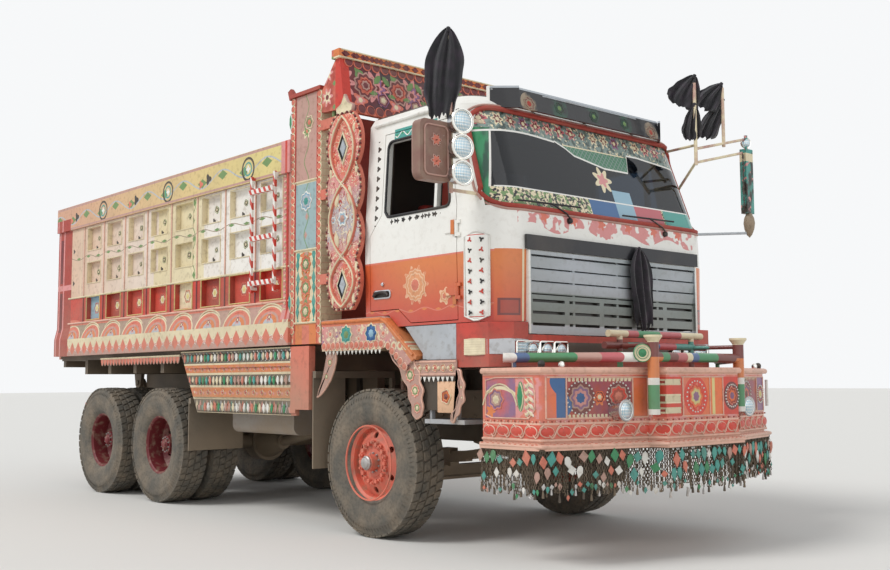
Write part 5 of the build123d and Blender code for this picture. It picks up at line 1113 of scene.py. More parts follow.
def at(x, y, z):
    """A point given from the front axle."""
    return Vector((x + FRONT_X, y, z))


def fresh():
    """Leaves edit mode and selects nothing."""
    if bpy.context.object and bpy.context.object.mode != "OBJECT":
        bpy.ops.object.mode_set(mode="OBJECT")
    bpy.ops.object.select_all(action="DESELECT")


def only(piece):
    """Selects one piece and makes it active."""
    fresh()
    piece.select_set(True)
    bpy.context.view_layer.objects.active = piece
    return piece


class Editing:
    """Edit mode on one piece, with all of it selected at the start."""

    def __init__(self, piece, kind="FACE"):
        self.piece = piece
        self.kind = kind

    def __enter__(self):
        only(self.piece)
        bpy.ops.object.mode_set(mode="EDIT")
        bpy.ops.mesh.select_mode(type=self.kind)
        bpy.ops.mesh.select_all(action="SELECT")
        return self

    def pick(self, test):
        """Selects the faces, edges or vertices that pass a test."""
        shape = bmesh.from_edit_mesh(self.piece.data)
        parts = {"FACE": shape.faces, "EDGE": shape.edges, "VERT": shape.verts}[self.kind]
        bpy.ops.mesh.select_all(action="DESELECT")
        for part in parts:
            part.select_set(bool(test(part)))
        shape.select_flush_mode()
        bmesh.update_edit_mesh(self.piece.data)

    def paint(self, index):
        """Gives the selected faces a material slot."""
        shape = bmesh.from_edit_mesh(self.piece.data)
        for face in shape.faces:
            if face.select:
                face.material_index = index
        bmesh.update_edit_mesh(self.piece.data)

    def __exit__(self, *_):
        bpy.ops.object.mode_set(mode="OBJECT")


def dressed(piece, finishes):
    """Gives a piece its materials, each face keeping its slot. A plain word means the paint of that name."""
    names = finishes.split() if isinstance(finishes, str) else finishes
    slots = [face.material_index for face in piece.data.polygons]
    piece.data.materials.clear()
    for name in names:
        piece.data.materials.append(material(name if name in FINISHES else name + "_paint"))
    for face, slot in zip(piece.data.polygons, slots):
        face.material_index = min(slot, len(names) - 1)
    return piece


def settled(piece, name, finishes, body, smooth=35):
    """Names a finished piece, puts its place in its mesh, and seats it on its body."""
    only(piece)
    bpy.ops.object.transform_apply(location=True, rotation=True, scale=True)
    piece.name = name
    piece.data.name = name
    if finishes:
        dressed(piece, finishes)
    if smooth:
        bpy.ops.object.shade_smooth_by_angle(angle=math.radians(smooth))
    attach(piece, body)
    return piece


def facing(point, normal, up=(0, 0, 1), size=1.0, turn=0.0):
    """The place of a flat piece whose face looks along normal."""
    out = Vector(normal).normalized()
    right = Vector(up).cross(out).normalized()
    rise = out.cross(right)
    spin = Matrix((right, rise, out)).transposed().to_4x4()
    wide = size if isinstance(size, tuple) else (size, size, size)
    return Matrix.Translation(point) @ spin @ Matrix.Rotation(turn, 4, "Z") @ Matrix.Diagonal((*wide, 1))


def scatter(name, template, places):
    """Copies of a template joined as one piece. A place is a matrix, or a matrix and a slot."""
    shape = bmesh.new()
    for place in places:
        matrix, slot = place if isinstance(place, tuple) else (place, None)
        copy = template.data.copy()
        copy.transform(matrix)
        first = len(shape.faces)
        shape.from_mesh(copy)
        if slot is not None:
            shape.faces.ensure_lookup_table()
            for index in range(first, len(shape.faces)):
                shape.faces[index].material_index = slot
        bpy.data.meshes.remove(copy)
    mesh = bpy.data.meshes.new(name)
    shape.to_mesh(mesh)
    shape.free()
    piece = bpy.data.objects.new(name, mesh)
    bpy.context.scene.collection.objects.link(piece)
    return piece


def merged(pieces):
    """Several pieces joined into the first."""
    only(pieces[0])
    for piece in pieces[1:]:
        piece.select_set(True)
    if len(pieces) > 1:
        bpy.ops.object.join()
    return pieces[0]


class Parts(list):
    """The forms of one piece while it is put together."""

    def add(self, form, finishes):
        self.append(dressed(form, finishes))

    def spread(self, template, places, finishes):
        """Adds copies of a template at many places."""
        self.add(scatter("copies", template, places), finishes)

    def join(self, name, body, slot, smooth=35):
        """Makes one piece of them and seats it on its body."""
        return settled(merged(self), name, None, body, smooth)


def drop(*templates):
    for template in templates:
        bpy.data.objects.remove(template)


def plate(outline, thick, bevel=0.0):
    """A flat plate of that outline, face up, from a filled circle pulled to shape."""
    fresh()
    bpy.ops.mesh.primitive_circle_add(vertices=len(outline), radius=1.0, fill_type="NGON")
    piece = bpy.context.object
    for vertex, (u, v) in zip(piece.data.vertices, outline):
        vertex.co = (u, v, 0.0)
    with Editing(piece) as work:
        bpy.ops.mesh.extrude_region_move(TRANSFORM_OT_translate={"value": (0, 0, thick)})
        bpy.ops.mesh.select_all(action="SELECT")
        bpy.ops.mesh.normals_make_consistent(inside=False)
        if bevel:
            work.pick(lambda face: face.normal.z > 0.9 and face.calc_center_median().z > thick / 2)
            bpy.ops.mesh.inset(thickness=bevel, depth=-bevel * 0.6)
    return piece


def rings(piece, steps):
    """Insets the top face in turn: width, rise and slot of each ring. Ends on the last inner face."""
    top = max(polygon.center.z for polygon in piece.data.polygons) - 1e-5
    with Editing(piece) as work:
        work.pick(lambda face: face.normal.z > 0.9 and face.calc_center_median().z > top)
        for width, rise, slot in steps:
            work.paint(slot)
            bpy.ops.mesh.inset(thickness=width, depth=rise, use_even_offset=True)
        work.paint(steps[-1][2])
    return piece


def tiers(piece, steps):
    """Steps the top face in towards the middle: share of the outline, rise and slot of each tier."""
    top = max(polygon.center.z for polygon in piece.data.polygons) - 1e-5
    reached = 1.0
    with Editing(piece) as work:
        work.pick(lambda face: face.normal.z > 0.9 and face.calc_center_median().z > top)
        for share, rise, slot in steps:
            bpy.ops.mesh.extrude_region_move(TRANSFORM_OT_translate={"value": (0, 0, rise)})
            scale = share / reached
            bpy.ops.transform.resize(value=(scale, scale, 1), center_override=(0, 0, 0))
            reached = share
            bpy.ops.mesh.select_more()
            work.paint(slot)
            bpy.ops.mesh.select_less()
    return piece


def polar(radius, count, shape=lambda _: 1.0):
    """Outline points round a middle, with the radius shaped by angle."""
    turns = [2 * math.pi * index / count for index in range(count)]
    return [(radius * shape(a) * math.cos(a), radius * shape(a) * math.sin(a)) for a in turns]


def petals(count, depth=0.22):
    return lambda angle: 1 - depth + depth * math.cos(count * angle)


def mirrored(half):
    """An outline from the points of its right half, bottom to top."""
    return half + [(-u, v) for u, v in reversed(half) if abs(u) > 1e-6]


def rhombus(wide, high):
    return [(wide, 0), (0, high), (-wide, 0), (0, -high)]


def lathe(profile, steps, centre, axis):
    """A turned form: the profile's points are (along the axis, radius)."""
    axis = Vector(axis)
    side = Vector((0, 0, 1)) if abs(axis.z) < 0.5 else Vector((1, 0, 0))
    centre = Vector(centre)
    mesh = bpy.data.meshes.new("turned")
    points = [centre + axis * run + side * radius for run, radius in profile]
    mesh.from_pydata(points, [(i, i + 1) for i in range(len(points) - 1)], [])
    piece = bpy.data.objects.new("turned", mesh)
    bpy.context.scene.collection.objects.link(piece)
    with Editing(piece, "VERT"):
        bpy.ops.mesh.spin(steps=steps, angle=2 * math.pi, center=centre, axis=axis)
        bpy.ops.mesh.select_all(action="SELECT")
        bpy.ops.mesh.remove_doubles(threshold=0.0001)
        bpy.ops.mesh.normals_make_consistent(inside=False)
    return piece


def tube(points, radius, sides=2, closed=False, order=None):
    """A round bar along points, as a mesh."""
    curve = bpy.data.curves.new("bar", "CURVE")
    curve.dimensions = "3D"
    curve.bevel_depth = radius
    curve.bevel_resolution = sides
    curve.use_fill_caps = True
    spline = curve.splines.new("NURBS" if order else "POLY")
    spline.points.add(len(points) - 1)
    for spot, point in zip(spline.points, points):
        spot.co = (*point, 1.0)
    spline.use_cyclic_u = closed
    if order:
        spline.order_u = order
        spline.use_endpoint_u = not closed
    piece = bpy.data.objects.new("bar", curve)
    bpy.context.scene.collection.objects.link(piece)
    only(piece)
    bpy.ops.object.convert(target="MESH")
    return bpy.context.object


def cuboid(low, high, bevel=0.0, segments=2):
    """A box between two corners with its edges eased."""
    fresh()
    low, high = Vector(low), Vector(high)
    bpy.ops.mesh.primitive_cube_add(size=1.0, location=(low + high) / 2)
    piece = bpy.context.object
    piece.scale = [abs(v) for v in high - low]
    bpy.ops.object.transform_apply(location=True, rotation=True, scale=True)
    if bevel:
        with Editing(piece, "EDGE"):
            bpy.ops.mesh.bevel(offset=bevel, segments=segments, affect="EDGES")
    return piece


def bead(radius=1.0, rows=5, turns=8):
    fresh()
    bpy.ops.mesh.primitive_uv_sphere_add(segments=turns, ring_count=rows, radius=radius)
    return bpy.context.object


def along(points, pitch):
    """Evenly spaced places along a line of points, each with the way of its run."""
    spots = []
    left = pitch / 2
    for start, end in zip(points[:-1], points[1:]):
        start, end = Vector(start), Vector(end)
        run = (end - start).length
        way = (end - start).normalized()
        while left < run:
            spots.append((start + way * left, way))
            left += pitch
        left -= run
    return spots


# Wheels
TREAD_ROWS = ((-0.098, 0.060), (-0.034, 0.052), (0.034, 0.052), (0.098, 0.060))
TREAD_COUNT = 46
WALL_RIBS = 92


def tread_block(across, around, depth):
    """One tread block with eased sides, standing on z 0."""
    lean = 0.16 * around
    outline = [(-across / 2, -around / 2 - lean), (across / 2, -around / 2 + lean)]
    outline += [(across / 2, around / 2 + lean), (-across / 2, around / 2 - lean)]
    block = plate(outline, depth)
    return rings(block, [(0.004, 0.003, 0)])


def tyre(name, centre, body, seed):
    """Tyre turned from its section, with rows of tread blocks and ribbed shoulders."""
    rand = random.Random(seed)
    half = TYRE_W / 2
    groove = TYRE_R - sizes().tread_depth
    section = [
        (-half * 0.70, RIM_R - 0.006),
        (-half * 0.80, RIM_R + 0.012),
        (-half * 0.88, RIM_R + 0.030),
        (-half * 0.90, RIM_R + 0.052),
        (-half * 0.955, RIM_R + 0.074),
        (-half * 0.985, RIM_R + 0.100),
        (-half * 0.998, RIM_R + 0.128),
        (-half * 0.975, RIM_R + 0.146),
        (-half * 0.990, RIM_R + 0.152),
        (-half * 0.985, RIM_R + 0.170),
        (-half * 0.955, TYRE_R - 0.078),
        (-half * 0.935, TYRE_R - 0.060),
        (-half * 0.86, TYRE_R - 0.034),
        (-half * 0.84, groove - 0.004),
        (-half * 0.60, groove + 0.002),
    ]
    section += [(0.0, groove + 0.004)] + [(-a, r) for a, r in reversed(section)]
    axis = Vector((0, 1, 0))
    centre = Vector(centre)
    carcass = lathe(section, 72, centre, axis)
    wide = 2 * math.pi * TYRE_R / TREAD_COUNT
    blocks = []
    for across, width in TREAD_ROWS:
        block = tread_block(width, wide * 0.80, sizes().tread_depth - 0.003)
        phase = 0.5 if abs(across) < 0.06 and across > 0 else 0.0
        drop_in = 0.004 if abs(across) > 0.06 else 0.0
        places = []
        for index in range(TREAD_COUNT):
            angle = 2 * math.pi * (index + phase) / TREAD_COUNT
            out = Vector((math.cos(angle), 0, math.sin(angle)))
            spot = centre + axis * across + out * (groove - drop_in)
            wear = 1.0 - rand.random() * 0.06
            places.append(facing(spot, out, up=axis.cross(out), size=(1, 1, wear)))
        blocks.append(scatter("tread", block, places))
        drop(block)
    rib = cuboid((-0.003, -0.020, 0), (0.003, 0.020, 0.004), 0.0015, 1)
    places = []
    for side in (-1, 1):
        for index in range(WALL_RIBS):
            angle = 2 * math.pi * index / WALL_RIBS
            out = Vector((math.cos(angle), 0, math.sin(angle)))
            spot = centre + axis * side * half * 0.925 + out * (TYRE_R - 0.058)
            normal = axis * side * 0.86 + out * 0.51
            places.append(facing(spot, normal, up=out))
    blocks.append(scatter("ribs", rib, places))
    drop(rib)
    piece = merged([carcass] + blocks)
    return settled(piece, name, "tyre_rubber", body)


def all_tyres():
    """Every road wheel's tyre, front single and rear twin."""
    made = []
    for side in SIDES:
        low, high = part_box("front_tyre_" + side)
        centre = ((low[0] + high[0]) / 2, (low[1] + high[1]) / 2, AXLE_Z)
        piece = tyre("front_tyre_carved_" + side, centre, "wheel_front_" + side, len(made))
        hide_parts("front_tyre_" + side)
        made.append(piece)
        for axle in (1, 2):
            node = f"rear_tyres_{side}_{axle}"
            low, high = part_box(node)
            middle_x = (low[0] + high[0]) / 2
            pair = []
            for y in (low[1] + TYRE_W / 2, high[1] - TYRE_W / 2):
                centre = (middle_x, y, AXLE_Z)
                pair.append(
                    tyre(f"{node}_carved_{len(pair)}", centre, f"wheel_rear_{side}_{axle}", len(made))
                )
                made.append(pair[-1])
            twin = merged(pair)
            twin.name = node + "_carved"
            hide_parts(node)


# Places on the truck's own surfaces
def touch(nodes, start, way):
    """Where a line from start first meets one of these nodes, with the surface's normal."""
    best = None
    way = Vector(way).normalized()
    for nudge in (0.0, 0.0006, -0.0009, 0.0017):
        origin = Vector(start) + Vector((nudge, -nudge, nudge)) - way * way.dot(
            Vector((nudge, -nudge, nudge))
        )
        for name in [nodes] if isinstance(nodes, str) else nodes:
            found, spot, normal, _ = NODES[name].ray_cast(origin, way)
            if found and (best is None or (spot - origin).length < (best[0] - origin).length):
                best = (spot, normal)
        if best:
            break
    return best


def on_front(y, z, nodes=("cab_front", "windscreen", "cab_sides", "cab_roof")):
    """The cab's front surface at a height and a distance from the middle."""
    return touch(nodes, at(AHEAD_X, y, z), (-1, 0, 0))


def curve_points(corners, radius, steps=6):
    """A closed outline with its corners rounded by arcs."""
    made = []
    count = len(corners)
    for index, corner in enumerate(corners):
        before = Vector((*corners[index - 1], 0))
        here = Vector((*corner, 0))
        after = Vector((*corners[(index + 1) % count], 0))
        size = radius[index] if isinstance(radius, (list, tuple)) else radius
        first = here + (before - here).normalized() * size
        last = here + (after - here).normalized() * size
        for step in range(steps + 1):
            t = step / steps
            point = first * (1 - t) ** 2 + here * 2 * t * (1 - t) + last * t**2
            made.append((point.x, point.y))
    return made


# Chain fringe
BUMPER_PLAN = ((1.300, -1.240), (1.820, -1.240), (2.020, -0.450), (2.140, -0.405))
FRINGE_TOP = 0.722
STRAND_PITCH = 0.0148
PENDANT_SHADES = "teal coral white green rose steel_trim"


def bumper_line(grow, z):
    """Points along the bumper's plan from the right rear corner to the left, moved out by grow."""
    right = [(x + (grow if index else 0.0), y - grow * 0.9) for index, (x, y) in enumerate(BUMPER_PLAN)]
    left = [(x, -y) for x, y in reversed(right)]
    return [at(x, y, z) for x, y in right + left]


def chain_template(links):
    """A short hanging chain of flattened rings, its top at the origin."""
    size = sizes().link
    fresh()
    bpy.ops.mesh.primitive_torus_add(
        major_segments=6, minor_segments=3, major_radius=size * 0.42, minor_radius=size * 0.18
    )
    ring = bpy.context.object
    ring.scale = (0.62, 1.0, 1.0)
    ring.rotation_euler = (math.pi / 2, 0, 0)
    bpy.ops.object.transform_apply(location=False, rotation=True, scale=True)
    places = []
    for index in range(links):
        drop_by = -size * (0.45 + 0.82 * index)
        places.append(
            Matrix.Translation((0, 0, drop_by)) @ Matrix.Rotation(math.pi / 2 * (index % 2), 4, "Z")
        )
    chain = scatter("chain", ring, places)
    drop(ring)
    return chain


def pendant_template(outline, thick=0.004):
    """An enamelled leaf with a raised rim on its top face."""
    leaf = plate(outline, thick)
    rings(leaf, [(0.0035, 0.0015, 0), (0.002, -0.0015, 0), (0.010, 0.002, 0)])
    return leaf


def tassel_template():
    """A small bound tassel of dark cord."""
    profile = [(0.0, 0.001), (-0.006, 0.006), (-0.014, 0.007), (-0.018, 0.004)]
    profile += [(-0.050, 0.010), (-0.085, 0.013), (-0.088, 0.001)]
    return lathe(profile, 7, (0, 0, 0), (0, 0, 1))


def chain_fringe():
    """Curtain of hanging chains with enamelled diamonds and leaves under the bumper."""
    rand = random.Random(7)
    line = bumper_line(0.019, FRINGE_TOP)
    strands = along(line, STRAND_PITCH)
    templates = [chain_template(count) for count in (11, 12, 13)]
    tassel = tassel_template()
    diamond = pendant_template(rhombus(0.024, 0.034))
    drop_leaf = pendant_template(mirrored([(0.0, -0.040), (0.020, -0.006), (0.014, 0.018), (0, 0.026)]))
    square = pendant_template(polar(0.026, 8, petals(4, 0.16)))
    leaves = [diamond, drop_leaf, square]
    hung = {index: [] for index in range(3)}
    tassels = []
    enamel = {index: [] for index in range(3)}
    for number, (spot, way) in enumerate(strands):
        face = way.cross(Vector((0, 0, 1))).normalized()
        lean = Matrix.Rotation(rand.uniform(-0.05, 0.05), 4, way)
        spin = Matrix.Rotation(rand.uniform(0, 3.1), 4, "Z")
        kind = rand.randrange(3)
        hung[kind].append(Matrix.Translation(spot) @ lean @ spin)
        if number % 4 == 0:
            depth = rand.uniform(0.20, 0.26)
            shift = Matrix.Translation(spot + face * 0.006 - Vector((0, 0, depth)))
            tassels.append((shift @ Matrix.Scale(0.72, 4), number % 3))
        rows = ((0.040, 0.085, 4), (0.120, 0.180, 4), (0.205, 0.290, 2))
        for row, (high, low, every) in enumerate(rows):
            if (number + 2 * row) % every or rand.random() < 0.16:
                continue
            fall = rand.uniform(high, low)
            size = rand.uniform(0.90, 1.45) * (1.05, 1.0, 0.50)[row]
            shade = rand.choice((0, 0, 0, 1, 1, 2, 2, 3, 4)) if row < 2 else rand.choice(
                (0, 0, 1, 3, 4, 5, 5, 2)
            )
            place = facing(
                spot + face * 0.012 - Vector((0, 0, fall)), face, size=size, turn=rand.uniform(-0.25, 0.25)
            )
            enamel[rand.randrange(3)].append((place, shade))
    chains = merged([scatter("chains", templates[k], hung[k]) for k in range(3)])
    knots = dressed(scatter("tassels", tassel, tassels), "chain_iron steel_trim steel")
    loops = tube(line, 0.008, 1)
    chains = merged([dressed(chains, "chain_iron"), knots, dressed(loops, "chain_iron")])
    pendants = merged(
        [dressed(scatter("pendants", leaves[k], enamel[k]), PENDANT_SHADES) for k in range(3)]
    )
    drop(*templates, tassel, *leaves)
    settled(chains, "fringe_chains", None, "truck", 40)
    settled(pendants, "fringe_pendants", None, "truck", 40)
    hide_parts("bumper_fringe")


# Carved board
BOARD_X = -0.200
BOARD_FACE = 1.270
LOZENGE_Z = (1.880, 2.940)
CROSS_Z = (2.100, 2.660)
BOARD_LOBES = ((1.690, 0.110, 0.215), (2.080, 0.165, 0.230), (2.440, 0.165, 0.230), (2.800, 0.165, 0.225))
BOARD_TOP = (3.225, 0.090)
LOBE_STEPS = 8


def arc_through(start, middle, end, steps):
    """Points along the circle through three points."""
    ax, ay = start
    bx, by = middle
    cx, cy = end
    d = 2 * (ax * (by - cy) + bx * (cy - ay) + cx * (ay - by))
    a, b, c = (u * u + v * v for u, v in (start, middle, end))
    ux = (a * (by - cy) + b * (cy - ay) + c * (ay - by)) / d
    uy = (a * (cx - bx) + b * (ax - cx) + c * (bx - ax)) / d
    first = math.atan2(ay - uy, ax - ux)
    last = math.atan2(cy - uy, cx - ux)
    radius = math.hypot(ax - ux, ay - uy)
    turns = [first + (last - first) * k / steps for k in range(steps + 1)]
    return [(ux + radius * math.cos(turn), uy + radius * math.sin(turn)) for turn in turns]


def board_outline(inset=0.0):
    """The board's edge as points (x from its middle, z): four swelling lobes a side."""
    stops = [*BOARD_LOBES, (*BOARD_TOP, 0.0)]
    right = []
    for (low, narrow, swell), (high, narrow_above, _) in zip(stops[:-1], stops[1:]):
        right += arc_through((narrow, low), (swell, (low + high) / 2), (narrow_above, high), LOBE_STEPS)[
            :-1
        ]
    right.append((BOARD_TOP[1], BOARD_TOP[0]))
    shifted = []
    for u, z in right:
        lift = inset if z < 1.70 else (-inset if z > 3.21 else 0.0)
        shifted.append((u - inset, z + lift))
    return mirrored(shifted)


def carved_board(side, sign):
    """Relief of crossed ribs, lozenges and leaves on a side board."""
    out = Vector((0, sign, 0))

    def spot(u, z, lift=0.0):
        return at(BOARD_X - sign * u, sign * (BOARD_FACE + lift), z)

    base_place = facing(at(BOARD_X, sign * (BOARD_FACE - 0.001), 0), out)
    face = plate(board_outline(0.012), 0.006)
    rings(face, [(0.007, 0.0, 1), (0.005, 0.003, 0)])
    parts = Parts([scatter("face", face, [base_place])])
    drop(face)
    dressed(parts[0], "carved maroon")
    # Crossed ribs
    spans = ((1.715, CROSS_Z[0], 0.150), (CROSS_Z[0], CROSS_Z[1], 0.165), (CROSS_Z[1], 3.190, 0.150))
    for swing in (-1, 1):
        points = []
        for index, (low, high, reach) in enumerate(spans):
            flip = swing * (-1) ** index
            for step in range(13):
                t = step / 12
                points.append(
                    spot(flip * reach * math.sin(math.pi * t) ** 0.8, low + (high - low) * t, 0.010)
                )
        for width, shade, lift in ((0.017, "coral", 0.0), (0.007, "cream", 0.014)):
            moved = [p + out * lift for p in points]
            parts.add(tube(moved, width, 2), shade)
    # Lozenges with a leaf in each, the sunk ring round the leaf painted black as the shade in the opening
    diamond = plate(rhombus(0.072, 0.135), 0.008)
    rings(diamond, [(0.012, 0.004, 0), (0.003, -0.010, 1), (0.014, 0.001, 1), (0.004, 0.006, 2)])
    places = [facing(spot(0, z, 0.006), out) for z in LOZENGE_Z]
    parts.spread(diamond, places, "cream dark_trim grey")
    # Leaf lobes on both sides of the spine
    leaf = plate(
        mirrored([(0.0, -0.085), (0.030, -0.035), (0.036, 0.015), (0.020, 0.060), (0, 0.085)]), 0.006
    )
    rings(leaf, [(0.006, 0.004, 0), (0.004, -0.003, 1), (0.010, 0.004, 0)])
    places = []
    for z, turn in ((2.560, 0.10), (2.225, math.pi - 0.10)):
        for u in (-0.085, 0.085):
            places.append(facing(spot(u, z, 0.006), out, turn=turn * (1 if u > 0 else -1)))
    for z in (2.760, 3.070, 2.010, 1.775):
        for u in (-0.165, 0.165):
            places.append(facing(spot(u * (0.8 if z in (3.070, 1.775) else 1), z, 0.006), out, size=0.55))
    parts.spread(leaf, places, "cream coral")
    # Middle medallions
    flower = plate(polar(0.055, 24, petals(6, 0.16)), 0.006)
    tiers(
        flower, [(0.90, 0.003, 0), (0.74, -0.002, 0), (0.50, 0.001, 1), (0.40, 0.004, 2), (0.18, 0.002, 2)]
    )
    places = [facing(spot(0, 2.392, 0.006), out, size=1.25)]
    places += [facing(spot(0, z, 0.018), out, size=0.55) for z in CROSS_Z]
    places += [facing(spot(u, 2.392, 0.006), out, size=0.62) for u in (-0.125, 0.125)]
    parts.spread(flower, places, "white sky rose")
    # Beads along the edge
    pearl = bead(1.0, 4, 7)
    edge = board_outline(0.009)
    edge.append(edge[0])
    places = []
    for number, (point, _) in enumerate(along([(u, z, 0) for u, z in edge], 0.030)):
        scale = sizes().bead * (1.0 if number % 2 else 0.8)
        places.append(
            (Matrix.Translation(spot(point.x, point.y, 0.006)) @ Matrix.Scale(scale, 4), number % 2)
        )
    parts.spread(pearl, places, "cream maroon")
    # Crest over the board
    crest = plate(
        curve_points(
            [
                (-0.100, 3.215), (0.100, 3.215), (0.115, 3.270), (0.045, 3.300), (0.0, 3.375),
                (-0.045, 3.300), (-0.115, 3.270),
            ],
            0.016,
            3,
        ),
        0.020,
    )
    rings(crest, [(0.008, 0.004, 0), (0.005, -0.004, 1)])
    place = facing(at(BOARD_X, sign * (BOARD_FACE - 0.022), 0), out)
    parts.spread(crest, [place], "rose cream")
    drop(diamond, leaf, flower, pearl, crest)
    return parts.join("carved_board_" + side, "bed", "folk_paint", 40)


def carved_boards():
    for side, sign in SIDES.items():
        carved_board(side, sign)


# Cloths: knot from the front axle, way it hangs, way it spreads, length, width, widest place, hem, seed
VIEW_ACROSS = (0.661, 0.750, 0.0)
CLOTHS = (
    ((1.195, -1.430, 3.500), (-0.07, -0.08, -1.0), VIEW_ACROSS, 0.63, 0.27, 0.42, 0.7, 1),
    ((1.470, 0.195, 2.118), (0.0, 0.12, -1.0), (0, 1, 0), 0.62, 0.27, 0.30, 1.0, 2),
    ((1.460, 0.952, 3.560), (-0.34, -0.39, -1.0), VIEW_ACROSS, 0.28, 0.29, 0.95, 0.3, 3),
    ((1.460, 0.942, 3.330), (-0.09, -0.10, -1.0), VIEW_ACROSS, 0.30, 0.17, 0.90, 0.3, 4),
    ((1.460, 1.318, 3.560), (-0.55, -0.62, -1.0), VIEW_ACROSS, 0.26, 0.22, 0.90, 0.3, 5),
    ((1.460, 1.335, 3.430), (-0.34, -0.38, -1.0), VIEW_ACROSS, 0.36, 0.18, 0.90, 0.3, 6),
)
CLOTH_FOLDS = 6


def black_cloth(knot, way, across, length, wide, widest, hem, seed, depth=0.045):
    """A black cloth tied at its top, opening in folds to its widest place, with a ragged hem."""
    rand = random.Random(seed)
    down = Vector(way).normalized()
    across = Vector(across)
    across = (across - down * across.dot(down)).normalized()
    front = across.cross(down).normalized()
    fresh()
    bpy.ops.mesh.primitive_grid_add(x_subdivisions=48, y_subdivisions=26, size=1.0)
    piece = bpy.context.object
    phase = rand.uniform(0, 6)
    for vertex in piece.data.vertices:
        u = vertex.co.x * 2
        v = 0.5 - vertex.co.y
        opening = math.sin(min(1.0, v / widest) * math.pi / 2) ** 0.8
        closing = max(0.0, v - widest) / max(0.05, 1 - widest)
        spread = 0.14 + 0.86 * opening - 0.30 * closing**2
        edge = 0.05 * math.sin(v * 17 + phase + (2.0 if u > 0 else 0.0)) * v
        fold = math.sin(u * CLOTH_FOLDS * math.pi * 0.5 + phase + 0.7 * math.sin(v * 4))
        fold += 0.35 * math.sin(u * 13.0 + v * 3.0 + phase)
        tails = 0.15 * max(0.0, 1 - abs(u - 0.15) * 3.2) * v**4
        ragged = (0.05 * math.sin(u * 9 + phase) + 0.03 * math.sin(u * 23 + phase)) * v**3
        side_way = u * wide / 2 * (spread + edge * abs(u)) * 0.96
        deep = fold * depth / 2 * (0.2 + 0.8 * spread) * 0.75
        fall = v * length * (1.0 - 0.10 * u * u * v + hem * (ragged - tails))
        vertex.co = at(*knot) + across * side_way + front * deep + down * fall
    only(piece)
    solid = piece.modifiers.new("thickness", "SOLIDIFY")
    solid.thickness = sizes().cloth
    solid.offset = 0
    bpy.ops.object.modifier_apply(modifier="thickness")
    return piece


def tie_knot(knot, way):
    """The bound top of a cloth."""
    down = Vector(way).normalized()
    profile = [
        (-0.012, 0.004), (-0.006, 0.014), (0.006, 0.017), (0.016, 0.012), (0.022, 0.014), (0.030, 0.003)
    ]
    return lathe(profile, 12, at(*knot), down)


def black_cloths():
    """Six tied cloths on the masts, the roof edge and the grille band."""
    cloths, knots = [], []
    for number, entry in enumerate(CLOTHS):
        knot, way, _, length = entry[:4]
        piece = black_cloth(*entry)
        settled(piece, f"cloth_{number + 1}", "cloth_weave", "truck", 60)
        cloths.append(piece)
        knots.append(tie_knot(knot, way))
    band = settled(merged(knots), "cloth_ties", "cloth_weave", "truck", 50)
    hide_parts("black_cloths")
    return band


# Cab trim
SCREEN_CORNERS = ((-1.168, 2.320), (1.168, 2.320), (1.124, 3.044), (-1.124, 3.044))
DOOR_WINDOW = ((0.950, 2.365), (0.865, 2.915), (0.245, 2.915), (0.245, 2.365))
CORNER_MIDDLE = (1.120, 0.915)
CORNER_R = 0.300


def closed_line(outline, pitch):
    """Evenly spaced points round a closed outline."""
    line = [(u, v, 0) for u, v in outline]
    return [(point.x, point.y) for point, _ in along(line + [line[0]], pitch)]


def on_side(x, z, sign, nodes=("door_right", "door_left", "cab_sides", "cab_front", "cab_roof")):
    """The truck's side surface at a station and a height."""
    return touch(nodes, at(x, sign * OUTSIDE_Y, z), (0, -sign, 0))


def laid(points, find, lift):
    """A line laid on a surface, lifted off it."""
    hits = [find(*point) for point in points]
    return [spot + normal * lift for spot, normal in (hit for hit in hits if hit)]


def grown_corners(corners, by):
    """A four cornered outline moved out by a distance."""
    middle_u = sum(u for u, _ in corners) / 4
    middle_v = sum(v for _, v in corners) / 4
    return [(u + math.copysign(by, u - middle_u), v + math.copysign(by, v - middle_v)) for u, v in corners]


def screen_seal():
    """Rose rubber round the windscreen with a pale outer edge, and two parked wipers."""
    seal_line = closed_line(curve_points(SCREEN_CORNERS, 0.15, 8), 0.03)
    seal = dressed(tube(laid(seal_line, on_front, 0.004), 0.018, 2, closed=True), "brick")
    edge_line = closed_line(curve_points(grown_corners(SCREEN_CORNERS, 0.022), 0.16, 8), 0.03)
    edge = dressed(tube(laid(edge_line, on_front, 0.003), 0.009, 2, closed=True), "rose")
    parts = Parts([seal, edge])
    for low, high, foot in ((-0.98, -0.36, -0.50), (0.10, 0.72, 0.58)):
        blade = laid(
            [(low + (high - low) * t / 8, 2.352 + 0.012 * t / 8) for t in range(9)], on_front, 0.030
        )
        arm = laid([(foot, 2.262), (foot - 0.04, 2.30)], on_front, 0.024) + [
            blade[4] + Vector((0.008, 0, 0))
        ]
        parts.add(tube(blade, 0.007, 1), "dark_trim")
        parts.add(tube(arm, 0.006, 1), "dark_trim")
        spot, normal = on_front(foot, 2.262)
        hub = lathe([(0, 0.022), (0.020, 0.020), (0.028, 0.010), (0.029, TIP_R)], 12, spot, normal)
        parts.add(hub, "dark_trim")
    return parts.join("screen_seal", "truck", "dark_trim")


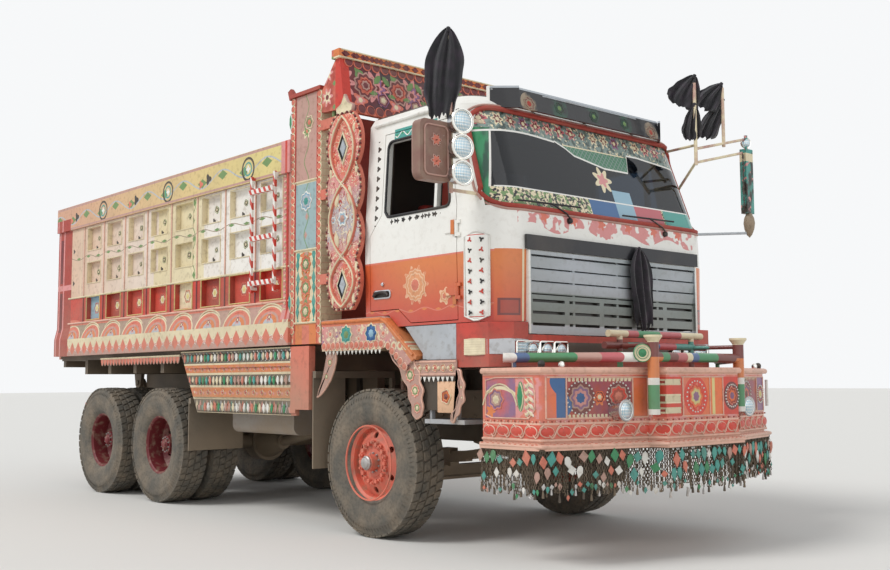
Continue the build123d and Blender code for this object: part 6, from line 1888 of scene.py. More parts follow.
def door_trim(side, sign):
    """Window seal, grip, knob, hinges, marks and painted flowers of one door."""
    door = "door_" + side

    def find(x, z):
        return on_side(x, z, sign, (door,))

    outline = curve_points(grown_corners(DOOR_WINDOW, 0.010), 0.055, 5)
    seal = dressed(tube(laid(closed_line(outline, 0.025), find, 0.0), 0.011, 2, closed=True), "dark_trim")
    parts = Parts([seal])
    grip = laid(
        [(0.115, 1.775), (0.125, 1.795), (0.20, 1.806), (0.275, 1.795), (0.285, 1.775)], find, 0.016
    )
    parts.add(tube(grip, 0.011, 2, order=3), "dark_trim")
    dish = plate(
        curve_points([(-0.105, -0.030), (0.105, -0.030), (0.105, 0.035), (-0.105, 0.035)], 0.03, 4), 0.006
    )
    rings(dish, [(0.010, 0.003, 0), (0.004, -0.007, 1)])
    spot, normal = find(0.20, 1.785)
    parts.spread(dish, [facing(spot, normal)], "chrome dark_trim")
    knob = lathe([(0, 0.014), (0.010, 0.014), (0.014, 0.010), (0.015, TIP_R)], 12, *find(0.212, 1.862))
    parts.add(knob, "chrome")
    for z in (1.72, 2.20):
        spot, normal = find(0.998, z)
        hinge = cuboid(spot - Vector((0.018, 0.002, 0.05)), spot + Vector((0.018, 0.002, 0.05)), 0.0015, 1)
        hinge.location += normal * 0.004
        parts.add(hinge, "orange")
    for x in [0.36 + 0.085 * index for index in range(6)]:
        hit = find(x, 2.318)
        mark = plate(polar(0.018, 12, petals(3, 0.3)), 0.003)
        parts.spread(mark, [facing(hit[0], hit[1], turn=0.4 * x)], "dark_trim")
        drop(mark)
    flower = plate(polar(0.120, 48, petals(12, 0.06)), 0.002)
    tiers(
        flower,
        [
            (0.92, 0.001, 0), (0.80, -0.001, 1), (0.70, 0.001, 0), (0.44, 0.001, 1), (0.36, 0.002, 0),
            (0.14, 0.001, 2),
        ],
    )
    small = plate(polar(0.052, 30, petals(5, 0.10)), 0.002)
    tiers(small, [(0.80, 0.001, 0), (0.62, -0.001, 1), (0.40, 0.002, 0), (0.2, 0.001, 2)])
    for template, x, z in ((flower, 0.583, 1.832), (small, 0.894, 1.735)):
        spot, normal = find(x, z)
        place = facing(spot - normal * 0.001, normal)
        parts.spread(template, [place], "pale_orange soft_orange coral")
    drop(dish, flower, small)
    return parts.join("door_trim_" + side, door, "dark_trim")


def cab_corner(side, sign):
    """White ornament strip and framed orange panel on a corner of the cab."""
    strip = dressed(
        wrapped(-2, 35, STRIP_LOW_Z, STRIP_HIGH_Z, 0.90, 0.010, sign, ("cab_sides", "cab_front")),
        "strip_paint",
    )
    rim = []
    for step in range(61):
        turn = 2 * math.pi * step / 60
        u, v = math.cos(turn), math.sin(turn)
        scale = 1 / max(abs(u), abs(v))
        u, v = u * scale, v * scale
        end = max(0.0, (abs(v) - 0.90) / 0.10)
        angle = math.radians(16.5 + u * 18.5 * math.sqrt(1.0 - 0.96 * end * end))
        reach = CORNER_R + 0.004
        spot = at(
            CORNER_MIDDLE[0] + reach * math.sin(angle),
            sign * (CORNER_MIDDLE[1] + reach * math.cos(angle)),
            STRIP_MIDDLE_Z + v * STRIP_HALF_Z,
        )
        rim.append(spot)
    parts = Parts([strip, dressed(tube(rim[:-1], 0.007, 1, closed=True), "white")])
    motif = plate(polar(0.020, 18, petals(3, 0.35)), 0.003)
    places = []
    for index in range(8):
        for turn, angle in ((0, 8), (1, 25)):
            a = math.radians(angle)
            out = Vector((math.sin(a), sign * math.cos(a), 0))
            spot = at(CORNER_MIDDLE[0], sign * CORNER_MIDDLE[1], 1.605 + 0.070 * index) + out * (
                CORNER_R + 0.0085
            )
            places.append((facing(spot, out, turn=1.1 * index + turn), (index + turn) % 2))
    parts.spread(motif, places, "dark_trim red")
    drop(motif)
    return parts.join("cab_corner_" + side, "truck", "dark_trim")


def roof_trim():
    """White drip rails over the doors, with turned down ends."""
    rails = []
    for sign in (1, -1):
        path = [
            (0.04, 3.040), (0.07, 3.072), (0.30, 3.076), (0.60, 3.076), (0.78, 3.074), (0.86, 3.045),
            (0.885, 3.0),
        ]
        line = laid(path, lambda x, z: on_side(x, z, sign), 0.006)
        rails.append(tube(line, 0.014, 2, order=3))
    return settled(merged(rails), "drip_rails", "white", "truck")


# Round lamps beside the right mirror, from the front axle
MIRROR_LAMP = (1.296, -1.400)
MIRROR_LAMP_HEIGHTS = (2.855, 2.682, 2.508)
MIRROR_LAMP_R = 0.080
MIRROR_LAMP_WAY = (1, -0.15, 0)


def faceted_lamp(centre, radius, way, depth=0.050, facets=8):
    """A chrome lamp with a faceted bowl, a rolled rim and a domed lens."""
    bowl = [(-depth, radius * 0.30), (-depth, radius * 0.62), (-depth * 0.45, radius * 0.98), (0.0, radius)]
    bowl += [(0.006, radius * 0.97), (0.004, radius * 0.86)]
    bowl = lathe(bowl, facets * 2, centre, Vector(way).normalized())
    lens = [(0.002, radius * 0.87), (0.010, radius * 0.70), (0.016, radius * 0.40), (0.018, TIP_R)]
    lens = lathe(lens, 20, centre, Vector(way).normalized())
    return [dressed(bowl, "bright_chrome"), dressed(lens, "lamp_lens")]


def rim_ring(centre, radius, way, thick, shade, turns=20):
    fresh()
    bpy.ops.mesh.primitive_torus_add(
        major_segments=turns, minor_segments=6, major_radius=radius, minor_radius=thick
    )
    ring = bpy.context.object
    ring.matrix_world = facing(Vector(centre), way)
    bpy.ops.object.transform_apply(location=True, rotation=True, scale=True)
    return dressed(ring, shade)


def mirror_lamps():
    """Three faceted chrome lamps with their rims, stacked beside the right mirror."""
    parts = Parts()
    for height in MIRROR_LAMP_HEIGHTS:
        centre = at(*MIRROR_LAMP, height)
        parts += faceted_lamp(centre, MIRROR_LAMP_R, MIRROR_LAMP_WAY)
        rim = centre + Vector((0.003, 0, 0))
        parts.append(rim_ring(rim, MIRROR_LAMP_R, MIRROR_LAMP_WAY, 0.008, "bright_chrome"))
    return parts.join("mirror_lamps", "truck", "lamp_glass", 25)


def right_mirror():
    """Pale rims, glass, flowers and clamp of the right mirror."""
    glass_line = curve_points([(-1.680, 2.470), (-1.450, 2.470), (-1.450, 2.830), (-1.680, 2.830)], 0.05, 5)
    rim = [at(1.126, u, v) for u, v in glass_line]
    parts = Parts([dressed(tube(rim, 0.010, 2, closed=True), "rose")])
    face = plate([(u + 1.565, v - 2.65) for u, v in glass_line], 0.003)
    parts.spread(face, [facing(at(1.1295, -1.565, 2.65), (-1, 0, 0))], "mirror_glass")
    front = [
        at(1.224, u, v)
        for u, v in curve_points(
            [(-1.665, 2.485), (-1.465, 2.485), (-1.465, 2.815), (-1.665, 2.815)], 0.04, 5
        )
    ]
    parts.add(tube(front, 0.006, 1, closed=True), "rose")
    motif = plate(polar(0.050, 24, petals(6, 0.2)), 0.003)
    rings(motif, [(0.006, 0.002, 0), (0.012, -0.001, 1)])
    places = [facing(at(1.220, -1.565, z), (1, 0, 0)) for z in (2.58, 2.72)]
    parts.spread(motif, places, "rose coral")
    drop(face, motif)
    clamp = cuboid(at(1.175, -1.428, 2.535), at(1.205, -1.395, 2.575), 0.004, 1)
    parts.add(clamp, "steel_trim")
    return parts.join("right_mirror_trim", "truck", "dark_trim")


def left_mirror():
    """Rim, chrome lamp, tassels and end ornament of the left mirror."""
    parts = Parts()
    line = [(1.612, 2.54), (1.690, 2.54), (1.690, 3.04), (1.612, 3.04)]
    rim = [at(1.428, u, v) for u, v in curve_points(line, 0.02, 3)]
    parts.add(tube(rim, 0.007, 1, closed=True), "rose")
    parts += faceted_lamp(at(1.462, 1.650, 3.118), 0.046, (1, -0.4, 0), 0.035)
    tassel = tassel_template()
    places = []
    for index in range(9):
        places.append(Matrix.Translation(at(1.470, 1.585, 3.030 - 0.050 * index)) @ Matrix.Scale(0.62, 4))
    parts.spread(tassel, places, "dark_trim")
    gourd = [
        (-0.120, 0.001), (-0.095, 0.022), (-0.050, 0.040), (0.0, 0.047), (0.045, 0.040), (0.085, 0.020),
        (0.110, 0.001),
    ]
    parts.add(lathe(gourd, 14, at(1.470, 1.650, 2.440), (0, 0, 1)), "tan")
    drop(tassel)
    return parts.join("left_mirror_trim", "truck", "dark_trim")


def cab_trim():
    screen_seal()
    for side, sign in SIDES.items():
        door_trim(side, sign)
        cab_corner(side, sign)
    roof_trim()
    mirror_lamps()
    right_mirror()
    left_mirror()


# Bumper, lamps and bars
PANEL_ENDS = (-1.222, -1.058, -0.562, -0.448)
CENTRE_ENDS = (-0.440, -0.230, 0.070, 0.222, 0.440)

# Reliefs on the bumper's front: y, z, radius, petals, rim, ground, petals' paint, heart
BUMPER_FLOWERS = (
    (-0.955, BLOOM_Z, 0.088, 8, "rose purple pink blue"),
    (-0.815, 1.046, 0.042, 6, "hot maroon hot cream"),
    (-0.672, 1.050, 0.078, 8, "rose lit_red brick coral"),
    (-0.085, BLOOM_Z, 0.088, 7, "lit_red hot yellow purple"),
    (0.330, BLOOM_Z, 0.066, 7, "coral brick hot purple"),
    (0.840, BLOOM_Z, 0.084, 8, "rose purple coral maroon"),
    (1.140, BLOOM_Z, 0.056, 7, "coral purple cream yellow"),
)


def on_bumper(y, z):
    """The bumper's front surface."""
    return touch("front_bumper", at(AHEAD_X, y, z), (-1, 0, 0))


def on_flank(x, z, sign):
    """The bumper's end face."""
    return on_side(x, z, sign, "front_bumper")


def flower_plate(radius, petal_count, thick=0.004):
    """A scalloped plate with a sunk ring, a raised flower and a button."""
    flower = plate(polar(radius, petal_count * 4, petals(petal_count, 0.10)), thick)
    steps = [(0.95, 0.002, 0), (0.86, -0.001, 0), (0.80, -0.003, 1), (0.66, 0.001, 1), (0.60, 0.003, 2)]
    return tiers(flower, steps + [(0.40, -0.002, 2), (0.30, 0.002, 3), (0.16, 0.003, 3)])


def seated(spot, normal, size=1.0, turn=0.0, sink=0.0015):
    return facing(spot - normal * sink, normal, size=size, turn=turn)


def bumper_relief():
    """Raised flowers, panel frames, ovals, studs and rolled edges of the bumper."""
    parts = Parts()
    pearl = bead(0.0065, 4, 7)
    for y, z, radius, count, shades in BUMPER_FLOWERS:
        template = flower_plate(radius, count)
        place = seated(*on_bumper(y, z))
        parts.spread(template, [place], shades)
        drop(template)
        if radius > 0.05:
            ring_of = [place @ Matrix.Translation((u, v, 0.003)) for u, v in polar(radius * 1.16, 22)]
            parts.spread(pearl, ring_of, "white")
    for sign in (-1, 1):
        template = flower_plate(0.075, 7)
        shades = "coral purple rose cream"
        parts.spread(template, [seated(*on_flank(1.425, 1.032, sign))], shades)
        drop(template)
        leaf = plate(
            mirrored([(0, -0.095), (0.022, -0.045), (0.030, 0.010), (0.018, 0.060), (0, 0.095)]), 0.004
        )
        rings(leaf, [(0.005, 0.004, 0), (0.010, 0.003, 1)])
        places = [seated(*on_flank(1.645, 1.050, sign))]
        parts.spread(leaf, places, "cream green")
        places = []
        for index in range(5):
            for flip in (-1, 1):
                spot, normal = on_flank(1.725 + flip * 0.016, 0.945 + 0.044 * index, sign)
                places.append(
                    facing(spot - normal * 0.001, normal, size=(0.42, 0.30, 1), turn=-sign * flip * 0.9)
                )
        parts.spread(leaf, places, "white cream")
        drop(leaf)
        arch = []
        for step in range(15):
            turn = math.radians(20 + 140 * step / 14)
            spot, normal = on_flank(1.46 - 0.165 * math.cos(turn), 0.925 + 0.205 * math.sin(turn), sign)
            arch.append(spot + normal * 0.002)
        parts.add(tube(arch, 0.006, 1), "cream")
        frame_line = closed_line(
            [(1.330, PANEL_LOW_Z), (1.770, PANEL_LOW_Z), (1.770, PANEL_HIGH_Z), (1.330, PANEL_HIGH_Z)], 0.11
        )
        frame_bar = tube(
            [s + n * 0.002 for s, n in (on_flank(x, z, sign) for x, z in frame_line)], 0.005, 1, True
        )
        parts.add(frame_bar, "peach")
    # Frames between the front panels
    bars = []
    for ends, flips in ((PANEL_ENDS, (1, -1)), (CENTRE_ENDS, (1,))):
        for flip in flips:
            for y in ends:
                if abs(y) > 1.21:
                    y = math.copysign(1.205, y)
                bars.append([on_bumper(flip * y, z) for z in (PANEL_LOW_Z, 1.04, PANEL_HIGH_Z)])
            for z in (PANEL_LOW_Z, PANEL_HIGH_Z):
                bars.append(
                    [on_bumper(flip * y, z) for y in (math.copysign(min(abs(e), 1.2), e) for e in ends)]
                )
    for line in bars:
        parts.add(tube([spot + normal * 0.001 for spot, normal in line], 0.006, 1), "peach")
    # Striped strip on the centre panel
    stripe = plate([(-0.080, -0.019), (0.080, -0.019), (0.080, 0.019), (-0.080, 0.019)], 0.003, 0.002)
    places = [seated(*on_bumper(-0.335, z)) for z in (0.955, 1.030, 1.138)]
    parts.spread(stripe, places, "cream")
    # Teeth over and under the rose panels
    tooth = plate([(-0.010, -0.011), (0.010, -0.011), (0.0, 0.013)], 0.003)
    places = []
    for flip in (1, -1):
        for index in range(16):
            y = flip * (-1.035 + 0.0305 * index)
            for z, turn in ((1.155, math.pi), (0.930, 0.0)):
                if z > 1.0 or abs(abs(y) - 0.690) > 0.090:
                    places.append(seated(*on_bumper(y, z), turn=turn))
    parts.spread(tooth, places, "cream")
    # Ovals along the band, studs and rolled edges
    oval = plate(
        [(0.055 * math.cos(a), 0.036 * math.sin(a)) for a in (2 * math.pi * k / 16 for k in range(16))],
        0.003,
    )
    rings(oval, [(0.006, 0.003, 0), (0.004, -0.002, 1), (0.010, 0.004, 1)])
    places, studs = [], []
    for spot, way in along(bumper_line(0.001, BAND_Z), 0.125):
        out = way.cross(Vector((0, 0, 1)))
        places.append(facing(spot, out))
    for number, (spot, way) in enumerate(along(bumper_line(0.003, 0.897), 0.031)):
        studs.append((Matrix.Translation(spot), number % 2))
    parts.spread(oval, places, "peach lit_red")
    parts.spread(pearl, studs, "peach brick")
    wave = []
    for number, (spot, way) in enumerate(along(bumper_line(0.002, BAND_Z), 0.0156)):
        wave.append(spot + Vector((0, 0, 0.040 * math.sin(number * math.pi / 4))))
    parts.add(tube(wave, 0.0060, 1), "peach")
    parts.add(tube(bumper_line(0.006, 1.214), 0.020, 3), "peach")
    parts.add(tube(bumper_line(0.026, 0.744), 0.013, 2), "peach")
    parts.add(tube(bumper_line(0.004, 0.781), 0.009, 2), "peach")
    rod = tube([at(1.834, 1.250, 0.950), at(1.834, 1.250, 1.150)], 0.012, 2)
    parts.add(rod, "white")
    drop(stripe, tooth, oval, pearl)
    return parts.join("bumper_relief", "truck", "folk_paint", 30)


def front_lamps():
    """Fog lamps, headlamps, lamp cell frames, corner indicators and the small lamps on the rim."""
    parts = Parts()
    for sign in (-1, 1):
        fog = at(2.040, sign * 0.690, 0.960)
        parts += faceted_lamp(fog, 0.064, (1, 0, 0), 0.020)
        parts.append(rim_ring(fog, 0.064, (1, 0, 0), 0.008, "steel_trim"))
        for y in (0.920, 0.780, 0.640):
            parts += faceted_lamp(at(1.452, sign * y, 1.356), 0.048, (1, 0, 0), 0.024)
        wall = touch("headlamp_bar", at(AHEAD_X, sign * 0.90, 1.27), (-1, 0, 0))[0].x + 0.002
        for low, high in ((0.845, 1.060), (0.705, 0.835), (0.565, 0.695)):
            corners = [(sign * low, LAMP_LOW_Z), (sign * high, LAMP_LOW_Z)]
            corners += [(sign * high, LAMP_HIGH_Z), (sign * low, LAMP_HIGH_Z)]
            if sign < 0:
                corners.reverse()
            line = [Vector((wall, u, v)) for u, v in curve_points(corners, 0.012, 3)]
            parts.add(tube(line, 0.007, 1, closed=True), "bright_chrome")
        spare = cuboid(
            Vector((wall - 0.012, sign * 0.850, 1.302)),
            Vector((wall - 0.006, sign * 1.056, 1.410)),
            0.002,
            1,
        )
        parts.add(spare, "lamp_lens")
        indicator = wrapped(-6, 31, 1.318, 1.436, 0.985, 0.012, sign, ("headlamp_bar",))
        parts.add(indicator, "cream_lens")
        bar = wrapped(33, 84, 1.322, 1.430, 0.985, 0.006, sign, ("headlamp_bar",))
        parts.add(bar, "steel_trim")
        for spot, radius in (((1.795, sign * 1.205, 1.256), 0.024), ((1.845, sign * 1.075, 1.250), 0.022)):
            dome = [
                (-0.020, radius * 0.8), (0.0, radius), (0.012, radius * 0.85), (0.020, radius * 0.5),
                (0.023, TIP_R),
            ]
            parts.add(
                lathe(dome, 16, at(*spot), (0, 0, 1)), "dark_trim" if radius > 0.023 else "bright_chrome"
            )
    return parts.join("front_lamps", "truck", "lamp_glass", 28)


def wrapped(low_angle, high_angle, low, high, round_from, lift, sign, nodes):
    """A thin panel laid round the corner of some nodes between two angles and two heights."""
    columns, rows = 12, 20
    fresh()
    bpy.ops.mesh.primitive_grid_add(x_subdivisions=columns, y_subdivisions=rows, size=2.0)
    piece = bpy.context.object
    middle = math.radians(low_angle + high_angle) / 2
    half = math.radians(high_angle - low_angle) / 2
    for vertex in piece.data.vertices:
        u, v = vertex.co.x * -sign, vertex.co.y
        end = max(0.0, (abs(v) - round_from) / (1.0 - round_from))
        angle = middle + u * half * math.sqrt(max(0.0, 1.0 - 0.96 * end * end))
        way = Vector((math.sin(angle), sign * math.cos(angle), 0))
        z = (low + high) / 2 + v * (high - low) / 2
        foot = at(CORNER_MIDDLE[0], sign * CORNER_MIDDLE[1], z)
        hit = touch(nodes, foot + way * 1.2, -way)
        spot = hit[0] if hit else foot + way * CORNER_R
        edge = max(abs(u), abs(v)) > 0.999
        vertex.co = spot + way * (0.0008 if edge else lift)
    return piece


POST = (2.100, 0.480)


def bar_dress():
    """Green discs beside the posts and the collars round them."""
    parts = Parts()
    way = Vector((1, -0.75, 0.05)).normalized()
    for sign in (-1, 1):
        centre = at(POST[0] - 0.030, sign * (POST[1] + 0.075), 1.325)
        turned = Vector((way.x, sign * 0.75 * 0.8, way.z)).normalized()
        profile = [(-0.006, TIP_R), (-0.006, 0.058), (0.004, 0.060), (0.010, 0.054), (0.006, 0.050)]
        profile += [
            (0.006, 0.040), (0.010, 0.036), (0.010, 0.030), (0.006, 0.027), (0.010, 0.010), (0.012, TIP_R)
        ]
        disc = lathe(profile, 28, centre, turned)
        for face in disc.data.polygons:
            far = (Vector(face.center) - centre - turned * (Vector(face.center) - centre).dot(turned)).length
            face.material_index = 1 if 0.040 < far < 0.052 or 0.022 < far < 0.034 else 0
        parts.add(disc, "green cream")
        parts.append(rim_ring(at(POST[0], sign * POST[1], 1.442), 0.058, (0, 0, 1), 0.006, "cream"))
        parts.append(rim_ring(at(POST[0], sign * POST[1], 1.398), 0.040, (0, 0, 1), 0.006, "rose"))
        parts.append(rim_ring(at(POST[0], sign * POST[1], 1.190), 0.040, (0, 0, 1), 0.005, "cream"))
        parts.append(rim_ring(at(POST[0], sign * POST[1], 1.300), 0.040, (0, 0, 1), 0.004, "orange"))
    return parts.join("bar_dress", "truck", "folk_paint", 30)


def on_visor(y, z):
    """The visor's front surface."""
    return touch("visor", at(AHEAD_X, y, z), (-1, 0, 0))


def visor_flowers():
    """Tan and green flowers and the ledge on the visor."""
    parts = Parts()
    tan = flower_plate(0.060, 7, 0.003)
    leaf = flower_plate(0.050, 6, 0.003)
    tans = [seated(*on_visor(y, 3.105)) for y in (-0.69, 0.69)]
    greens = [seated(*on_visor(y, 3.125), turn=y) for y in (-0.37, 0.01, 0.37)]
    parts.spread(tan, tans, "tan maroon tan brick")
    parts.spread(leaf, greens, "dim dark_trim dim leaf")
    drop(tan, leaf)
    line = laid([(y, 3.190) for y in (-0.95, -0.5, 0.01, 0.5, 0.95)], on_visor, 0.002)
    parts.add(tube(line, 0.006, 1), "grey")
    return parts.join("visor_flowers", "truck", "folk_paint", 30)


def front_dress():
    bumper_relief()
    front_lamps()
    bar_dress()
    visor_flowers()


# Body, crown and side dress
PANEL_ROWS = ((2.600, 2.840), (2.240, 2.460), (1.840, 2.080))
PANEL_HALF = 0.165
PANELS = 8
PANEL_XS = tuple(PANEL_FIRST_X + PANEL_PITCH * index for index in range(PANELS))
BED_REAR_X = -5.780
BED_FRONT_X = -0.965

# Carved flaps by the front wheel: outline in x and z, flowers as x, z and size
CARVED_FLAPS = (
    (
        (
            (0.300, 1.370), (0.345, 1.300), (0.425, 1.240), (0.455, 1.165), (0.515, 1.110), (0.520, 1.035),
            (0.560, 0.985), (0.560, 0.920), (0.610, 0.880), (0.665, 0.905), (0.690, 0.975), (0.668, 1.030),
            (0.692, 1.090), (0.650, 1.150), (0.655, 1.215), (0.600, 1.265), (0.585, 1.320), (0.530, 1.380),
        ),
        ((0.455, 1.290, 0.85), (0.545, 1.195, 0.80), (0.600, 1.085, 0.75), (0.622, 0.965, 0.62)),
    ),
    (
        (
            (1.030, 1.240), (1.078, 1.225), (1.085, 1.175), (1.118, 1.130), (1.100, 1.075), (1.116, 1.020),
            (1.072, 0.985), (1.060, 0.930), (1.020, 0.905), (1.000, 0.862), (0.966, 0.880), (0.975, 0.935),
            (1.020, 0.968), (1.032, 1.030), (1.060, 1.075), (1.040, 1.130), (1.052, 1.180),
        ),
        ((1.080, 1.110, 0.30), (1.085, 1.040, 0.28)),
    ),
    (
        (
            (-0.470, 1.385), (-0.350, 1.385), (-0.345, 1.320), (-0.372, 1.240), (-0.420, 1.160),
            (-0.490, 1.090), (-0.560, 1.040), (-0.612, 1.020), (-0.585, 1.085), (-0.545, 1.150),
            (-0.515, 1.230), (-0.490, 1.310),
        ),
        ((-0.430, 1.300, 0.55), (-0.475, 1.190, 0.45)),
    ),
)


def bed_mouldings(side, sign):
    """Frames round the pockets, long mouldings, arches, zigzag teeth and rail rosettes of one wall."""
    face = sign * BODY_FACE_Y
    out = Vector((0, sign, 0))
    parts = Parts()

    def spot(x, z, lift=0.0):
        return at(x, face + sign * lift, z)

    for z, radius, shade in (
        (3.118, 0.012, "peach"),
        (2.876, 0.011, "rose"),
        (2.095, 0.010, "cream"),
        (1.812, 0.010, "peach"),
        (1.636, 0.011, "cream"),
        (1.462, 0.010, "coral"),
    ):
        bar = tube([spot(BED_REAR_X + 0.30, z), spot(BED_FRONT_X - 0.01, z)], radius, 1)
        parts.add(bar, shade)
    for low, high in PANEL_ROWS:
        ring = [(-PANEL_HALF - 0.006, low - 0.006), (PANEL_HALF + 0.006, low - 0.006)]
        ring += [(PANEL_HALF + 0.006, high + 0.006), (-PANEL_HALF - 0.006, high + 0.006)]
        frame_bar = tube([Vector((u, v, 0)) for u, v in ring], 0.007, 1, closed=True)
        places = [facing(spot(x, 0), out) for x in PANEL_XS]
        shade = "cream" if low > 2.1 else "yellow"
        parts.spread(frame_bar, places, shade)
        drop(frame_bar)
    # Upright beads between the pockets
    for index in range(PANELS + 1):
        x = PANEL_FIRST_X + PANEL_PITCH * (index - 0.5)
        if x < BED_FRONT_X:
            parts.add(tube([spot(x, 2.110), spot(x, 2.865)], 0.008, 1), "peach")
            parts.add(tube([spot(x, 1.825), spot(x, 2.080)], 0.008, 1), "maroon")
    # Painted leaves and studs in the pockets
    sprig = flower_plate(0.034, 4, 0.003)
    places, shades = [], random.Random(21)
    for x in PANEL_XS:
        for low, high in PANEL_ROWS[:2]:
            hit = on_side(x + 0.02, (low + high) / 2, sign, "bed_sides")
            if hit:
                places.append(seated(*hit, size=shades.uniform(0.85, 1.15), turn=shades.uniform(0, 3)))
    parts.spread(sprig, places, "leaf cream steel cream")
    bloom = flower_plate(0.075, 6, 0.003)
    places = []
    for x in PANEL_XS:
        hit = on_side(x, 1.960, sign, "bed_sides")
        if hit:
            places.append(seated(*hit, size=0.9))
    parts.spread(bloom, places, "coral maroon cream yellow")
    # Arches with a flower under each
    for radius, thick, shade in ((0.232, 0.008, "cream"), (0.165, 0.007, "coral"), (0.088, 0.006, "peach")):
        arc = [
            Vector((radius * math.cos(a), radius * math.sin(a) / 1.5, 0))
            for a in (math.pi * k / 14 for k in range(15))
        ]
        bow = tube(arc, thick, 1)
        parts.spread(bow, [facing(spot(x, 1.646), out) for x in PANEL_XS], shade)
        drop(bow)
    small = flower_plate(0.034, 6, 0.003)
    places = [facing(spot(x, 1.690, SUNK), out) for x in PANEL_XS]
    parts.spread(small, places, "cream maroon rose yellow")
    tooth = plate([(-0.074, -0.050), (0.074, -0.050), (0.0, 0.060)], 0.005, 0.006)
    count = int((BED_FRONT_X - BED_REAR_X - 0.32) / TOOTH_PITCH)
    places = [
        facing(spot(BED_FRONT_X - 0.10 - TOOTH_PITCH * index, 1.548, SUNK), out) for index in range(count)
    ]
    parts.spread(tooth, places, "cream")
    places = [
        facing(spot(BED_FRONT_X - 0.10 - TOOTH_PITCH * index, 1.520, 0.003), out, size=0.62)
        for index in range(count)
    ]
    parts.spread(small, places, "coral red cream red")
    places = [
        facing(spot(BED_FRONT_X - 0.18 - TOOTH_PITCH * index, 1.575, SUNK), out, size=0.5)
        for index in range(count - 1)
    ]
    parts.spread(small, places, "rose coral cream maroon")
    # Rosettes and leaves along the top rail
    disc = flower_plate(0.092, 14, 0.004)
    places = [
        facing(spot(RAIL_FIRST_X + RAIL_PITCH * (index + 0.5), 2.99, SUNK), out) for index in range(3)
    ]
    parts.spread(disc, places, "steel yellow teal cream")
    leaf = plate(mirrored([(0, -0.062), (0.026, -0.015), (0.022, 0.030), (0, 0.062)]), 0.004)
    rings(leaf, [(0.005, 0.003, 0), (0.008, 0.002, 1)])
    places = []
    for index in range(13):
        x = -5.20 + 0.33 * index
        if abs((x - RAIL_FIRST_X) % RAIL_PITCH - RAIL_PITCH / 2) < 0.62:
            places.append(
                facing(spot(x, 2.99 + 0.02 * (-1) ** index, SUNK), out, size=0.8, turn=1.1 * (-1) ** index)
            )
    parts.spread(leaf, places, "leaf coral")
    # Strip of red beads by the pillar
    parts.add(tube([spot(-1.000, 1.70, 0.004), spot(-1.000, 3.10, 0.004)], 0.012, 2), "red")
    pearl = bead(0.011, 4, 7)
    places = [Matrix.Translation(spot(-1.040, 1.70 + 0.046 * index, 0.002)) for index in range(31)]
    parts.spread(pearl, places, "cream")
    drop(sprig, bloom, small, tooth, disc, leaf, pearl)
    return parts.join("bed_mouldings_" + side, "bed", "folk_paint", 30)


LOW_BLOOMS_Z = (2.09, 1.90, 1.71)


def pillar_dress(side, sign):
    """Scalloped edges, flowers, cap corner, tip and upright of one box pillar."""
    out = Vector((0, sign, 0))
    face = sign * BODY_FACE_Y
    parts = Parts()

    def spot(x, z, lift=0.0):
        return at(x, face + sign * lift, z)

    lobe = plate(polar(0.031, 12), 0.006)
    rings(lobe, [(0.006, 0.003, 0), (0.004, -0.003, 1), (0.008, 0.003, 1)])
    places = []
    for index in range(33):
        z = 1.560 + 0.0590 * index
        for x in (-0.928, -0.552):
            places.append(facing(spot(x, z, SUNK), out))
    parts.spread(lobe, places, "cream coral")
    for x, shade in ((-0.896, "red"), (-0.584, "red"), (-0.962, "rose")):
        low = 1.86 if x < -0.95 else 1.56
        parts.add(tube([spot(x, low, 0.001), spot(x, 3.46 if x > -0.95 else 3.19, 0.001)], 0.007, 1), shade)
    for z in (2.765, 2.205, 1.620):
        parts.add(tube([spot(-0.90, z, 0.001), spot(-0.58, z, 0.001)], 0.009, 1), "cream")
    pale = flower_plate(0.062, 6)
    parts.spread(pale, [facing(spot(-0.70, 3.24, SUNK), out)], "cream rose leaf coral")
    grey = flower_plate(0.085, 8)
    parts.spread(grey, [facing(spot(PILLAR_X, 2.60, SUNK), out)], "white sky grey teal")
    low = flower_plate(0.076, 8)
    places = [facing(spot(PILLAR_X, z, SUNK), out) for z in LOW_BLOOMS_Z]
    parts.spread(low, places, "orange coral leaf cream")
    diamond = plate(rhombus(0.022, 0.055), 0.004, 0.004)
    places = [facing(spot(PILLAR_X + flip * 0.115, z, SUNK), out) for z in LOW_BLOOMS_Z for flip in (-1, 1)]
    parts.spread(diamond, places, "teal")
    # Upturned cap corner, hanging tip, teal drop and the upright beside the crown
    wing = plate(
        [(-0.05, 0), (0.40, 0), (0.42, 0.030), (0.02, 0.040), (-0.030, 0.095), (-0.075, 0.075)],
        0.030,
        0.004,
    )
    place = facing(at(-0.940, sign * 1.225, 3.475), out)
    if sign > 0:
        place = place @ Matrix.Diagonal((-1, 1, 1, 1))
    parts.spread(wing, [place], "brick")
    tip = plate(mirrored([(0, -0.075), (0.022, -0.02), (0.020, 0.03), (0, 0.075)]), 0.010)
    rings(tip, [(0.005, 0.003, 0), (0.008, 0.003, 1)])
    parts.spread(tip, [facing(spot(-0.957, 3.285, 0.0), out)], "white green")
    parts.spread(tip, [facing(spot(-0.951, 1.79, 0.0), out, size=1.1)], "cream teal")
    upright = cuboid(at(-0.415, sign * 1.205, 3.20), at(-0.385, sign * 1.235, 3.47), 0.006, 1)
    parts.add(upright, "leaf")
    drop(lobe, pale, grey, low, diamond, wing, tip)
    return parts.join("pillar_dress_" + side, "bed", "folk_paint", 30)


def on_crown(y, z):
    """The crown board's front surface."""
    return touch("crown", at(AHEAD_X, y, z), (-1, 0, 0))


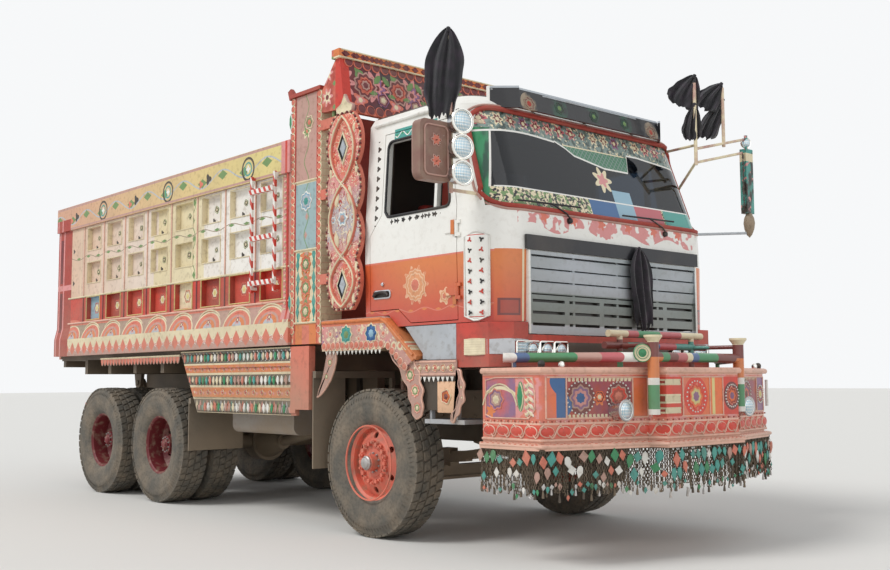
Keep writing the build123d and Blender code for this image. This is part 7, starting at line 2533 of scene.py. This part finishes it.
def crown_dress():
    """Scalloped beams, roses and leaves of the crown board."""
    parts = Parts()
    lobe = plate(polar(0.043, 16), 0.006)
    rings(lobe, [(0.007, 0.004, 0), (0.006, -0.003, 1), (0.010, 0.003, 1)])
    places = []
    for index in range(27):
        y = -1.17 + 0.09 * index
        for z in (3.285, 3.660):
            hit = on_crown(y, z)
            if hit:
                places.append(seated(*hit))
    parts.spread(lobe, places, "coral maroon")
    rose = flower_plate(0.120, 9)
    heart = flower_plate(0.070, 7)
    bud = flower_plate(0.062, 5)
    roses, hearts, buds, sprays = [], [], [], []
    leaf = plate(mirrored([(0, -0.055), (0.026, -0.015), (0.022, 0.030), (0, 0.055)]), 0.004)
    rings(leaf, [(0.005, 0.003, 0)])
    for index in range(7):
        y = -1.02 + 0.34 * index
        hit = on_crown(y, 3.490)
        roses.append(seated(*hit, turn=0.2 * index))
        hearts.append(seated(hit[0] + hit[1] * 0.004, hit[1], turn=0.4))
        if index < 6:
            buds.append(seated(*on_crown(y + 0.17, 3.395)))
            for flip in (-1, 1):
                sprays.append(seated(*on_crown(y + 0.17 + flip * 0.045, 3.560), turn=flip * 0.7))
                sprays.append(seated(*on_crown(y + 0.17 + flip * 0.095, 3.440), size=0.8, turn=flip * 1.5))
    parts.spread(rose, roses, "rose maroon coral purple")
    parts.spread(heart, hearts, "coral brick rose maroon")
    parts.spread(bud, buds, "purple maroon rose cream")
    parts.spread(leaf, sprays, "leaf")
    beam = [touch("crown", at(AHEAD_X, y, 3.715), (-1, 0, 0)) for y in (-1.25, 0.01, 1.25)]
    for dz in (-0.030, 0.030):
        parts.add(tube([s + Vector((0.001, 0, dz)) for s, _ in beam], 0.006, 1), "cream")
    diamond = plate(rhombus(0.034, 0.022), 0.004, 0.005)
    places = [facing(Vector((beam[0][0].x, -1.20 + 0.1 * index, 3.715)), (1, 0, 0)) for index in range(25)]
    parts.spread(diamond, places, "maroon")
    drop(lobe, rose, heart, bud, leaf, diamond)
    return parts.join("crown_dress", "bed", "folk_paint", 30)


def side_hangings(side, sign):
    """Drops on the side panels, valance, leaf flaps, fender lobes and step strips of one side."""
    out = Vector((0, sign, 0))
    rand = random.Random(5 if sign > 0 else 6)
    parts = Parts()

    def spot(x, z, lift=0.0, y=BODY_FACE_Y):
        return at(x, sign * (y + lift), z)

    shades = "teal cream coral white rose green"
    drop_leaf = plate(mirrored([(0, -0.040), (0.019, -0.008), (0.014, 0.018), (0, 0.030)]), 0.004)
    rings(drop_leaf, [(0.004, 0.003, 0), (0.006, -0.002, 0)])
    places = []
    for top, first, last in ((1.370, -2.62, -0.99), (1.168, -2.50, -0.99), (0.938, -2.34, -0.99)):
        count = int((last - first) / DROP_PITCH)
        for index in range(count + 1):
            hit = on_side(first + DROP_PITCH * index, top, sign, "side_skirts")
            if hit:
                places.append(
                    (
                        facing(hit[0], out, size=(1.0, 1.15, 1), turn=rand.uniform(-0.12, 0.12)),
                        rand.randrange(6),
                    )
                )
    parts.spread(drop_leaf, places, shades)
    bud = flower_plate(0.026, 5, 0.003)
    places = []
    for z, first in ((1.269, -2.55), (1.062, -2.42)):
        for index in range(12):
            hit = on_side(first + BUD_PITCH * index, z, sign, "side_skirts")
            if hit:
                places.append(seated(hit[0], out))
    parts.spread(bud, places, "cream coral rose red")
    parts.join("skirt_drops_" + side, "truck", "folk_paint", 30)
    # Valance under the body's edge
    parts = Parts()
    valance = plate(mirrored([(-0.033, 0.030), (-0.033, -0.012), (-0.018, -0.040), (0, -0.052)]), 0.005)
    rings(valance, [(0.006, 0.003, 0), (0.008, -0.002, 1)])
    places = [facing(spot(-4.56 + 0.070 * index, 1.378, -0.010), out) for index in range(25)]
    parts.spread(valance, places, "rose coral")
    parts.add(tube([spot(-4.60, 1.402, -0.008), spot(-2.84, 1.402, -0.008)], 0.010, 1), "cream")
    parts.join("valance_" + side, "bed", "folk_paint", 30)
    # Fender lobes, roundels and slanted strip
    parts = Parts()
    lobe = plate(polar(0.030, 12), 0.005)
    rings(lobe, [(0.006, 0.003, 0), (0.004, -0.002, 1), (0.008, 0.004, 1)])
    places = []
    for index in range(13):
        places.append(seated(spot(-0.480 + 0.060 * index, 1.424, 0.0, 1.247), out))
    for point, _ in along([(0.300, 1.425, 0), (0.560, 1.215, 0)], 0.060):
        hit = on_side(point.x, point.y, sign, "fenders")
        if hit:
            places.append(seated(hit[0], out))
    apron_line = [(-0.513, 1.456), (0.240, 1.456), (0.300, 1.405), (0.225, 1.386), (-0.513, 1.386)]
    apron = plate([(-sign * x, z) for x, z in apron_line], 0.012)
    parts.spread(apron, [facing(spot(0, 0, 0.0, 1.235), out)], "fender_paint")
    drop(apron)
    parts.spread(lobe, places, "peach coral")
    roundel = flower_plate(0.066, 8)
    rounds = []
    for x, z, size in (
        (-0.400, 1.515, 0.55), (-0.030, 1.535, 0.50), (-0.035, 1.470, 0.40), (0.262, 1.500, 0.55)
    ):
        rounds.append(seated(on_side(x, z, sign, "fenders")[0], out, size=size))
    parts.spread(roundel, rounds, "cream rose peach coral")
    for x, shades in ((-0.190, ("teal", "leaf")), (0.120, ("blue", "sky"))):
        place = seated(on_side(x, 1.505, sign, "fenders")[0], out, size=1.22)
        parts.spread(roundel, [place], ["cream", shades[0], shades[0], shades[1]])
    rim = [
        on_side(x, z, sign, "fenders")
        for x, z in ((-0.505, 1.606), (0.0, 1.606), (0.235, 1.606), (0.300, 1.575), (0.600, 1.335))
    ]
    parts.add(tube([s + n * 0.001 for s, n in (hit for hit in rim if hit)], 0.013, 2), "orange")
    # White teeth along the lower edges
    tooth = plate([(-0.017, 0.0), (0.017, 0.0), (0.0, -0.036)], 0.004, 0.003)
    places = [facing(spot(-0.46 + 0.048 * index, 1.390, 0.0, 1.240), out) for index in range(15)]
    places += [facing(spot(0.60 + 0.048 * index, 1.182, 0.0, 1.222), out) for index in range(9)]
    parts.spread(tooth, places, "white")
    # Carved arm in front of the wheel and the curved leaves, cut to the places they hold
    for outline, blooms in CARVED_FLAPS:
        turned = [(-sign * x, z) for x, z in outline]
        flap = plate(curve_points(turned, 0.016, 3), 0.010)
        rings(flap, [(0.007, 0.004, 0), (0.005, -0.003, 1)])
        parts.spread(flap, [facing(spot(0, 0, 0.0, 1.220), out)], "peach rose")
        drop(flap)
        places = [seated(spot(x, z, 0.0, 1.231), out, size=size) for x, z, size in blooms]
        parts.spread(roundel, places, "coral peach leaf cream")
    # Step valance with beads, orange box and the pale strip
    strip = cuboid(spot(0.575, 1.184, 0.0, 1.214), spot(1.030, 1.296, 0.0, 1.226), 0.004, 1)
    parts.add(strip, "rose")
    for z in (1.284, 1.198):
        parts.add(tube([spot(0.58, z, 0.0, 1.226), spot(1.025, z, 0.0, 1.226)], 0.006, 1), "peach")
    pearl = bead(0.013, 5, 8)
    places = [Matrix.Translation(spot(0.600 + 0.050 * index, 1.241, 0.0, 1.227)) for index in range(9)]
    parts.spread(pearl, places, "cream")
    places = [seated(spot(0.640 + 0.085 * index, 1.241, 0.0, 1.227), out, size=1.15) for index in range(5)]
    parts.spread(bud, places, "cream coral peach red")
    box = cuboid(spot(0.815, 0.935, 0.0, 1.196), spot(1.010, 1.150, 0.0, 1.214), 0.008, 2)
    parts.add(box, "pale_orange")
    places = [seated(spot(0.912, 1.045, 0.0, 1.214), out, size=2.1)]
    parts.spread(bud, places, "cream coral orange maroon")
    hanger = tube(
        [spot(0.487, 1.365, 0.0, 1.214), spot(0.487, 1.300, 0.0, 1.214), spot(0.700, 1.300, 0.0, 1.205)],
        0.007,
        1,
    )
    parts.add(hanger, "dark_trim")
    back = cuboid(spot(0.545, 0.950, 0.0, 1.190), spot(1.030, 1.300, 0.0, 1.197), 0.002, 1)
    parts.add(back, "steel")
    parts.join("fender_dress_" + side, "truck", "folk_paint", 30)
    drop(drop_leaf, bud, valance, lobe, roundel, tooth, pearl)


def body_dress():
    for side, sign in SIDES.items():
        bed_mouldings(side, sign)
        pillar_dress(side, sign)
        side_hangings(side, sign)
    crown_dress()


# Wheel nuts, seats, rear and chassis
RIM_NODES = {
    "front_rim_right": ("wheel_front_right", -1),
    "front_rim_left": ("wheel_front_left", 1),
    "rear_rims_right_1": ("wheel_rear_right_1", -1),
    "rear_rims_right_2": ("wheel_rear_right_2", -1),
    "rear_rims_left_1": ("wheel_rear_left_1", 1),
    "rear_rims_left_2": ("wheel_rear_left_2", 1),
}
NUT_COUNT = 10
NUT_CIRCLE = 0.150
SEAT_Y = 0.590


def wheel_dress(node, body, sign):
    """Ring of nuts, hub cap with its bolts and the lock ring of one wheel."""
    low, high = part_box(node)
    centre = Vector(((low[0] + high[0]) / 2, 0, AXLE_Z))
    out = Vector((0, sign, 0))
    front = node.startswith("front")
    paint = "front_rim_paint" if front else "rear_rim_paint"
    parts = Parts()
    fresh()
    bpy.ops.mesh.primitive_cylinder_add(vertices=6, radius=0.017, depth=0.022)
    nut = bpy.context.object
    with Editing(nut) as work:
        work.pick(lambda face: face.normal.z > 0.9)
        bpy.ops.mesh.inset(thickness=0.006, depth=0.002)
        bpy.ops.mesh.extrude_region_move(TRANSFORM_OT_translate={"value": (0, 0, 0.012)})
    places, inner = [], []
    for index in range(NUT_COUNT):
        angle = 2 * math.pi * (index + 0.5) / NUT_COUNT
        spoke = Vector((math.cos(angle), 0, math.sin(angle)))
        for radius, found, size in ((NUT_CIRCLE, places, 1.0), (0.070, inner, 0.5)):
            hit = touch(node, centre + spoke * radius + out * 2.0, -out)
            if hit:
                found.append(facing(hit[0] + out * 0.010 * size, out, size=size, turn=index))
    parts.spread(nut, places, paint)
    parts.spread(nut, inner, "steel_trim")
    hit = touch(node, centre + Vector((0.02, 0, 0.012)) + out * 2.0, -out)
    if hit:
        face = Vector((centre.x, hit[0].y, centre.z))
        cap = [(0.0, 0.052), (0.014, 0.052), (0.020, 0.044), (0.030, 0.040), (0.036, 0.028), (0.038, TIP_R)]
        parts.add(lathe(cap, 20, face, out), "steel_trim" if front else paint)
    ring_y = high[1] if sign > 0 else low[1]
    ring = rim_ring(
        Vector((centre.x, ring_y - sign * 0.008, centre.z)), RIM_R - 0.012, out, 0.007, paint, 48
    )
    parts.append(ring)
    drop(nut)
    return parts.join(node + "_nuts", body, "front_rim_paint" if front else "rear_rim_paint", 35)


def pad_blank(low, high, lean=0.0):
    """A cushion's starting form, leaned back by lean over its height."""
    piece = cuboid(low, high, 0.028, 3)
    foot = low.z
    tall = high.z - low.z
    for vertex in piece.data.vertices:
        vertex.co.x -= lean * (vertex.co.z - foot) / tall
    only(piece)
    even = piece.modifiers.new("even", "REMESH")
    even.mode = "VOXEL"
    even.voxel_size = 0.012
    bpy.ops.object.modifier_apply(modifier="even")
    return piece


def puffed(pieces, cap):
    """Blows the cushions up a little and holds how far they swell."""
    starts = []
    for piece in pieces:
        starts.append([vertex.co.copy() for vertex in piece.data.vertices])
        air = piece.modifiers.new("air", "CLOTH")
        air.settings.use_pressure = True
        air.settings.uniform_pressure_force = 4.0
        air.settings.effector_weights.gravity = 0.0
    for step in range(1, 21):
        bpy.context.scene.frame_set(step)
    for piece, start in zip(pieces, starts):
        only(piece)
        bpy.ops.object.modifier_apply(modifier="air")
        for vertex, first in zip(piece.data.vertices, start):
            move = vertex.co - first
            if move.length > cap:
                vertex.co = first + move.normalized() * cap
    bpy.context.scene.frame_set(1)


def seat_pads():
    """Two padded seats on their boxes, with sewn channels."""
    cushions, bases = [], []
    for y in (-SEAT_Y, SEAT_Y):
        cushions.append(pad_blank(at(0.200, y - 0.215, 1.855), at(0.680, y + 0.215, 1.965)))
        cushions.append(pad_blank(at(0.190, y - 0.210, 1.935), at(0.300, y + 0.210, 2.515), 0.100))
        bases.append(cuboid(at(0.250, y - 0.170, 1.596), at(0.630, y + 0.170, 1.858), 0.010, 2))
        bases.append(cuboid(at(0.190, y - 0.225, 1.842), at(0.690, y + 0.225, 1.866), 0.006, 2))
    puffed(cushions, 0.010)
    base = settled(merged(bases), "seat_boxes", "cab_trim", "truck", 40)
    for number, piece in enumerate(cushions):
        only(piece)
        centre = sum((Vector(corner) for corner in piece.bound_box), Vector()) / 8
        for vertex in piece.data.vertices:
            across = (vertex.co.y - centre.y) / 0.086
            seam = math.exp(-(((across - round(across)) / 0.06) ** 2)) if abs(across) < 2.3 else 0.0
            if number % 2:
                vertex.co.x -= 0.007 * seam * (
                    1 if vertex.co.x > centre.x - 0.1 * (vertex.co.z - centre.z) / 0.58 else -1
                )
            elif vertex.co.z > centre.z:
                vertex.co.z -= 0.008 * seam
        settled(piece, f"seat_pad_{number + 1}", "seat_weave", "truck", 60)
    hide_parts("seats")


GATE_BAYS_Y = (-0.847, -0.282, 0.282, 0.847)
GATE_STILES_Y = (-1.130, -0.565, 0.0, 0.565, 1.130)


def on_rear(nodes, y, z):
    """A surface seen from behind, at a height and a distance from the middle."""
    return touch(nodes, at(BEHIND_X, y, z), (1, 0, 0))


def rear_dress():
    """Flowers, diamonds and ledges of the tail door, the rear lamps and the flaps' reflectors."""
    parts = Parts()
    big = flower_plate(0.115, 10)
    small = flower_plate(0.042, 5)
    places, corners = [], []
    for y in GATE_BAYS_Y:
        for z in (1.690, 2.150, 2.610):
            places.append(seated(*on_rear("tailgate", y, z)))
            for flip in (-1, 1):
                for rise in (-1, 1):
                    corners.append(seated(*on_rear("tailgate", y + flip * 0.165, z + rise * 0.165)))
    parts.spread(big, places, "cream maroon coral yellow")
    parts.spread(small, corners, "yellow green cream red")
    diamond = plate(rhombus(0.022, 0.038), 0.004, 0.004)
    places = []
    for y in GATE_STILES_Y:
        for index in range(14):
            places.append(seated(*on_rear("tailgate", y, 1.480 + 0.100 * index)))
    parts.spread(diamond, places, "teal")
    for y in GATE_BAYS_Y:
        for z in (1.462, 1.920, 2.380, 2.830):
            line = [on_rear("tailgate", y + dy, z) for dy in (-0.235, 0.0, 0.235)]
            parts.add(tube([s + n * 0.001 for s, n in line], 0.007, 1), "peach")
    drop(big, small, diamond)
    parts.join("gate_dress", "tailgate", "folk_paint", 30)
    parts = Parts()
    for sign in (-1, 1):
        rows = ((0.790, 0.865, "amber_lens"), (0.870, 0.945, "red_lens"), (0.950, 1.010, "cream_lens"))
        for low, high, shade in rows:
            spot = on_rear("rear_lamp_bar", sign * (low + high) / 2, 0.885)[0]
            box = cuboid(
                Vector((spot.x - 0.016, sign * low, 0.852)),
                Vector((spot.x + 0.004, sign * high, 0.918)),
                0.006,
                2,
            )
            parts.add(box, shade)
        for y in (1.10, 0.95):
            hit = on_rear("mud_flaps", sign * y, 0.70)
            if hit:
                disc = lathe(
                    [(0, 0.030), (0.006, 0.030), (0.009, 0.024), (0.010, TIP_R)], 18, hit[0], (-1, 0, 0)
                )
                parts.add(disc, "red_lens")
    parts.join("rear_lamps", "truck", "lamp_glass", 30)


def chassis_bolts():
    """Rows of bolts along the frame rails."""
    fresh()
    bpy.ops.mesh.primitive_cylinder_add(vertices=6, radius=0.012, depth=0.016)
    bolt = bpy.context.object
    places = []
    for sign in (-1, 1):
        out = Vector((0, sign, 0))
        for index in range(34):
            for z in (0.885, 1.020):
                hit = touch("frame_rails", at(-5.20 + 0.185 * index, sign * 1.2, z), -out)
                if hit:
                    places.append(facing(hit[0] + out * 0.005, out))
    bolts = scatter("bolts", bolt, places)
    drop(bolt)
    settled(bolts, "chassis_bolts", "chassis_paint", "truck", 35)


def cab_fittings():
    """Gauges and gear lever inside the cab."""
    parts = Parts()
    lever = tube([at(0.92, -0.10, 1.60), at(0.88, -0.12, 1.85), at(0.80, -0.14, 2.06)], 0.010, 2, order=3)
    parts.add(lever, "steel_trim")
    knob = lathe(
        [(-0.025, 0.012), (-0.01, 0.024), (0.012, 0.026), (0.028, 0.015), (0.032, TIP_R)],
        16,
        at(0.80, -0.14, 2.075),
        (0, 0, 1),
    )
    parts.add(knob, "dark_trim")
    for y in (-0.78, -0.66, -0.52, -0.40):
        spot = touch("dashboard", at(0.5, y, 2.13), (1, 0, 0))
        if spot:
            parts.append(rim_ring(spot[0] - Vector((0.003, 0, 0)), 0.042, (-1, 0, 0), 0.005, "chrome"))
            dial = lathe([(0.0, 0.040), (0.003, 0.038), (0.004, TIP_R)], 20, spot[0], (-1, 0, 0))
            parts.add(dial, "white")
    return parts.join("cab_fittings", "truck", "cab_inside", 40)


def rest_dress():
    for node, (body, sign) in RIM_NODES.items():
        wheel_dress(node, body, sign)
    rear_dress()
    chassis_bolts()
    cab_fittings()


# Stage
CAMERA_PLACE = (6.447, -6.102, 1.152)
CAMERA_YAW = 48.595
CAMERA_PITCH = 5.083
CAMERA_ROLL = -0.286
SUN_WAY = (0.28, 0.82, -0.95)
SUN_POWER = 1.75
SUN_SPREAD = 24
FILL_WAY = (-0.9, 0.1, -0.35)
FILL_POWER = 0.55
FILL_SPREAD = 60
SOFT_POWER = 0.62
FLOOR_WIDE = 240.0
SENSOR_WIDE = 36.0
CAMERA_REACH = 400.0
CAMERA_LENS = 43.65


def plain_material(name, shade, rough=0.9):
    """One colour, without pattern or wear."""
    made = bpy.data.materials.new(name)
    made.use_nodes = True
    shader = made.node_tree.nodes["Principled BSDF"]
    shader.inputs["Base Color"].default_value = (*linear(shade), 1.0)
    shader.inputs["Roughness"].default_value = rough
    return made


def camera_view():
    """The photograph's view of the truck."""
    yaw, pitch, roll = (math.radians(v) for v in (CAMERA_YAW, CAMERA_PITCH, CAMERA_ROLL))
    ahead = Vector((-math.sin(yaw) * math.cos(pitch), math.cos(yaw) * math.cos(pitch), math.sin(pitch)))
    right = Vector((math.cos(yaw), math.sin(yaw), 0))
    up = right.cross(ahead)
    across = right * math.cos(roll) + up * math.sin(roll)
    rise = up * math.cos(roll) - right * math.sin(roll)
    lens = bpy.data.cameras.new("camera")
    lens.lens = CAMERA_LENS
    lens.sensor_width = SENSOR_WIDE
    lens.clip_end = CAMERA_REACH
    camera = bpy.data.objects.new("camera", lens)
    turned = Matrix((across, rise, -ahead)).transposed().to_4x4()
    camera.matrix_world = Matrix.Translation(at(*CAMERA_PLACE)) @ turned
    bpy.context.scene.collection.objects.link(camera)
    bpy.context.scene.camera = camera
    return camera


def lamp(name, way, power, spread):
    """A far lamp that shines along way, its light spread over some degrees."""
    data = bpy.data.lights.new(name, "SUN")
    data.energy = power
    data.angle = math.radians(spread)
    made = bpy.data.objects.new(name, data)
    made.rotation_euler = Vector(way).to_track_quat("-Z", "Y").to_euler()
    bpy.context.scene.collection.objects.link(made)
    return made


def pale_world():
    """Soft even light, and white wherever the camera or a reflection sees past the truck."""
    world = bpy.data.worlds.new("pale")
    bpy.context.scene.world = world
    world.use_nodes = True
    tree = world.node_tree
    tree.nodes.clear()
    rays = tree.nodes.new("ShaderNodeLightPath")
    seen = rays.outputs["Is Camera Ray"]
    for kind in ("Is Glossy Ray", "Is Transmission Ray"):
        either = tree.nodes.new("ShaderNodeMath")
        either.operation = "MAXIMUM"
        tree.links.new(seen, either.inputs[0])
        tree.links.new(rays.outputs[kind], either.inputs[1])
        seen = either.outputs[0]
    soft = tree.nodes.new("ShaderNodeBackground")
    soft.inputs["Color"].default_value = (0.93, 0.96, 1.0, 1.0)
    soft.inputs["Strength"].default_value = SOFT_POWER
    white = tree.nodes.new("ShaderNodeBackground")
    white.inputs["Color"].default_value = (0.93, 0.94, 0.95, 1.0)
    white.inputs["Strength"].default_value = 1.0
    blend = tree.nodes.new("ShaderNodeMixShader")
    output = tree.nodes.new("ShaderNodeOutputWorld")
    tree.links.new(seen, blend.inputs[0])
    tree.links.new(soft.outputs[0], blend.inputs[1])
    tree.links.new(white.outputs[0], blend.inputs[2])
    tree.links.new(blend.outputs[0], output.inputs["Surface"])


def build_stage():
    bpy.context.scene.view_settings.view_transform = "Standard"
    fresh()
    bpy.ops.mesh.primitive_plane_add(size=FLOOR_WIDE, location=(0, 0, 0))
    floor = bpy.context.object
    floor.name = "floor"
    floor.data.materials.append(plain_material("floor", "D9D7D2"))
    sun = lamp("sun", SUN_WAY, SUN_POWER, SUN_SPREAD)
    fill = lamp("fill", FILL_WAY, FILL_POWER, FILL_SPREAD)
    pale_world()
    camera_view()


class TRUCK_OT_paint(bpy.types.Operator):
    """Paints the truck's own pieces"""

    bl_idname = "truck.paint"
    bl_label = "Paint the truck"

    def execute(self, context):
        for name in NODES:
            coat_node(name, NODE_FINISHES.get(name, "chassis_paint"))
        return {"FINISHED"}


class TRUCK_OT_tyres(bpy.types.Operator):
    """Builds the road tyres"""

    bl_idname = "truck.tyres"
    bl_label = "Tyres"

    def execute(self, context):
        all_tyres()
        return {"FINISHED"}


class TRUCK_OT_fringe(bpy.types.Operator):
    """Hangs the chains and enamelled leaves under the bumper"""

    bl_idname = "truck.fringe"
    bl_label = "Chain fringe"

    def execute(self, context):
        chain_fringe()
        return {"FINISHED"}


class TRUCK_OT_boards(bpy.types.Operator):
    """Carves the side boards between cab and body"""

    bl_idname = "truck.boards"
    bl_label = "Carved boards"

    def execute(self, context):
        carved_boards()
        return {"FINISHED"}


class TRUCK_OT_cloths(bpy.types.Operator):
    """Ties the black cloths"""

    bl_idname = "truck.cloths"
    bl_label = "Black cloths"

    def execute(self, context):
        black_cloths()
        return {"FINISHED"}


class TRUCK_OT_cab(bpy.types.Operator):
    """Fits the seals, strips, mirrors and lamps of the cab"""

    bl_idname = "truck.cab"
    bl_label = "Cab trim"

    def execute(self, context):
        cab_trim()
        return {"FINISHED"}


class TRUCK_OT_front(bpy.types.Operator):
    """Raises the bumper's flowers and fits the front lamps and bars"""

    bl_idname = "truck.front"
    bl_label = "Front dress"

    def execute(self, context):
        front_dress()
        return {"FINISHED"}


class TRUCK_OT_body(bpy.types.Operator):
    """Moulds and hangs the ornament of the body, pillars, crown and sides"""

    bl_idname = "truck.body"
    bl_label = "Body dress"

    def execute(self, context):
        body_dress()
        return {"FINISHED"}


class TRUCK_OT_seats(bpy.types.Operator):
    """Pads the seats"""

    bl_idname = "truck.seats"
    bl_label = "Seats"

    def execute(self, context):
        seat_pads()
        return {"FINISHED"}


class TRUCK_OT_fittings(bpy.types.Operator):
    """Fits wheel nuts, the rear's ornament and lamps, bolts and cab fittings"""

    bl_idname = "truck.fittings"
    bl_label = "Wheels, rear and chassis"

    def execute(self, context):
        rest_dress()
        return {"FINISHED"}


class TRUCK_OT_stage(bpy.types.Operator):
    """Sets the floor, the lamps and the camera"""

    bl_idname = "truck.stage"
    bl_label = "Stage"

    def execute(self, context):
        build_stage()
        return {"FINISHED"}


STEPS = [
    TRUCK_OT_paint,
    TRUCK_OT_tyres,
    TRUCK_OT_fringe,
    TRUCK_OT_boards,
    TRUCK_OT_cloths,
    TRUCK_OT_cab,
    TRUCK_OT_front,
    TRUCK_OT_body,
    TRUCK_OT_seats,
    TRUCK_OT_fittings,
    TRUCK_OT_stage,
]


class TRUCK_PT_panel(bpy.types.Panel):
    """Lists the pieces of the truck"""

    bl_idname = "TRUCK_PT_panel"
    bl_label = "Decorated Truck"
    bl_space_type = "VIEW_3D"
    bl_region_type = "UI"
    bl_category = "Truck"

    def draw(self, context):
        for step in STEPS:
            self.layout.operator(step.bl_idname)


CLASSES = [TruckColours, TruckSizes, *STEPS, TRUCK_PT_panel]


def register():
    for kind in CLASSES:
        bpy.utils.register_class(kind)
    bpy.types.Scene.truck_colours = bpy.props.PointerProperty(type=TruckColours)
    bpy.types.Scene.truck_sizes = bpy.props.PointerProperty(type=TruckSizes)


def unregister():
    del bpy.types.Scene.truck_sizes
    del bpy.types.Scene.truck_colours
    for kind in reversed(CLASSES):
        bpy.utils.unregister_class(kind)


def main():
    register()
    for step in STEPS:
        group, action = step.bl_idname.split(".")
        getattr(getattr(bpy.ops, group), action)()


if __name__ == "__main__":
    main()
